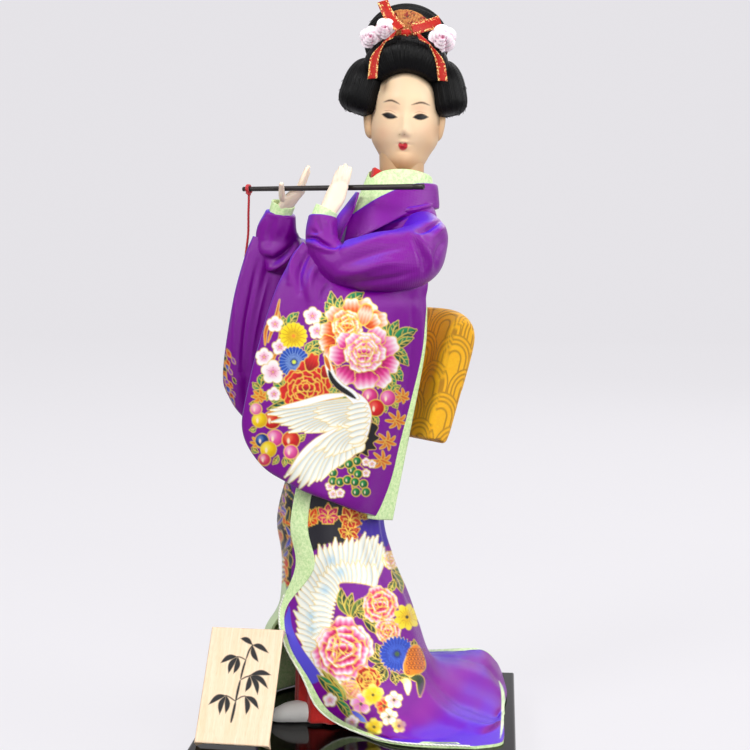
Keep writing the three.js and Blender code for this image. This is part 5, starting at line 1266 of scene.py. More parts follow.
def sewn(name, cad, front, side, thickness, puffed, back):
    """A whole sleeve: the bag's two cloths and the puff over the forearm."""
    front_sheet = cloth("front", front, thickness, sleeve_heart, [satin, lining], side=side)
    back_sheet = cloth("back", back, 0.5, (0, -200, 150 + deck), [satin, lining], coarse=2)
    made = join([front_sheet, puffed, back_sheet], name)
    stands_for(made, "doll", cad)


sewn("sleeve_near", "left_sleeve", front_cloth, sleeve_side, 0.7, left_puff, back_cloth[::4, ::4])

right_stations = [(1, 16, 199, 9.5, 8.5), (-12, 17, 190, 10.5, 8.5), (-24, 10, 187, 10.5, 8.5), (-32, -0.6, 191, 10, 8),
                  (-34.2, -4.6, 199, 8.6, 6.6), (-32.6, -6.4, 208, 6.2, 5.8)]
right_bag_rows = [
    [(-43.6, -7.4, 199), (-38, -6.6, 197), (-31, -2, 194), (-24, 6, 190), (-17, 15, 188)],
    [(-46.8, -8, 190), (-41, -8, 186), (-33, -4, 182), (-25, 6, 178), (-17.5, 16, 175)],
    [(-53, -8.5, 167), (-45, -9.4, 165), (-36, -5.5, 163), (-27, 5, 160), (-20, 16, 157)],
    [(-56.6, -8, 143), (-48, -8.6, 141), (-38, -5, 139), (-29, 5, 137), (-22.5, 16, 134)],
    [(-54.6, -7, 134), (-47, -7.6, 128), (-38, -4, 125), (-31, 5, 122), (-25.6, 15.6, 119)],
    [(-48.6, -6, 127.4), (-43, -6, 120), (-36.6, -3, 115), (-32.4, 4.4, 111), (-28.6, 14, 107)],
]
right_folds = [
    (0.8, 265, 0.08, 50, 0, -0.14),
    (0.72, 250, 0.06, 60, 0, 0.10),
    (0.9, 300, 0.12, 16, 30, -0.09),
    (0.55, 280, 0.1, 30, 60, -0.08),
    (0.35, 200, 0.2, 24, 60, 0.06),
    (0.35, 90, 0.25, 24, 40, -0.07),
]
right_puff = puff("right_sleeve_puff", right_stations, right_folds, 5)
crease(right_puff, [
    ([(262, 258), (274, 261), (288, 252), (299, 239)], 4.0, -2.6),
    ([(256, 262), (263, 269), (276, 267), (290, 256), (303, 240)], 2.6, 1.6),
    ([(266, 214), (257, 230), (254, 246), (256, 260)], 2.6, 1.2),
    ([(275, 216), (270, 230), (268, 244)], 4.0, -0.8),
    ([(288, 218), (287, 232), (282, 244)], 4.0, 0.8),
])
far_front, far_back = bag(
    right_bag_rows, sleeve_heart, 160, 100, 1.4,
    lambda s, t: 1.1 * hump(t, 0.45 - 0.15 * s, 0.07) - 1.3 * hump(t, 0.3 - 0.1 * s, 0.06) + 0.9 * hump(t, 0.72, 0.08)
    - 0.9 * hump(t, 0.6, 0.05),
)
far_front = press(far_front, lift(far_front, sleeve_heart), [
    ([(252, 232), (244, 262), (236, 300), (232, 350)], 3.2, 1.2),
    ([(258, 262), (252, 290), (245, 330), (242, 372)], 3.4, -1.3),
    ([(270, 272), (262, 300), (254, 340), (250, 376)], 3.4, 1.1),
])
far_side = canvas(far_front, lift(far_front, sleeve_heart))
for i in range(26):
    x, y = draw.uniform(224, 236), 352 + 2.2 * i
    stroke(far_side, [(x - 2, y - 3), (x + 1, y + 3)], draw.uniform(2, 4), edge_inks[(i * 3) % 5], 0.5)
sewn("sleeve_far", "right_sleeve", far_front, far_side, 0.6, right_puff, far_back[::2, ::2])

for name, flat, rests_on, rows, cad in [
    ("sleeve_near_lining", (0.020, 0.088), "sleeve_near", [
        [(19, -24.4, 170.6), (24, -19.4, 170.8), (27.5, -13.4, 171)],
        [(14, -25.8, 153), (20, -19.6, 153), (26.6, -11.4, 153)],
        [(6, -27, 123), (13, -19.6, 123), (21.3, -10.4, 123.4)],
        [(4, -19.4, 86), (8.4, -14.6, 84.6), (13.6, -9.8, 83.4)],
    ], "left_sleeve_lining"),
    ("sleeve_far_lining", (0.017, 0.064), "sleeve_far", [
        [(-28, 7, 168), (-22.5, 13.6, 167), (-18.6, 20, 166)],
        [(-31, 6.6, 145), (-25, 14, 144), (-20.4, 21, 143)],
        [(-32.6, 5.8, 112), (-27, 13.6, 108.6), (-22.4, 20.6, 106)],
    ], "right_sleeve_lining"),
]:
    hanging = grid(np.array(rows, float) + up_deck, 120, 24)
    down, across = shares(hanging)
    wave = 0.4 * np.sin(5 * across) * (0.2 + 0.8 * down)
    hanging = hanging + lift(hanging, sleeve_heart) * wave[..., None]
    strip = cloth(name, hanging, 0.6, sleeve_heart, [lining], coarse=4)
    stands_for(strip, "doll", cad)

# Pale green cuffs of the inner sleeves stand out round the wrists.
# Each is a short tube of lining, folded over at its mouth and sewn inside the satin.
cuff_wall = 0.7
cuff_sides = 64
for name, flat, stations, cad in [
    ("cuff_near", (0.023, 0.010), [(-13.4, -30.8, 202, 4.4, 4.6), (-12.6, -30.2, 206, 4.4, 4.6),
                                   (-11, -29.6, 209.4, 4.6, 4.8)], "left_cuff"),
    ("cuff_far", (0.028, 0.010), [(-33.4, -5.8, 203, 4.6, 4.6), (-32.6, -6.8, 208, 4.6, 4.6),
                                  (-31.2, -7.8, 212, 4.8, 4.8)], "right_cuff"),
]:
    line = spline(np.array(stations, float), 30)
    outer = line[:, :3] + up_deck
    ways = [np.concatenate([way, way[::-1]])[:, None] for way in frames(outer)]
    sizes = [np.concatenate([line[:, k], line[::-1, k] - cuff_wall])[:, None] for k in (3, 4)]
    turn = np.linspace(0, 2 * np.pi, cuff_sides, endpoint=False)
    pleat = 1 + 0.018 * np.sin(9 * turn) + 0.012 * np.sin(4 * turn + 1)
    ring = ways[0] * (sizes[0] * np.cos(turn) * pleat)[..., None] + ways[1] * (sizes[1] * np.sin(turn) * pleat)[...,
        None]
    cuff = ringed(name, np.concatenate([outer, outer[::-1]])[:, None] + ring, lining, closed=True)
    stands_for(cuff, "doll", cad)

# The upper kimono: satin drawn over the chest, shoulders and back, with soft creases that run to the shoulders.
# It is gathered round the stuffed trunk, and held under the sash.
kimono_stations = [(-1.2, 0.5, 136.6, 16.3, 14), (2, 1, 150, 15.2, 12.8), (7, 1, 172, 18, 14.5),
                   (10.5, 1, 186, 20.5, 15.5),
                   (13, 1.2, 198, 21.5, 14.5), (15, 1.5, 206, 19, 13), (16, 2, 212, 15, 12), (16, 2, 216.1, 12, 11.4)]


def chest_creases(share, turn):
    aside = (np.degrees(turn) + 180) % 360 - 180
    crease = 0.9 * hump(share, 0.72 + aside * 0.0012, 0.025) - 1.0 * hump(share, 0.66 + aside * 0.0014, 0.02)
    crease += 0.7 * hump(share, 0.83 + aside * 0.0004, 0.03) - 0.6 * hump(share, 0.78 + aside * 0.0008, 0.015)
    seam = -0.5 * hump(aside, 180, 4) - 0.5 * hump(aside, -180, 4)
    drawn = crease * hump(aside, 60, 55) + 0.5 * crease * hump(aside, -60, 50)
    return drawn + seam + 0.35 * np.sin(turn * 7 + 9 * share)


kimono = barrel("kimono_upper", kimono_stations, 220, 170, satin, chest_creases)
crease(kimono, [
    ([(362, 228), (381, 215), (400, 206.5), (414, 205)], 5.0, 1.2),
    ([(392, 204.5), (404, 202), (416, 202.4)], 3.6, -0.4),
    ([(350, 226), (366, 214), (384, 203)], 4.0, -0.8),
])
stands_for(kimono, "doll", "kimono_body")

# Three collars cross at the chest and stand off the nape: red cotton, pale green rayon and the satin outside.
# Each is a folded band, softly rounded at its edges.
neck_spot = np.array([16, 2, 215.6])


def collar_line(points, count):
    """A line round the neck from reaches ahead, aside and up, for the left half and mirrored for the right."""
    def half(sign, row):
        return [neck_spot + body_front * a + body_left * sign * b + np.array([0, 0, u]) for a, b, u in row]
    whole = half(1, points) + half(-1, points[:-1][::-1])
    loop = spline(np.array(whole), 19 * 6)
    loop = np.concatenate([loop[2:-2:6], loop[2:3]])
    return spline(loop, even(loop, count))[:-1] + up_deck


def collar(name, top, foot, thickness, finish, cad, wave, count=180, rounds=18):
    upper, lower = collar_line(top, count), collar_line(foot, count)
    middle = neck_spot + up_deck - (0, 0, 4)
    away = upper * 0.5 + lower * 0.5 - middle
    away[:, 2] = 0
    away = unit(away)
    turn = np.linspace(0, 2 * np.pi, rounds, endpoint=False)
    high = np.sign(np.cos(turn)) * np.abs(np.cos(turn)) ** 0.55
    thick = np.sign(np.sin(turn)) * np.abs(np.sin(turn)) ** 0.7 * thickness / 2
    around = np.linspace(0, 2 * np.pi, count, endpoint=False)
    ripple = wave * (np.sin(5 * around) + 0.6 * np.sin(11 * around + 1))
    points = (
        (upper + lower)[:, None] / 2 + (upper - lower)[:, None] / 2 * high[None, :, None]
        + away[:, None] * (thick[None, :, None] + ripple[:, None, None] * (1 - high[None, :, None] ** 2))
    )
    made = ringed(name, points, finish, closed=True)
    bare(made, np.stack(np.broadcast_arrays(around[:, None] * 14, high * 4, 0.0), -1))
    stands_for(made, "doll", cad)


collar("collar_satin", [(27, 0, -9.5), (17.6, 7, -1.8), (5, 12, 3.8), (-7.6, 11.8, 4.4), (-15.4, 0, 3.4)],
       [(31.4, 1, -22), (20.2, 11, -14), (5, 15, -7), (-8.8, 12.4, -5.6), (-14.8, 0, -6)], 1.3, satin,
       "collar_outer", 0.1)
lapel_rows = [[(-1.5, -11, 216.6), (-0.9, -13, 216.5), (-0.4, -14.6, 216.4)],
              [(-5.4, -13, 211.3), (-3.6, -15, 211.2), (-1.6, -16.6, 211)],
              [(-8.9, -15, 206.2), (-6.4, -17, 206.4), (-2.9, -18, 206.8)],
              [(-9.6, -17, 200.4), (-8.2, -19, 200.8), (-5.7, -20.4, 201.3)],
              [(-9.6, -19, 195), (-8.6, -20.4, 195.6), (-7.4, -21.4, 196.4)]]
lapel = cloth("lapel", grid(np.array(lapel_rows) + up_deck, 60, 24), 0.8, (16, 20, 205 + deck), [satin], coarse=4)
stands_for(lapel, "doll", "collar_outer")
collar("collar_green", [(15.6, 0, 6.2), (12.4, 5, 9.4), (3.8, 10, 10), (-6.6, 9.8, 7.8), (-13, 0, 6)],
       [(25.6, 0, -11), (17, 6.4, -4), (4.6, 11, 0), (-6.8, 10.6, 0), (-13, 0, 0)], 0.9, lining,
       "collar_inner", 0.12)
collar("collar_red", [(14.4, 0.4, 11.2), (10.6, 4.2, 8.6), (2.6, 9, 5.4), (-5.6, 7.6, 7.4), (-9.8, 0, 7.4)],
       [(16, 0.4, 2.4), (11.2, 4.8, 3.4), (2.8, 9.3, 2), (-5.8, 7.9, 2), (-10.1, 0, 2)], 0.6, crepe,
       "collar_under", 0.08)

# The sash and its flat bow are golden brocade, woven with overlapping waves that stand up a little.
# The wave's lines are a darker gold; the bow is stuffed, and folded over at its top.
brocade, tree, shader = material("woven_gold_brocade", Roughness=0.5, Sheen_Weight=0.08, Specular_IOR_Level=0.3)
printed = node(tree, "Attribute", attribute_name="print")
where = node(tree, "TexCoord").outputs["Object"]
slub = node(tree, "TexNoise", {"Vector": where, "Scale": 1100.0, "Detail": 3.0})
ground = node(tree, "Mix", {0: slub, 6: colour("#F8AA08"), 7: colour("#FFCA16")}, data_type="RGBA")
node(tree, "Mix", {0: printed.outputs["Alpha"], 6: ground, 7: printed.outputs["Color"]},
     to=shader.inputs["Base Color"], data_type="RGBA")
gilded = node(tree, "Attribute", attribute_name="gilt")
node(tree, "Math", {0: gilded.outputs["Fac"], 1: 0.08}, to=shader.inputs["Metallic"], operation="MULTIPLY")
rib_across, rib_down = weave_waves(tree, 0.5)
ribs = node(tree, "Math", {0: rib_across, 1: rib_down}, operation="ADD")
deep = node(tree, "Math", {0: printed.outputs["Alpha"], 1: -3.0, 2: ribs}, operation="MULTIPLY_ADD")
node(tree, "Bump", {"Height": deep, "Strength": 0.45, "Distance": 0.0002}, to=shader.inputs["Normal"])


def wave_pattern(across, up, pitch=20.0, step=12.0):
    """Tall overlapping wave scales, the lower over the upper: distance in millimetres to the nearest of their arcs."""
    best = np.full(across.shape, 9.0)
    covered = np.zeros(across.shape, bool)
    first = np.ceil((up - pitch / 2) / step)
    for k in range(3):
        row = first + k
        shift = (row % 2) * pitch / 2
        aside = across - np.round((across - shift) / pitch) * pitch - shift
        reach = np.hypot(aside, np.maximum(up - row * step, 0))
        inside = (reach < pitch / 2) & ~covered
        arcs = np.min([np.abs(reach - pitch / 2 * share) for share in (0.97, 0.78, 0.6, 0.32)], axis=0)
        best = np.where(inside, arcs, best)
        covered |= inside
    return best


def weave_waves_into(made, across, up, strength=0.72):
    distance = wave_pattern(across, up)
    cover = np.clip(1.5 - distance / 0.42, 0, 1) * strength
    ink = np.concatenate([np.broadcast_to(colour("#A8680E")[:3], (len(cover), 3)), cover[:, None]], 1)
    mark(made, print=ink, gilt=1 - cover, weave=np.stack([across, up, 0 * up], -1))


sash_stations = [(0.2, 0.7, 137.5, 19.4, 17.2), (2, 1, 151.1, 18.6, 16), (5.6, 1, 164.7, 20.2, 17.2),
                 (7.2, 1, 171.5, 20.7, 17.4)]
sash_sides, sash_steps = 240, 90


def sash_wrinkles(share, turn):
    edge = -0.9 * (hump(share, 0, 0.03) + hump(share, 1, 0.03))
    return edge + 0.25 * np.sin(14 * share + 2 * np.sin(turn * 2)) + 0.5 * hump(share, 0.5, 0.03) * np.abs(np.sin(turn))


obi = barrel("brocade_sash", sash_stations, sash_sides, sash_steps, brocade, sash_wrinkles)
sash_height, sash_reach = 34, 18.5
rise = np.linspace(0, sash_height, sash_steps + 1)
rise = np.concatenate([rise, rise[::-2]])
turn = np.tile(np.linspace(0, 2 * np.pi, sash_sides, endpoint=False) * sash_reach, len(rise))
rise = np.repeat(rise, sash_sides)
weave_waves_into(obi, turn, rise)
stands_for(obi, "doll", "obi_band")

bow_width, bow_depth = 52, 12.6
bow_lean = math.radians(17)
bow_spot = np.array([3.5, 1, 0])
bow_rise, bow_reach, bow_shoulder = 143, 23.4, 0.16
half = bow_depth / 2
bow_outline = np.array([(-0.9, -27), (0, -27.3), (0.8, -27), (1, -10.8), (1.15, 13.5), (0.9, 22.7), (0.1, 27),
                        (-0.8, 23.8),
                        (-1.1, 13.5), (-1, -10.8)]) * (half, 1)
bow_ring = spline(np.concatenate([bow_outline[-3:], bow_outline, bow_outline[:3]]), 15 * 40)[3 * 40:13 * 40]
bow_steps, cap_steps = 104, 50
rings, places = [], []
for k in range(-cap_steps, bow_steps + cap_steps + 1):
    s = np.clip(k / bow_steps * 2 - 1, -1, 1)
    # beyond the last ring, smaller ones close the flat end
    shrink = 1 - (max(0, -k, k - bow_steps) / cap_steps) * 0.985
    end = max(0.0, (abs(s) - 0.9) / 0.1)
    round_end = 0.72 + 0.28 * math.sqrt(max(0, 1 - end ** 2))
    shoulder = 1 - bow_shoulder * s ** 4 - 0.05 * end ** 2
    out, up = bow_ring[:, 0] * round_end, np.where(bow_ring[:, 1] > 0, bow_ring[:, 1] * shoulder,
                                                   bow_ring[:, 1] * (1 - 0.02 * end ** 2))
    dent = 0.5 * np.sin(3 * s * np.pi) * np.cos(up / 9) + 0.5 * math.cos(2 * np.pi * s) * (up > -5)
    out = (out + np.sign(out) * dent * (np.abs(out) > half * 0.6) * (1 - end)) * shrink
    up = up * shrink
    outward = bow_reach + out * math.cos(bow_lean) + up * math.sin(bow_lean)
    height = bow_rise + deck + up * math.cos(bow_lean) - out * math.sin(bow_lean)
    puffed = s * (bow_width / 2 + 0.5 * (1 - shrink) ** 0.5)
    rings.append(bow_spot - outward[:, None] * body_front + body_left * puffed + height[:, None] * np.array([0, 0, 1]))
    places.append(np.stack([s * bow_width / 2 + (out + half) * np.sign(s) * max(0, (abs(s) - 0.86) / 0.14), up + 30],
                           -1))
bow = ringed("brocade_bow", np.array(rings), brocade)
places = np.concatenate(places)
weave_waves_into(bow, places[:, 0], places[:, 1])
stands_for(bow, "doll", "obi_bow")

# The head is moulded in one piece with the neck, and its features are painted by hand with an airbrushed hairline.
# It stands on a plug in the trunk, so that it can turn; everything up here is placed in the head's own frame.
head_lean, head_turn = math.radians(2.8), math.radians(3)


def turned(axis, angle):
    """The matrix of a turn about x, y or z."""
    made = np.eye(3)
    i, j = {"x": (1, 2), "y": (2, 0), "z": (0, 1)}[axis]
    made[i, i] = made[j, j] = math.cos(angle)
    made[j, i] = math.sin(angle)
    made[i, j] = -math.sin(angle)
    return made


head_frame = turned("z", head_turn) @ turned("y", head_lean)


def on_head(points):
    """Places of the head's frame, in millimetres, moved to where the head stands."""
    return np.asarray(points, float) @ head_frame.T + neck_spot + up_deck


def globe(rows, columns):
    """Directions from the foot of a ball to its top, in rings round the upright axis."""
    tilt = np.linspace(-np.pi / 2 + 0.012, np.pi / 2 - 0.012, rows)[:, None]
    turn = np.linspace(0, 2 * np.pi, columns, endpoint=False)[None, :]
    return np.stack([np.cos(tilt) * np.cos(turn), np.cos(tilt) * np.sin(turn), np.sin(tilt) + 0 * turn], -1)


skull_width, skull_depth, skull_height, chin_height = 27.4, 32.5, 53.4, 6.2
eye_height, brow_height, nose_height, lips_height = 20.6, 25.6, 14.0, 9.2
eye_reach = 6.2
way = globe(230, 260)
x, y, z = way[..., 0], way[..., 1], way[..., 2]
below = np.maximum(0, -z)
jaw, chin = np.clip((below - 0.4) / 0.26, 0, 1), np.clip((below - 0.78) / 0.22, 0, 1)
ahead = np.maximum(0, -y) / np.maximum(np.hypot(x, y), 1e-6)
head_points = np.stack([
    x * skull_width / 2 * (1 + 0.32 * below * (1 - below) - 0.12 * jaw ** 2 * (3 - 2 * jaw)
                           + 0.5 * chin ** 2 * (3 - 2 * chin)),
    y * skull_depth / 2 * (1 + 3.3 * ahead * np.maximum(0, below - 0.5) ** 2),
    z * skull_height / 2,
], -1)
px, above = head_points[..., 0], head_points[..., 2] + chin_height + skull_height / 2 - 10.6


def bump_at(aside, height, wide, tall):
    """A soft swelling on the face, the same on both sides where it lies off the middle."""
    return sum(np.exp(-(((px - at) / wide) ** 2) - ((above - height) / tall) ** 2) for at in {aside, -aside})


relief = (
    1.05 * bump_at(0, nose_height + 0.2, 1.9, 2.1)
    + 1.0 * bump_at(0, nose_height + 3.4, 1.35, 4.0)
    + 0.35 * bump_at(1.7, nose_height - 0.8, 1.2, 1.3)
    - 0.12 * bump_at(0.9, nose_height - 1.9, 0.6, 0.5)
    - 0.75 * bump_at(eye_reach * 0.86, eye_height + 1.2, 3.1, 2.2)
    + 0.42 * bump_at(eye_reach, eye_height - 0.1, 2.6, 1.4)
    + 0.3 * bump_at(eye_reach, brow_height + 1.6, 4.4, 1.7)
    + 0.7 * bump_at(7.4, nose_height - 0.5, 4.2, 4.4)
    + 0.55 * bump_at(0, lips_height + 0.9, 1.7, 0.75) + 0.15 * bump_at(1.1, lips_height + 1.1, 0.8, 0.5)
    + 0.85 * bump_at(0, lips_height - 0.95, 1.5, 0.85)
    - 0.5 * bump_at(0, lips_height, 2.4, 0.3)
    - 0.12 * bump_at(0, lips_height + 2.7, 0.7, 1.0)
    - 0.35 * bump_at(0, lips_height - 2.9, 2.4, 0.8)
    + 0.5 * bump_at(0, 3.8, 4.4, 2.6)
)
head_points[..., 1] -= relief * ahead ** 0.5 * (y < 0)
head_points += (0, 2.5, chin_height + skull_height / 2)
head_world = on_head(head_points)
face_side = canvas(head_world, lift(head_world, on_head([[0, 2.5, 34]])[0]))


def blush_and_painted_shade(middle, reach, tall, code, strength):
    """A soft airbrushed tint, used for blush and for painted shade."""
    ids, u, v = near(face_side, middle, max(reach, tall) * 1.6)
    glaze(face_side, ids, np.exp(-((u / reach) ** 2) - (v / tall) ** 2) * strength, colour(code))


# cheek and lid tints are blush; the rest are painted shade under the nose, over the lower face and chin, under the
# chin, along the jaw and by the ears
for middle, reach, tall, code, strength in [
    ((382, 132), 10, 9, "#F0A080", 0.26), ((428, 131), 10, 9, "#F0A488", 0.2), ((391, 108), 9, 5, "#F2A890", 0.22),
    ((420, 109), 9, 5, "#F2A890", 0.22), ((402, 134), 5.0, 2.8, "#B08C60", 0.14), ((402, 158), 30, 13, "#CC945E", 0.4),
    ((402, 164), 22, 5, "#B87640", 0.5), ((402, 169), 30, 5, "#A06A38", 0.6),
    ((430, 148), 8, 12, "#CF9058", 0.3), ((376, 148), 8, 12, "#CF9058", 0.4), ((440, 130), 6, 12, "#A87040", 0.6),
    ((366, 130), 5, 12, "#C08850", 0.5),
]:
    blush_and_painted_shade(middle, reach, tall, code, strength)
hairline = [(370, 124), (371, 112), (374, 96), (381, 86), (391, 78.5), (406, 75), (420, 79), (430, 88), (435, 100),
            (438, 113), (439, 124)]
edge_line = spline(np.array(hairline), 60)
ids, u, v = near(face_side, (405, 60), 75)
place = np.stack([u + 405, 60 - v], -1)
reach_out = from_path(place, edge_line)[0]
middle_line = np.interp(place[:, 1], [75, 124], [405.5, 405])
half_width = np.interp(place[:, 1], [75, 78.5, 86, 96, 112, 124], [1, 14, 24, 31, 33.5, 34.5])
outside = (np.abs(place[:, 0] - middle_line) > half_width) | (place[:, 1] < 75)
lay(face_side, ids, np.where(outside & (place[:, 1] < 126), -reach_out, reach_out), colour("#15130F"), 0.0, 2.6)
# brows, then eyes that are nearly closed, then the lines of their lids
for line, width, code, heart, end in [
    ([(383.7, 102), (391.4, 100.4), (400, 104.2)], 1.8, "#3A2012", "#1E100A", 0.6),
    ([(411.5, 104.8), (421.5, 102.6), (430, 105.4)], 1.8, "#3A2012", "#1E100A", 0.6),
    ([(381.8, 114.4), (389, 115.8), (397.2, 117.4)], 6.2, "#060404", "#060404", 0.85),
    ([(412.8, 117.4), (420.4, 117.0), (428.4, 117.2)], 6.2, "#060404", "#060404", 0.85),
    ([(382.2, 114), (388, 112.9), (394, 115.2), (397, 117.4)], 1.1, "#2A1A12", "#2A1A12", 0.6),
    ([(413, 117.4), (417, 114.6), (423, 114.2), (428.4, 117)], 1.1, "#2A1A12", "#2A1A12", 0.6),
    ([(384, 111), (390, 110.6), (396, 113.4)], 0.6, "#A87858", "#A87858", 0.6),
    ([(414, 113.2), (420, 111.8), (427, 113.4)], 0.6, "#A87858", "#A87858", 0.6),
]:
    stroke(face_side, line, width, (code, heart, code), 0, round_end=end)
patch(face_side, [(398, 145), (400, 142.6), (402.6, 143.8), (405.4, 142.6), (407.8, 145), (406.4, 148.6),
                  (402.8, 150.4), (399.4, 148.6)], "#C8323A", 0)
stroke(face_side, [(398.4, 145.2), (402.8, 146.4), (407.4, 145.2)], 0.8, ("#8A1424",), 0)
stroke(face_side, [(400.6, 148.4), (403, 149), (405.2, 148.4)], 1.0, ("#E05A64",), 0)
# dark dots in the nostrils are painted shade
for middle in ((399.6, 134.6), (404.4, 134.8)):
    ids, u, v = near(face_side, middle, 4)
    lay(face_side, ids, np.hypot(u, v * 1.4) - 0.6, colour("#A87850"), soft=0.5)

# The face's vinyl is the skin with its paint over it, thin enough for light to go a little way in.
# Neck and ears come out of the same mould; their brown tone is painted shade.
face_vinyl, tree, shader = material("painted_soft_vinyl", Roughness=0.42, Subsurface_Weight=0.06,
                                    Subsurface_Scale=0.001, Subsurface_Radius=skin_depth, Specular_IOR_Level=0.2)
where = node(tree, "TexCoord").outputs["Object"]
blotch = node(tree, "TexNoise", {"Vector": where, "Scale": 60.0, "Detail": 2.0})
ground = node(tree, "Mix", {0: blotch, 6: colour("#F2D0A6"), 7: colour("#F7DAB8")}, data_type="RGBA")
painted = node(tree, "Attribute", attribute_name="print")
node(tree, "Mix", {0: painted.outputs["Alpha"], 6: ground, 7: painted.outputs["Color"]},
     to=shader.inputs["Base Color"], data_type="RGBA")
mould = node(tree, "TexNoise", {"Vector": where, "Scale": 700.0, "Detail": 3.0})
node(tree, "Bump", {"Height": mould, "Strength": 0.04, "Distance": 0.0003}, to=shader.inputs["Normal"])

face = ringed("face", head_world, face_vinyl)
mark(face, print=face_side["colour"])
neck_line = np.array([(-h * math.sin(head_lean), 0, h * math.cos(head_lean)) for h in np.linspace(-3, 25, 40)])
neck_flare = np.interp(np.linspace(-3, 25, 40), [-3, 0, 4, 10, 25], [8.6, 8.6, 8.6, 9.0, 9.4])[:, None]
neck = tube("neck", on_head(neck_line), lambda place, angle: (neck_flare + 0 * angle, neck_flare + 0 * angle),
            sides=64, finish=face_vinyl)
# the neck is toned brown all over: painted shade under the chin
neck_painted_shade = np.tile(np.array(colour("#A06A38")), (len(neck.data.vertices), 1))
neck_painted_shade[:, 3] = 0.5
mark(neck, print=neck_painted_shade)
ears = []
for sign in (-1, 1):
    way = globe(40, 48)
    dent = 1 - 0.35 * np.exp(-((way[..., 2] / 0.5) ** 2) - ((way[..., 1] + 0.1) / 0.45) ** 2) * (way[..., 0] * sign > 0)
    ear = way * (2.9, 3.4, 5.8) * np.stack([dent, 0 * dent + 1, 0 * dent + 1], -1) + (sign * 14.1 - 0.5, 3, 28)
    ear[..., 0] += sign * 0.14 * (ear[..., 2] - 28)
    ears.append(ringed("ear", on_head(ear), face_vinyl))
    # the ears are toned brown: painted shade
    mark(ears[-1], print=np.tile(np.array(colour("#C08A58")) * (1, 1, 1, 0.4), way[..., 0].size))
head = join([face, neck] + ears, "moulded_head")
stands_for(head, "head", "head")

# The wig is glossy black nylon thread, combed over padding into rolls and glued; strands lie side by side.
# Light catches the rolls in a soft band across the strands; ridges 0.6 and 1.1 mm apart stand for their fine lie.
thread_black, tree, shader = material("combed_nylon_thread", Roughness=0.4, Anisotropic=0.6, Specular_IOR_Level=0.11)
strand = node(tree, "Attribute", attribute_name="strand")
where = node(tree, "TexCoord").outputs["Object"]
comb = node(tree, "TexNoise", {"W": strand.outputs["Fac"], "Scale": 1.7, "Detail": 4.0}, noise_dimensions="1D")
frizz = node(tree, "TexNoise", {"Vector": where, "Scale": 900.0, "Detail": 3.0})
height = node(tree, "Math", {0: frizz, 1: 0.25, 2: comb}, operation="MULTIPLY_ADD")
textured(tree, shader, comb, "#010101", "#0A0A0B", 0.8, 0.00035, height=height)


def combed(strand_place):
    """How far strands stand out, in millimetres, by their place across the comb's way."""
    s = strand_place
    coarse = 0.05 * np.sin(2 * np.pi * s / 1.1 + 1.3 * np.sin(s * 0.9))
    return coarse + 0.05 * np.sin(2 * np.pi * s / 0.62 + 2) + 0.06 * np.sin(s * 1.7)


def hair_ball(name, middle, radii, tilt, axis, pole, cad, cut=None, shape=None, strays=0):
    """A roll of combed thread, whose strands run from one pole to the other, along x or z."""
    rows, columns = 110, 220
    way = globe(rows, columns)[..., [2, 0, 1] if pole == "x" else [0, 1, 2]]
    middle, radii = np.array(middle, float), np.array(radii, float)
    turn = np.linspace(0, 2 * np.pi, columns, endpoint=False)[None, :]
    across_comb = turn * radii.mean() + np.zeros((rows, 1))
    fade = np.sin(np.linspace(0.02, np.pi - 0.02, rows))[:, None] ** 0.6
    size = radii * (shape(way) if shape is not None else 1.0)
    local = way * size + way * (combed(across_comb) * fade)[..., None]
    local = local @ turned(axis, math.radians(tilt)).T + middle
    if cut is not None:
        local = cut(local)
    made = ringed(name, on_head(local), thread_black)
    mark(made, strand=across_comb)
    extra = []
    pick = np.random.default_rng(len(name))
    for k in range(strays):
        r, c = int(pick.integers(8, rows * 0.6)), int(pick.integers(0, columns))
        root, ahead_way = local[r, c], unit(local[max(r - 6, 0), c] - local[r, c])
        out = unit(local[r, c] - middle)
        reach = pick.uniform(1.2, 3.0)
        line = [root - out * 0.3, root + ahead_way * reach * 0.5 + out * 0.22,
                root + ahead_way * reach + out * pick.uniform(0.2, 0.6)]
        extra.append(tube("stray", on_head(spline(np.array(line), 6)), 0.09, sides=4, across=(0.3, 1, 0.2),
                          finish=thread_black))
        mark(extra[-1], strand=np.full(28, float(k)))
    if extra:
        made = join([made] + extra, name)
    stands_for(made, "head", cad)


def cap_edge(local):
    """The cap stops at the hairline in front and at the nape below."""
    local = local.copy()
    local[..., 1] = np.maximum(local[..., 1], -3.5 - 0.6 * np.cos(local[..., 0] / 6))
    local[..., 2] = np.maximum(local[..., 2], 28)
    return local


hair_ball("hair_cap", (0, 4.5, 44), (17.2, 17, 18), 0, "x", "z", "wig_cap", cut=cap_edge)


def drooping(way):
    """Wings are squared off below, where the comb's ends are tucked in."""
    low = np.clip(-way[..., 2:3] / 0.6, 0, 1)
    low = low * low * (3 - 2 * low)
    power = 2.3 + 0.9 * low
    square = (np.abs(way) ** power).sum(-1, keepdims=True) ** (-1 / power)
    return square * np.concatenate([1 + 0 * power, 1 + 0 * power, 1 - 0.2 * low], -1)


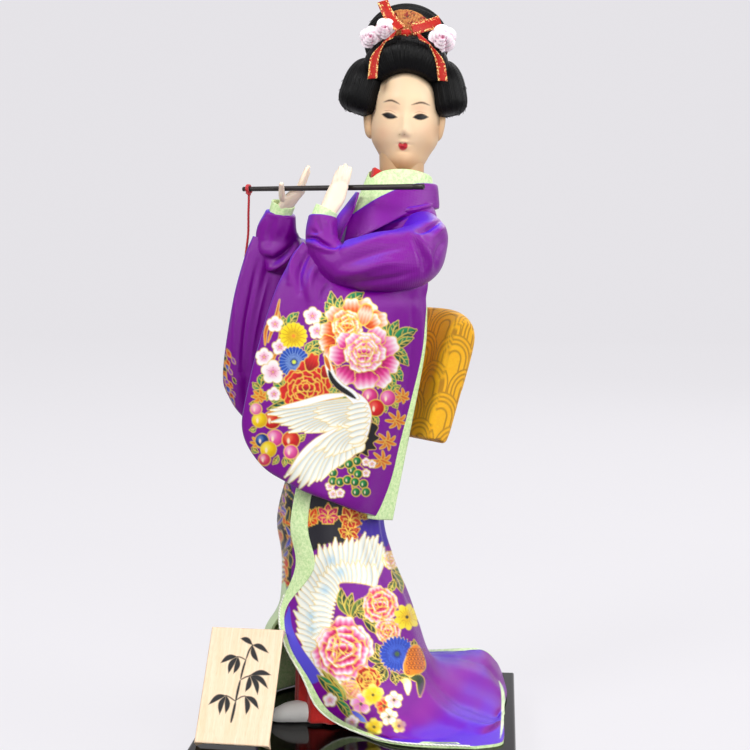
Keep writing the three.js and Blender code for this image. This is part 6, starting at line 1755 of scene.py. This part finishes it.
hair_ball("hair_wing_left", (16.2, 1.6, 42.4), (7.6, 10.6, 12.4), -14, "y", "z", "wing_left", shape=drooping, strays=46)
hair_ball("hair_wing_right", (-18.0, 1.6, 41.8), (8.6, 11, 12.6), 17, "y", "z", "wing_right", shape=drooping, strays=46)
hair_ball("hair_nape", (-0.5, 20.5, 37), (12, 7.5, 10.5), -18, "x", "z", "nape_roll", strays=20)
hair_ball("hair_topknot", (-1.2, 5, 61.8), (17.2, 8.5, 15.6), -6, "x", "x", "topknot", strays=14)
roll_stations = [(-14, -3.2, 48.6, 6.6, 5), (-9.4, -8.4, 53, 7.2, 5.6), (-0.6, -10.6, 55.3, 7.4, 5.8),
                 (8.4, -8.4, 53.2, 7.2, 5.6), (12.8, -3.2, 49, 6.6, 5)]
roll = spline(np.array(roll_stations), 230)
roll_run = np.concatenate([[0], np.cumsum(np.linalg.norm(np.diff(roll[:, :3], axis=0), axis=1))])[:, None]


def roll_section(place, angle):
    ends = np.sqrt(np.clip(1 - ((np.abs(place - 0.5) - 0.38) / 0.12).clip(0, 1) ** 2, 0.02, 1))
    comb_out = combed(roll_run + 0.6 * np.sin(angle))
    return (roll[:, 3:4] * ends + comb_out, roll[:, 4:5] * ends + comb_out)


front_roll = tube("hair_front_roll", on_head(roll[:, :3]), roll_section, sides=110, across=(0, 0, 1),
                  finish=thread_black)
mark(front_roll, strand=np.repeat(roll_run, 110))
stands_for(front_roll, "head", "front_roll")

# A little pleated paper fan stands before the topknot, printed in red and brown on tan.
# It is one strip of paper in narrow folds, pinched at its foot and glued into the hair.
fan_radius, fan_from, fan_to, fan_folds = 13, 30, 176, 22
fan_steps = fan_folds * 6
angle = np.radians(np.linspace(fan_from, fan_to, fan_steps + 1))[:, None]
reach = np.linspace(0.06, 1, 41)[None, :] * fan_radius
zigzag = 2 * np.abs((np.linspace(0, fan_folds, fan_steps + 1) % 1) - 0.5) - 0.5
pleat = 0.34 * zigzag[:, None] * (0.3 + reach / fan_radius)
fan_points = np.stack([reach * np.cos(angle) - 2.2, pleat - 5.6 + 0 * angle, reach * np.sin(angle) + 60.2], -1)
fan_paper, tree, shader = material("printed_fan_paper", Roughness=0.6)
where = node(tree, "TexCoord").outputs["Object"]
lengths = node(tree, "Attribute", attribute_name="weave")
split = node(tree, "SeparateXYZ", {0: lengths.outputs["Vector"]})
rib_pitch = 1.4
ribs = node(tree, "Math", {0: split.outputs[0], 1: 2 * math.pi / rib_pitch}, operation="MULTIPLY")
ribs = node(tree, "Math", {0: ribs}, operation="SINE")
ribs = node(tree, "MapRange", {"Value": ribs, "From Min": 0.55, "From Max": 1.0})
specks = node(tree, "TexNoise", {"Vector": where, "Scale": 520.0, "Detail": 3.0, "Roughness": 0.7})
red_specks = node(tree, "MapRange", {"Value": specks, "From Min": 0.53, "From Max": 0.6})
paper_tint = node(tree, "Mix", {0: red_specks, 6: colour("#C88440"), 7: colour("#8E2014")}, data_type="RGBA")
dark_specks = node(tree, "TexNoise", {"Vector": where, "Scale": 800.0, "Detail": 2.0})
dark_specks = node(tree, "MapRange", {"Value": dark_specks, "From Min": 0.6, "From Max": 0.66})
paper_tint = node(tree, "Mix", {0: dark_specks, 6: paper_tint, 7: colour("#4A2A1C")}, data_type="RGBA")
rib_share = node(tree, "Math", {0: ribs, 1: 0.55}, operation="MULTIPLY")
node(tree, "Mix", {0: rib_share, 6: paper_tint, 7: colour("#B83C20")}, to=shader.inputs["Base Color"], data_type="RGBA")
node(tree, "Bump", {"Height": specks, "Strength": 0.15, "Distance": 0.0002}, to=shader.inputs["Normal"])
fan = cloth("paper_fan", on_head(fan_points), 0.35, on_head([[-2, 30, 66]])[0], [fan_paper], coarse=1)
stands_for(fan, "head", "hair_fan")

# Red ribbon with glittering gold edges: two loops stand up over the fan, and two tails hang by the front roll.
# A knot of the same ribbon is drawn tight over them and fixed to the wig.
ribbon_red, tree, shader = material("glitter_edged_ribbon", Roughness=0.45, Sheen_Weight=0.04, Specular_IOR_Level=0.25)
lengths = node(tree, "Attribute", attribute_name="weave")
split = node(tree, "SeparateXYZ", {0: lengths.outputs["Vector"]})
rim = node(tree, "Math", {0: split.outputs[1]}, operation="ABSOLUTE")
rim = node(tree, "MapRange", {"Value": rim, "From Min": 0.5, "From Max": 0.72})
where = node(tree, "TexCoord").outputs["Object"]
glint = node(tree, "TexVoronoi", {"Vector": where, "Scale": 1500.0})
sparkle = node(tree, "MapRange", {"Value": glint.outputs["Distance"], "From Min": 0.62, "From Max": 0.3})
edge_glint = node(tree, "Math", {0: rim, 1: sparkle}, operation="MULTIPLY")
flake = node(tree, "TexNoise", {"Vector": where, "Scale": 1300.0, "Detail": 2.0})
flake = node(tree, "MapRange", {"Value": flake, "From Min": 0.68, "From Max": 0.74})
glitter = node(tree, "Math", {0: edge_glint, 1: flake}, operation="MAXIMUM")
woven = node(tree, "TexNoise", {"Vector": where, "Scale": 1000.0, "Detail": 2.0})
ground = node(tree, "Mix", {0: woven, 6: colour("#980A04"), 7: colour("#C81C06")}, data_type="RGBA")
node(tree, "Mix", {0: glitter, 6: ground, 7: colour("#FFDC8C")}, to=shader.inputs["Base Color"], data_type="RGBA")
node(tree, "Math", {0: glitter, 1: 0.25}, to=shader.inputs["Metallic"], operation="MULTIPLY")
node(tree, "Bump", {"Height": glitter, "Strength": 0.6, "Distance": 0.0003}, to=shader.inputs["Normal"])


def ribbon(name, path, cad, width=3.8, curl=0.25):
    """A strip of ribbon along places whose last two numbers give its side's way, left and up."""
    path = spline(np.array(path, float), 64)
    side = unit(np.stack([path[:, 3], 0 * path[:, 3], path[:, 4]], -1))
    t = np.linspace(-1, 1, 17)
    strip = path[:, None, :3] + side[:, None] * (t * width / 2)[None, :, None]
    strip = strip - np.array([0, 1, 0]) * (curl * (1 - t ** 2))[None, :, None]
    lengths = np.stack(np.broadcast_arrays(np.linspace(0, 24, 65)[:, None], t, 0.0), -1)
    made = cloth(name, on_head(strip), 0.35, on_head([[0, 40, 60]])[0], [ribbon_red], coarse=2, weave=lengths)
    stands_for(made, "head", cad)


ribbon("ribbon_loop_right", [(-3.4, -15.6, 64.4, 1, 0.6), (-6.6, -11.5, 67.6, 1, 0.7), (-9.4, -8.8, 71.6, 1, 0.5),
                             (-11.4, -7.6, 75.8, 1, 0.35)],
       "ribbon_loop_right", 4.4)
ribbon("ribbon_loop_left", [(1.2, -14.6, 64.4, -0.3, 1), (5, -11.6, 66, -0.4, 1), (9, -9.2, 67.6, -0.4, 1),
                            (12, -8.2, 69, -0.4, 1)],
       "ribbon_loop_left", 4.6)
ribbon("ribbon_tail_right", [(-5.4, -16.6, 62, 0.5, 1), (-10, -15, 58.4, 1, 0.8), (-13, -14.4, 53, 1, 0.25),
                             (-13.6, -14.4, 44.6, 1, 0.1)],
       "ribbon_tail_right")
ribbon("ribbon_tail_left", [(3.2, -16.6, 61.8, -0.5, 1), (8.2, -15.2, 58.8, -1, 0.8), (12.4, -14.4, 53, -1, 0.2),
                            (14.2, -14.2, 45, -1, 0)],
       "ribbon_tail_left")
way = globe(40, 56)
knot_shape = way * (2.0, 1.0, 1.5) * (1 + 0.10 * np.cos(5 * np.arctan2(way[..., 2], way[..., 0]))[..., None]
                                      * (1 - way[..., 1:2] ** 2))
knot = ringed("ribbon_knot", on_head(knot_shape + (-1.2, -17, 62.8)), ribbon_red)
mark(knot, weave=np.abs(way[..., 2:]) * (0, 0.9, 0))
stands_for(knot, "head", "ribbon_knot")

# Roses rolled from pale pink satin ribbon: a coiled heart inside folded petals; their deeper pink towards each petal's
# foot and along one side is painted shade.
# Each is stitched through its foot and glued beside the topknot.
rose_satin, tree, shader = material("pale_pink_satin_ribbon", Roughness=0.45, Sheen_Weight=0.3, Specular_IOR_Level=0.5)
lengths = node(tree, "Attribute", attribute_name="weave")
split = node(tree, "SeparateXYZ", {0: lengths.outputs["Vector"]})
where = node(tree, "TexCoord").outputs["Object"]
threads = node(tree, "TexWave", {"Vector": where, "Scale": 600.0, "Distortion": 1.5})
textured(tree, shader, split.outputs[1], "#EE94BC", "#FFF6FB", 0.12, 0.0002, height=threads)


def rose(name, middle, radius, turn):
    """A ribbon rose that faces forwards: curved petals in rings round a coiled heart."""
    petals = []
    a = np.linspace(-1, 1, 25)[:, None]
    b = np.linspace(0, 1, 17)[None, :]
    for ring, (count, inner, outer, base, rise, spread) in enumerate([
        (5, 0.35, 1.08, -0.3, 0.42, 0.72), (4, 0.22, 0.8, 0.0, 0.55, 0.85), (3, 0.12, 0.54, 0.25, 0.62, 1.1),
        (2, 0.03, 0.3, 0.45, 0.6, 1.6),
    ]):
        for i in range(count):
            bearing = turn + 2 * np.pi * (i + 0.4 * ring) / count + a * spread
            lip = b ** 1.4
            curled_edge = 0.09 * radius * (b > 0.9) * (1 - a ** 2)
            reach = radius * (inner + (outer - inner) * lip * (1 - 0.13 * a ** 2)) + curled_edge
            out = radius * (base + rise * np.sin(b * np.pi / 2) * (1 - 0.3 * a ** 2) - 0.6 * np.clip(b - 0.75, 0, 1)
                            + 0.13 * a * b)
            local = np.stack([reach * np.cos(bearing), -out, reach * np.sin(bearing)], -1) + np.array(middle, float)
            # painted shade: pinker towards the petal's foot and a little on one side
            painted_depth_shade = (b ** 1.3 * (1 - 0.25 * (a < -0.6)))[..., None] * (0, 1, 0)
            petals.append(cloth("petal", on_head(local), 0.22, on_head([np.array(middle) + (0, 12, 0)])[0],
                                [rose_satin],
                                coarse=2, weave=painted_depth_shade))
    back = globe(16, 24) * radius * (0.8, 0.35, 0.8) + np.array(middle) + (0, 0.1 * radius, 0)
    base_piece = ringed("rose_base", on_head(back), rose_satin)
    mark(base_piece, weave=np.full(back.shape, 0.2))
    made = join(petals + [base_piece], name)
    stands_for(made, "head", name)


rose("rose_right_outer", (-15.2, -9, 61.2), 4.0, 0.2)
rose("rose_right_inner", (-9.6, -12.2, 64.6), 3.6, 0.9)
rose("rose_left", (13.2, -10.4, 61.8), 4.9, 0.5)

# The hands are moulded vinyl like the head, with the fingers nearly closed, pushed on the arms' wires.
# Each is built from short limbs that are melted together, and leaves a clear way for the flute.
flute_room = 0.45


def limb(stations, across, sides=20, steps=14):
    """A rounded limb through stations of place, width and depth; its ends are domed."""
    line = spline(np.array([s[:5] if len(s) > 4 else tuple(s[:3]) + (s[3], s[3]) for s in stations], float), steps)
    first, last = line[:1].copy(), line[-1:].copy()
    way = unit(line[-1, :3] - line[-2, :3])
    caps = []
    for share in (0.35, 0.7, 0.93):
        cap = last.copy()
        cap[0, :3] += way * last[0, 3:].mean() * share
        cap[0, 3:] *= math.sqrt(1 - share ** 2)
        caps.append(cap)
    line = np.concatenate([line] + caps)
    return tube("limb", line[:, :3], lambda place, angle: (line[:, 3:4] + 0 * angle, line[:, 4:5] + 0 * angle), sides,
                across=tuple(across))


def melted(pieces, name, finish, voxel=0.26, rounds=6):
    """Joins closed pieces into one skin and softens it."""
    made = join(pieces, name)
    for kind, settings in [("REMESH", {"mode": "VOXEL", "voxel_size": voxel * mm}),
                           ("SMOOTH", {"factor": 0.5, "iterations": rounds})]:
        change = made.modifiers.new(kind.lower(), kind)
        for key, value in settings.items():
            setattr(change, key, value)
        bpy.ops.object.modifier_apply(modifier=change.name)
    made.data.materials.clear()
    made.data.materials.append(finish)
    bpy.ops.object.shade_smooth()
    return made


def clear_of_flute(spots):
    """Keeps places in millimetres out of the flute and a little room round it."""
    from_flute = spots - flute_middle
    along = (from_flute @ flute_along)[:, None] * flute_along
    off = from_flute - along
    away = np.linalg.norm(off, axis=1, keepdims=True)
    return flute_middle + along + off * np.maximum(1, (flute_radius + flute_room) / np.maximum(away, 1e-6))


def hand(name, cad, wrist, palm, knuckle, tips, thumb, root_span, finger):
    across = unit(np.array(tips[-1], float) - np.array(tips[0], float))
    pieces = [limb([wrist + (2.8, 2.4), palm + (4.1, 2.2), knuckle + (root_span / 2 + 1.1, 1.75)], across)]
    for i, tip in enumerate(tips):
        root = np.array(knuckle, float) + across * (i / (len(tips) - 1) - 0.5) * root_span
        bend = (root + np.array(tip)) / 2 + np.array((0, -0.35, 0))
        pieces.append(limb([tuple(root) + (1.3 * finger,), tuple(bend) + (1.15 * finger,), tip + (0.92 * finger,)],
                           across))
    pieces.append(limb([palm + (1.7,), thumb[0] + (1.45,), thumb[1] + (1.0,)], across))
    for piece in pieces:
        move(piece, lambda spots: spots + up_deck)
    made = melted(pieces, name, skin)
    move(made, clear_of_flute)
    stands_for(made, "doll", cad)


hand("near_hand", "left_hand", (-12, -30, 206.4), (-8.4, -27.8, 213), (-6.2, -26.2, 218.8),
     [(-7.2, -25.2, 223.7), (-5.9, -25.4, 225.4), (-4.1, -25.4, 226.2), (-2.3, -25, 225.1)],
     [(-8.8, -24, 218.2), (-8, -20.6, 220.6)],
     5.0, 1.06)
hand("far_hand", "right_hand", (-32.4, -7, 207.6), (-28.6, -10.2, 212.8), (-24.2, -10.6, 217.2),
     [(-21.6, -8.6, 222.6), (-20.6, -10, 224.6), (-20.4, -11.6, 226.4), (-21, -12.6, 225.6)],
     [(-30.6, -13.8, 214.4), (-30.3, -18.4, 219.4)],
     4.6, 0.92)

# White cotton socks with a split toe cover the moulded feet, which the stand's rod and pin hold to the plinth.
# A seam runs round each sole, and the cloth is pulled tight over the foot.
sock_white, tree, shader = material("white_cotton_sock", Roughness=0.8, Sheen_Weight=0.3)
where = node(tree, "TexCoord").outputs["Object"]
knit = node(tree, "TexWave", {"Vector": where, "Scale": 520.0, "Distortion": 0.6}, bands_direction="Z")
wrinkle = node(tree, "TexNoise", {"Vector": where, "Scale": 140.0, "Detail": 3.0})
height = node(tree, "Math", {0: knit, 1: 0.2, 2: wrinkle}, operation="MULTIPLY_ADD")
textured(tree, shader, wrinkle, "#DCDAD6", "#FBFAF7", 0.35, 0.0006, height=height)
foot_length, foot_width, foot_height = 25, 9, 9


def sock(name, cad, heel, direction, big_toe):
    """A foot in its sock; big_toe is the side of the big toe, 1 or -1."""
    way = np.array([direction[0], direction[1], 0])
    half = foot_width / 2
    stations = [(-3.4, 0.40, 0.35, 0.2), (-2.6, 0.42, 0.62, 0.36), (0, 0.46, 0.78, 0.46),
                (foot_length * 0.24, 0.5, 0.86, 0.5),
                (foot_length * 0.42, 0.47, 1.0, 0.47), (foot_length * 0.56, 0.38, 0.9, 0.4),
                (foot_length * 0.68, 0.28, 0.66, 0.3),
                (foot_length * 0.74, 0.22, 0.4, 0.2), (foot_length * 0.76, 0.2, 0.15, 0.08)]
    rows = spline(np.array(stations), 90)
    line = np.array([heel[0], heel[1], 0]) + rows[:, :1] * way + rows[:, 1:2] * (0, 0, foot_height)

    def section(place, angle):
        split = np.exp(-(((np.cos(angle) * big_toe - 0.35) / 0.1) ** 2)) * np.clip((place - 0.68) / 0.12, 0, 1)
        seam = np.exp(-(((np.sin(angle) + 0.55) / 0.06) ** 2))
        grow = 1 - 0.2 * split - 0.03 * seam
        return (rows[:, 2:3] * half * grow, rows[:, 3:4] * foot_height * grow)

    made = tube(name, line + (0, 0, deck), section, sides=72, across=(-direction[1], direction[0], 0),
                finish=sock_white)
    move(made, lambda spots: np.maximum(spots, (-np.inf, -np.inf, deck + gap)))
    stands_for(made, "doll", cad)


sock("right_sock", "right_foot", (-17.5, -16.1), (-0.998, -0.06), 1)
sock("left_sock", "left_foot", (3, 3), (-0.87, -0.49), -1)

# The flute is a turned wooden rod with a shallow bore at each end, dipped in dark brown lacquer.
# It lies through the bent hands, which hold it by friction.
flute_brown, tree, shader = material("dark_dipped_lacquer", Roughness=0.4, Coat_Weight=0.1, Coat_Roughness=0.2,
                                     Specular_IOR_Level=0.3)
where = node(tree, "TexCoord").outputs["Object"]
streak = node(tree, "TexNoise", {"Vector": where, "Scale": 420.0, "Detail": 3.0})
node(tree, "MapRange", {"Value": streak, "To Min": 0.35, "To Max": 0.5}, to=shader.inputs["Roughness"])
textured(tree, shader, streak, "#0E0A0A", "#2A211E", 0.15, 0.0003)
half_flute = flute_length / 2
bore = 0.62
profile = [(-half_flute + 2, 0.02), (-half_flute + 1.6, bore - 0.05), (-half_flute + 0.06, bore),
           (-half_flute, bore + 0.06),
           (-half_flute, flute_tip_radius - 0.16), (-half_flute + 0.05, flute_tip_radius - 0.04),
           (-half_flute + 0.2, flute_tip_radius)]
for share in np.linspace(0.02, 0.9, 60):
    profile.append((-half_flute + share * flute_length, flute_tip_radius + (flute_radius - flute_tip_radius) * share))
for along, dip in [(-4.6, 0), (-4.3, 0.12), (-4.0, 0.12), (-3.7, 0), (-0.2, 0), (-0.05, 0.05), (0, 0.16)]:
    profile.append((half_flute + along, flute_radius - dip))
profile += [(half_flute, bore + 0.1), (half_flute - 0.06, bore), (half_flute - 2, bore - 0.05),
            (half_flute - 2.2, 0.02)]
profile = np.array(profile)
flute_line = flute_middle + profile[:, :1] * flute_along
turn = np.linspace(0, 2 * np.pi, 48, endpoint=False)
flute_rings = flute_line[:, None] + profile[:, 1, None, None] * (
    np.cos(turn)[:, None] * np.cross((0, 0, 1), flute_along) + np.sin(turn)[:, None] * np.array([0, 0, 1]))
flute = ringed("flute_rod", flute_rings, flute_brown)
stands_for(flute, "flute", "flute")

# The plaque is a planed board of pale cypress with eased edges and an ink drawing brushed on its face.
# The drawing, a sprig of bamboo, is this part's own.
board_width, board_height, board_depth = 30, 47.6, 3.6
board_lean, board_turn = math.radians(35.2), math.radians(-4.3)
board_foot = np.array([-31.4, -53, gap + board_depth * math.sin(board_lean) + deck])
board_across = np.array([math.cos(board_turn), math.sin(board_turn), 0])
board_back = np.array([-math.sin(board_turn) * math.cos(board_lean), math.cos(board_turn) * math.cos(board_lean),
                       -math.sin(board_lean)])
board_up = np.array([-math.sin(board_turn) * math.sin(board_lean), math.cos(board_turn) * math.sin(board_lean),
                     math.cos(board_lean)])
board_x = np.linspace(-board_width, 0, 181)[None, :]
board_z = np.linspace(0, board_height, 287)[:, None]
eased = 0.7
from_edge = np.minimum(np.minimum(-board_x, board_x + board_width), np.minimum(board_z, board_height - board_z))
set_back = eased - np.sqrt(np.maximum(eased ** 2 - np.maximum(eased - from_edge, 0) ** 2, 0))
board_points = (board_foot + board_x[..., None] * board_across + board_z[..., None] * board_up
                + set_back[..., None] * board_back)
board_face = canvas(board_points, -board_back + 0 * board_points)
board_face["weave"] = np.stack(np.broadcast_arrays(board_x, board_z, 0.0), -1).reshape(-1, 3)
ink = ("#050506", "#0C0B10")
for line, width in [
    ([(231, 722), (233.4, 712), (235.4, 702.6)], 2.8), ([(235.8, 700.4), (238, 690), (240.2, 680.6)], 2.5),
    ([(240.7, 678.4), (243, 669), (245.6, 660.6)], 2.2), ([(246.2, 658.8), (249, 651), (252.6, 645)], 1.7),
    ([(241, 679.6), (246, 677), (250.4, 675.6)], 1.4), ([(236, 701.6), (230, 697.4), (226, 695.4)], 1.4),
    ([(246, 660), (241, 657.4), (237.4, 656.6)], 1.3), ([(236.4, 700), (241, 697), (245, 696)], 1.3),
]:
    stroke(board_face, line, width, ink, 0, round_end=0.2)
for line in [
    [(250, 675.4), (260, 679), (268, 688.6)], [(250, 675.6), (256, 683.4), (257.6, 694.6)],
    [(249.4, 675.8), (249, 684), (245.4, 691.6)],
    [(250, 675), (261, 672.6), (271, 675)],
    [(226, 695.4), (217.6, 697.4), (208.6, 704.6)], [(226, 695.6), (221, 704), (219.6, 714.4)],
    [(226.2, 695.4), (227.4, 704), (225.6, 713.4)],
    [(237.4, 656.6), (229, 657.4), (220.6, 663)], [(237.6, 656.8), (231.4, 664), (228.4, 673.4)],
    [(238, 656.8), (237.4, 665), (233.6, 673.6)],
    [(245, 696), (253, 700.4), (258.6, 709)], [(245, 696.2), (247.6, 705), (246, 714.6)],
    [(252.6, 645), (260, 646.6), (268.6, 653)], [(252.4, 645), (253.6, 654), (258.4, 662)],
    [(252.6, 645), (247, 640), (240.6, 638.4)],
]:
    stroke(board_face, line, 5.4, ink, 0, round_end=0.95)
cypress, tree, shader = material("planed_pale_cypress", Roughness=0.62, Specular_IOR_Level=0.35)
lengths = node(tree, "Attribute", attribute_name="weave")
stretch = node(tree, "Mapping", {"Vector": lengths.outputs["Vector"], "Scale": (0.5, 0.03, 1.0)})
rings = node(tree, "TexNoise", {"Vector": stretch, "Scale": 1.4, "Detail": 6.0, "Roughness": 0.6, "Distortion": 0.4})
tint = node(tree, "Mix", {0: rings, 6: colour("#E9BE8C"), 7: colour("#FFEEDA")}, data_type="RGBA")
fibre_place = node(tree, "Mapping", {"Vector": lengths.outputs["Vector"], "Scale": (7.0, 0.3, 1.0)})
fibre = node(tree, "TexNoise", {"Vector": fibre_place, "Scale": 1.0, "Detail": 3.0})
pores = node(tree, "MapRange", {"Value": fibre, "From Min": 0.52, "From Max": 0.75, "To Max": 0.6})
tint = node(tree, "Mix", {0: pores, 6: tint, 7: colour("#D9B284")}, data_type="RGBA")
painted = node(tree, "Attribute", attribute_name="print")
node(tree, "Mix", {0: painted.outputs["Alpha"], 6: tint, 7: painted.outputs["Color"]}, to=shader.inputs["Base Color"],
     data_type="RGBA")
node(tree, "Bump", {"Height": fibre, "Strength": 0.25, "Distance": 0.0003}, to=shader.inputs["Normal"])
board = cloth("cypress_board", board_points, board_depth - 0.02, board_foot + board_back * 60, [cypress], coarse=2,
              side=board_face)
stands_for(board, "plaque", "plaque")
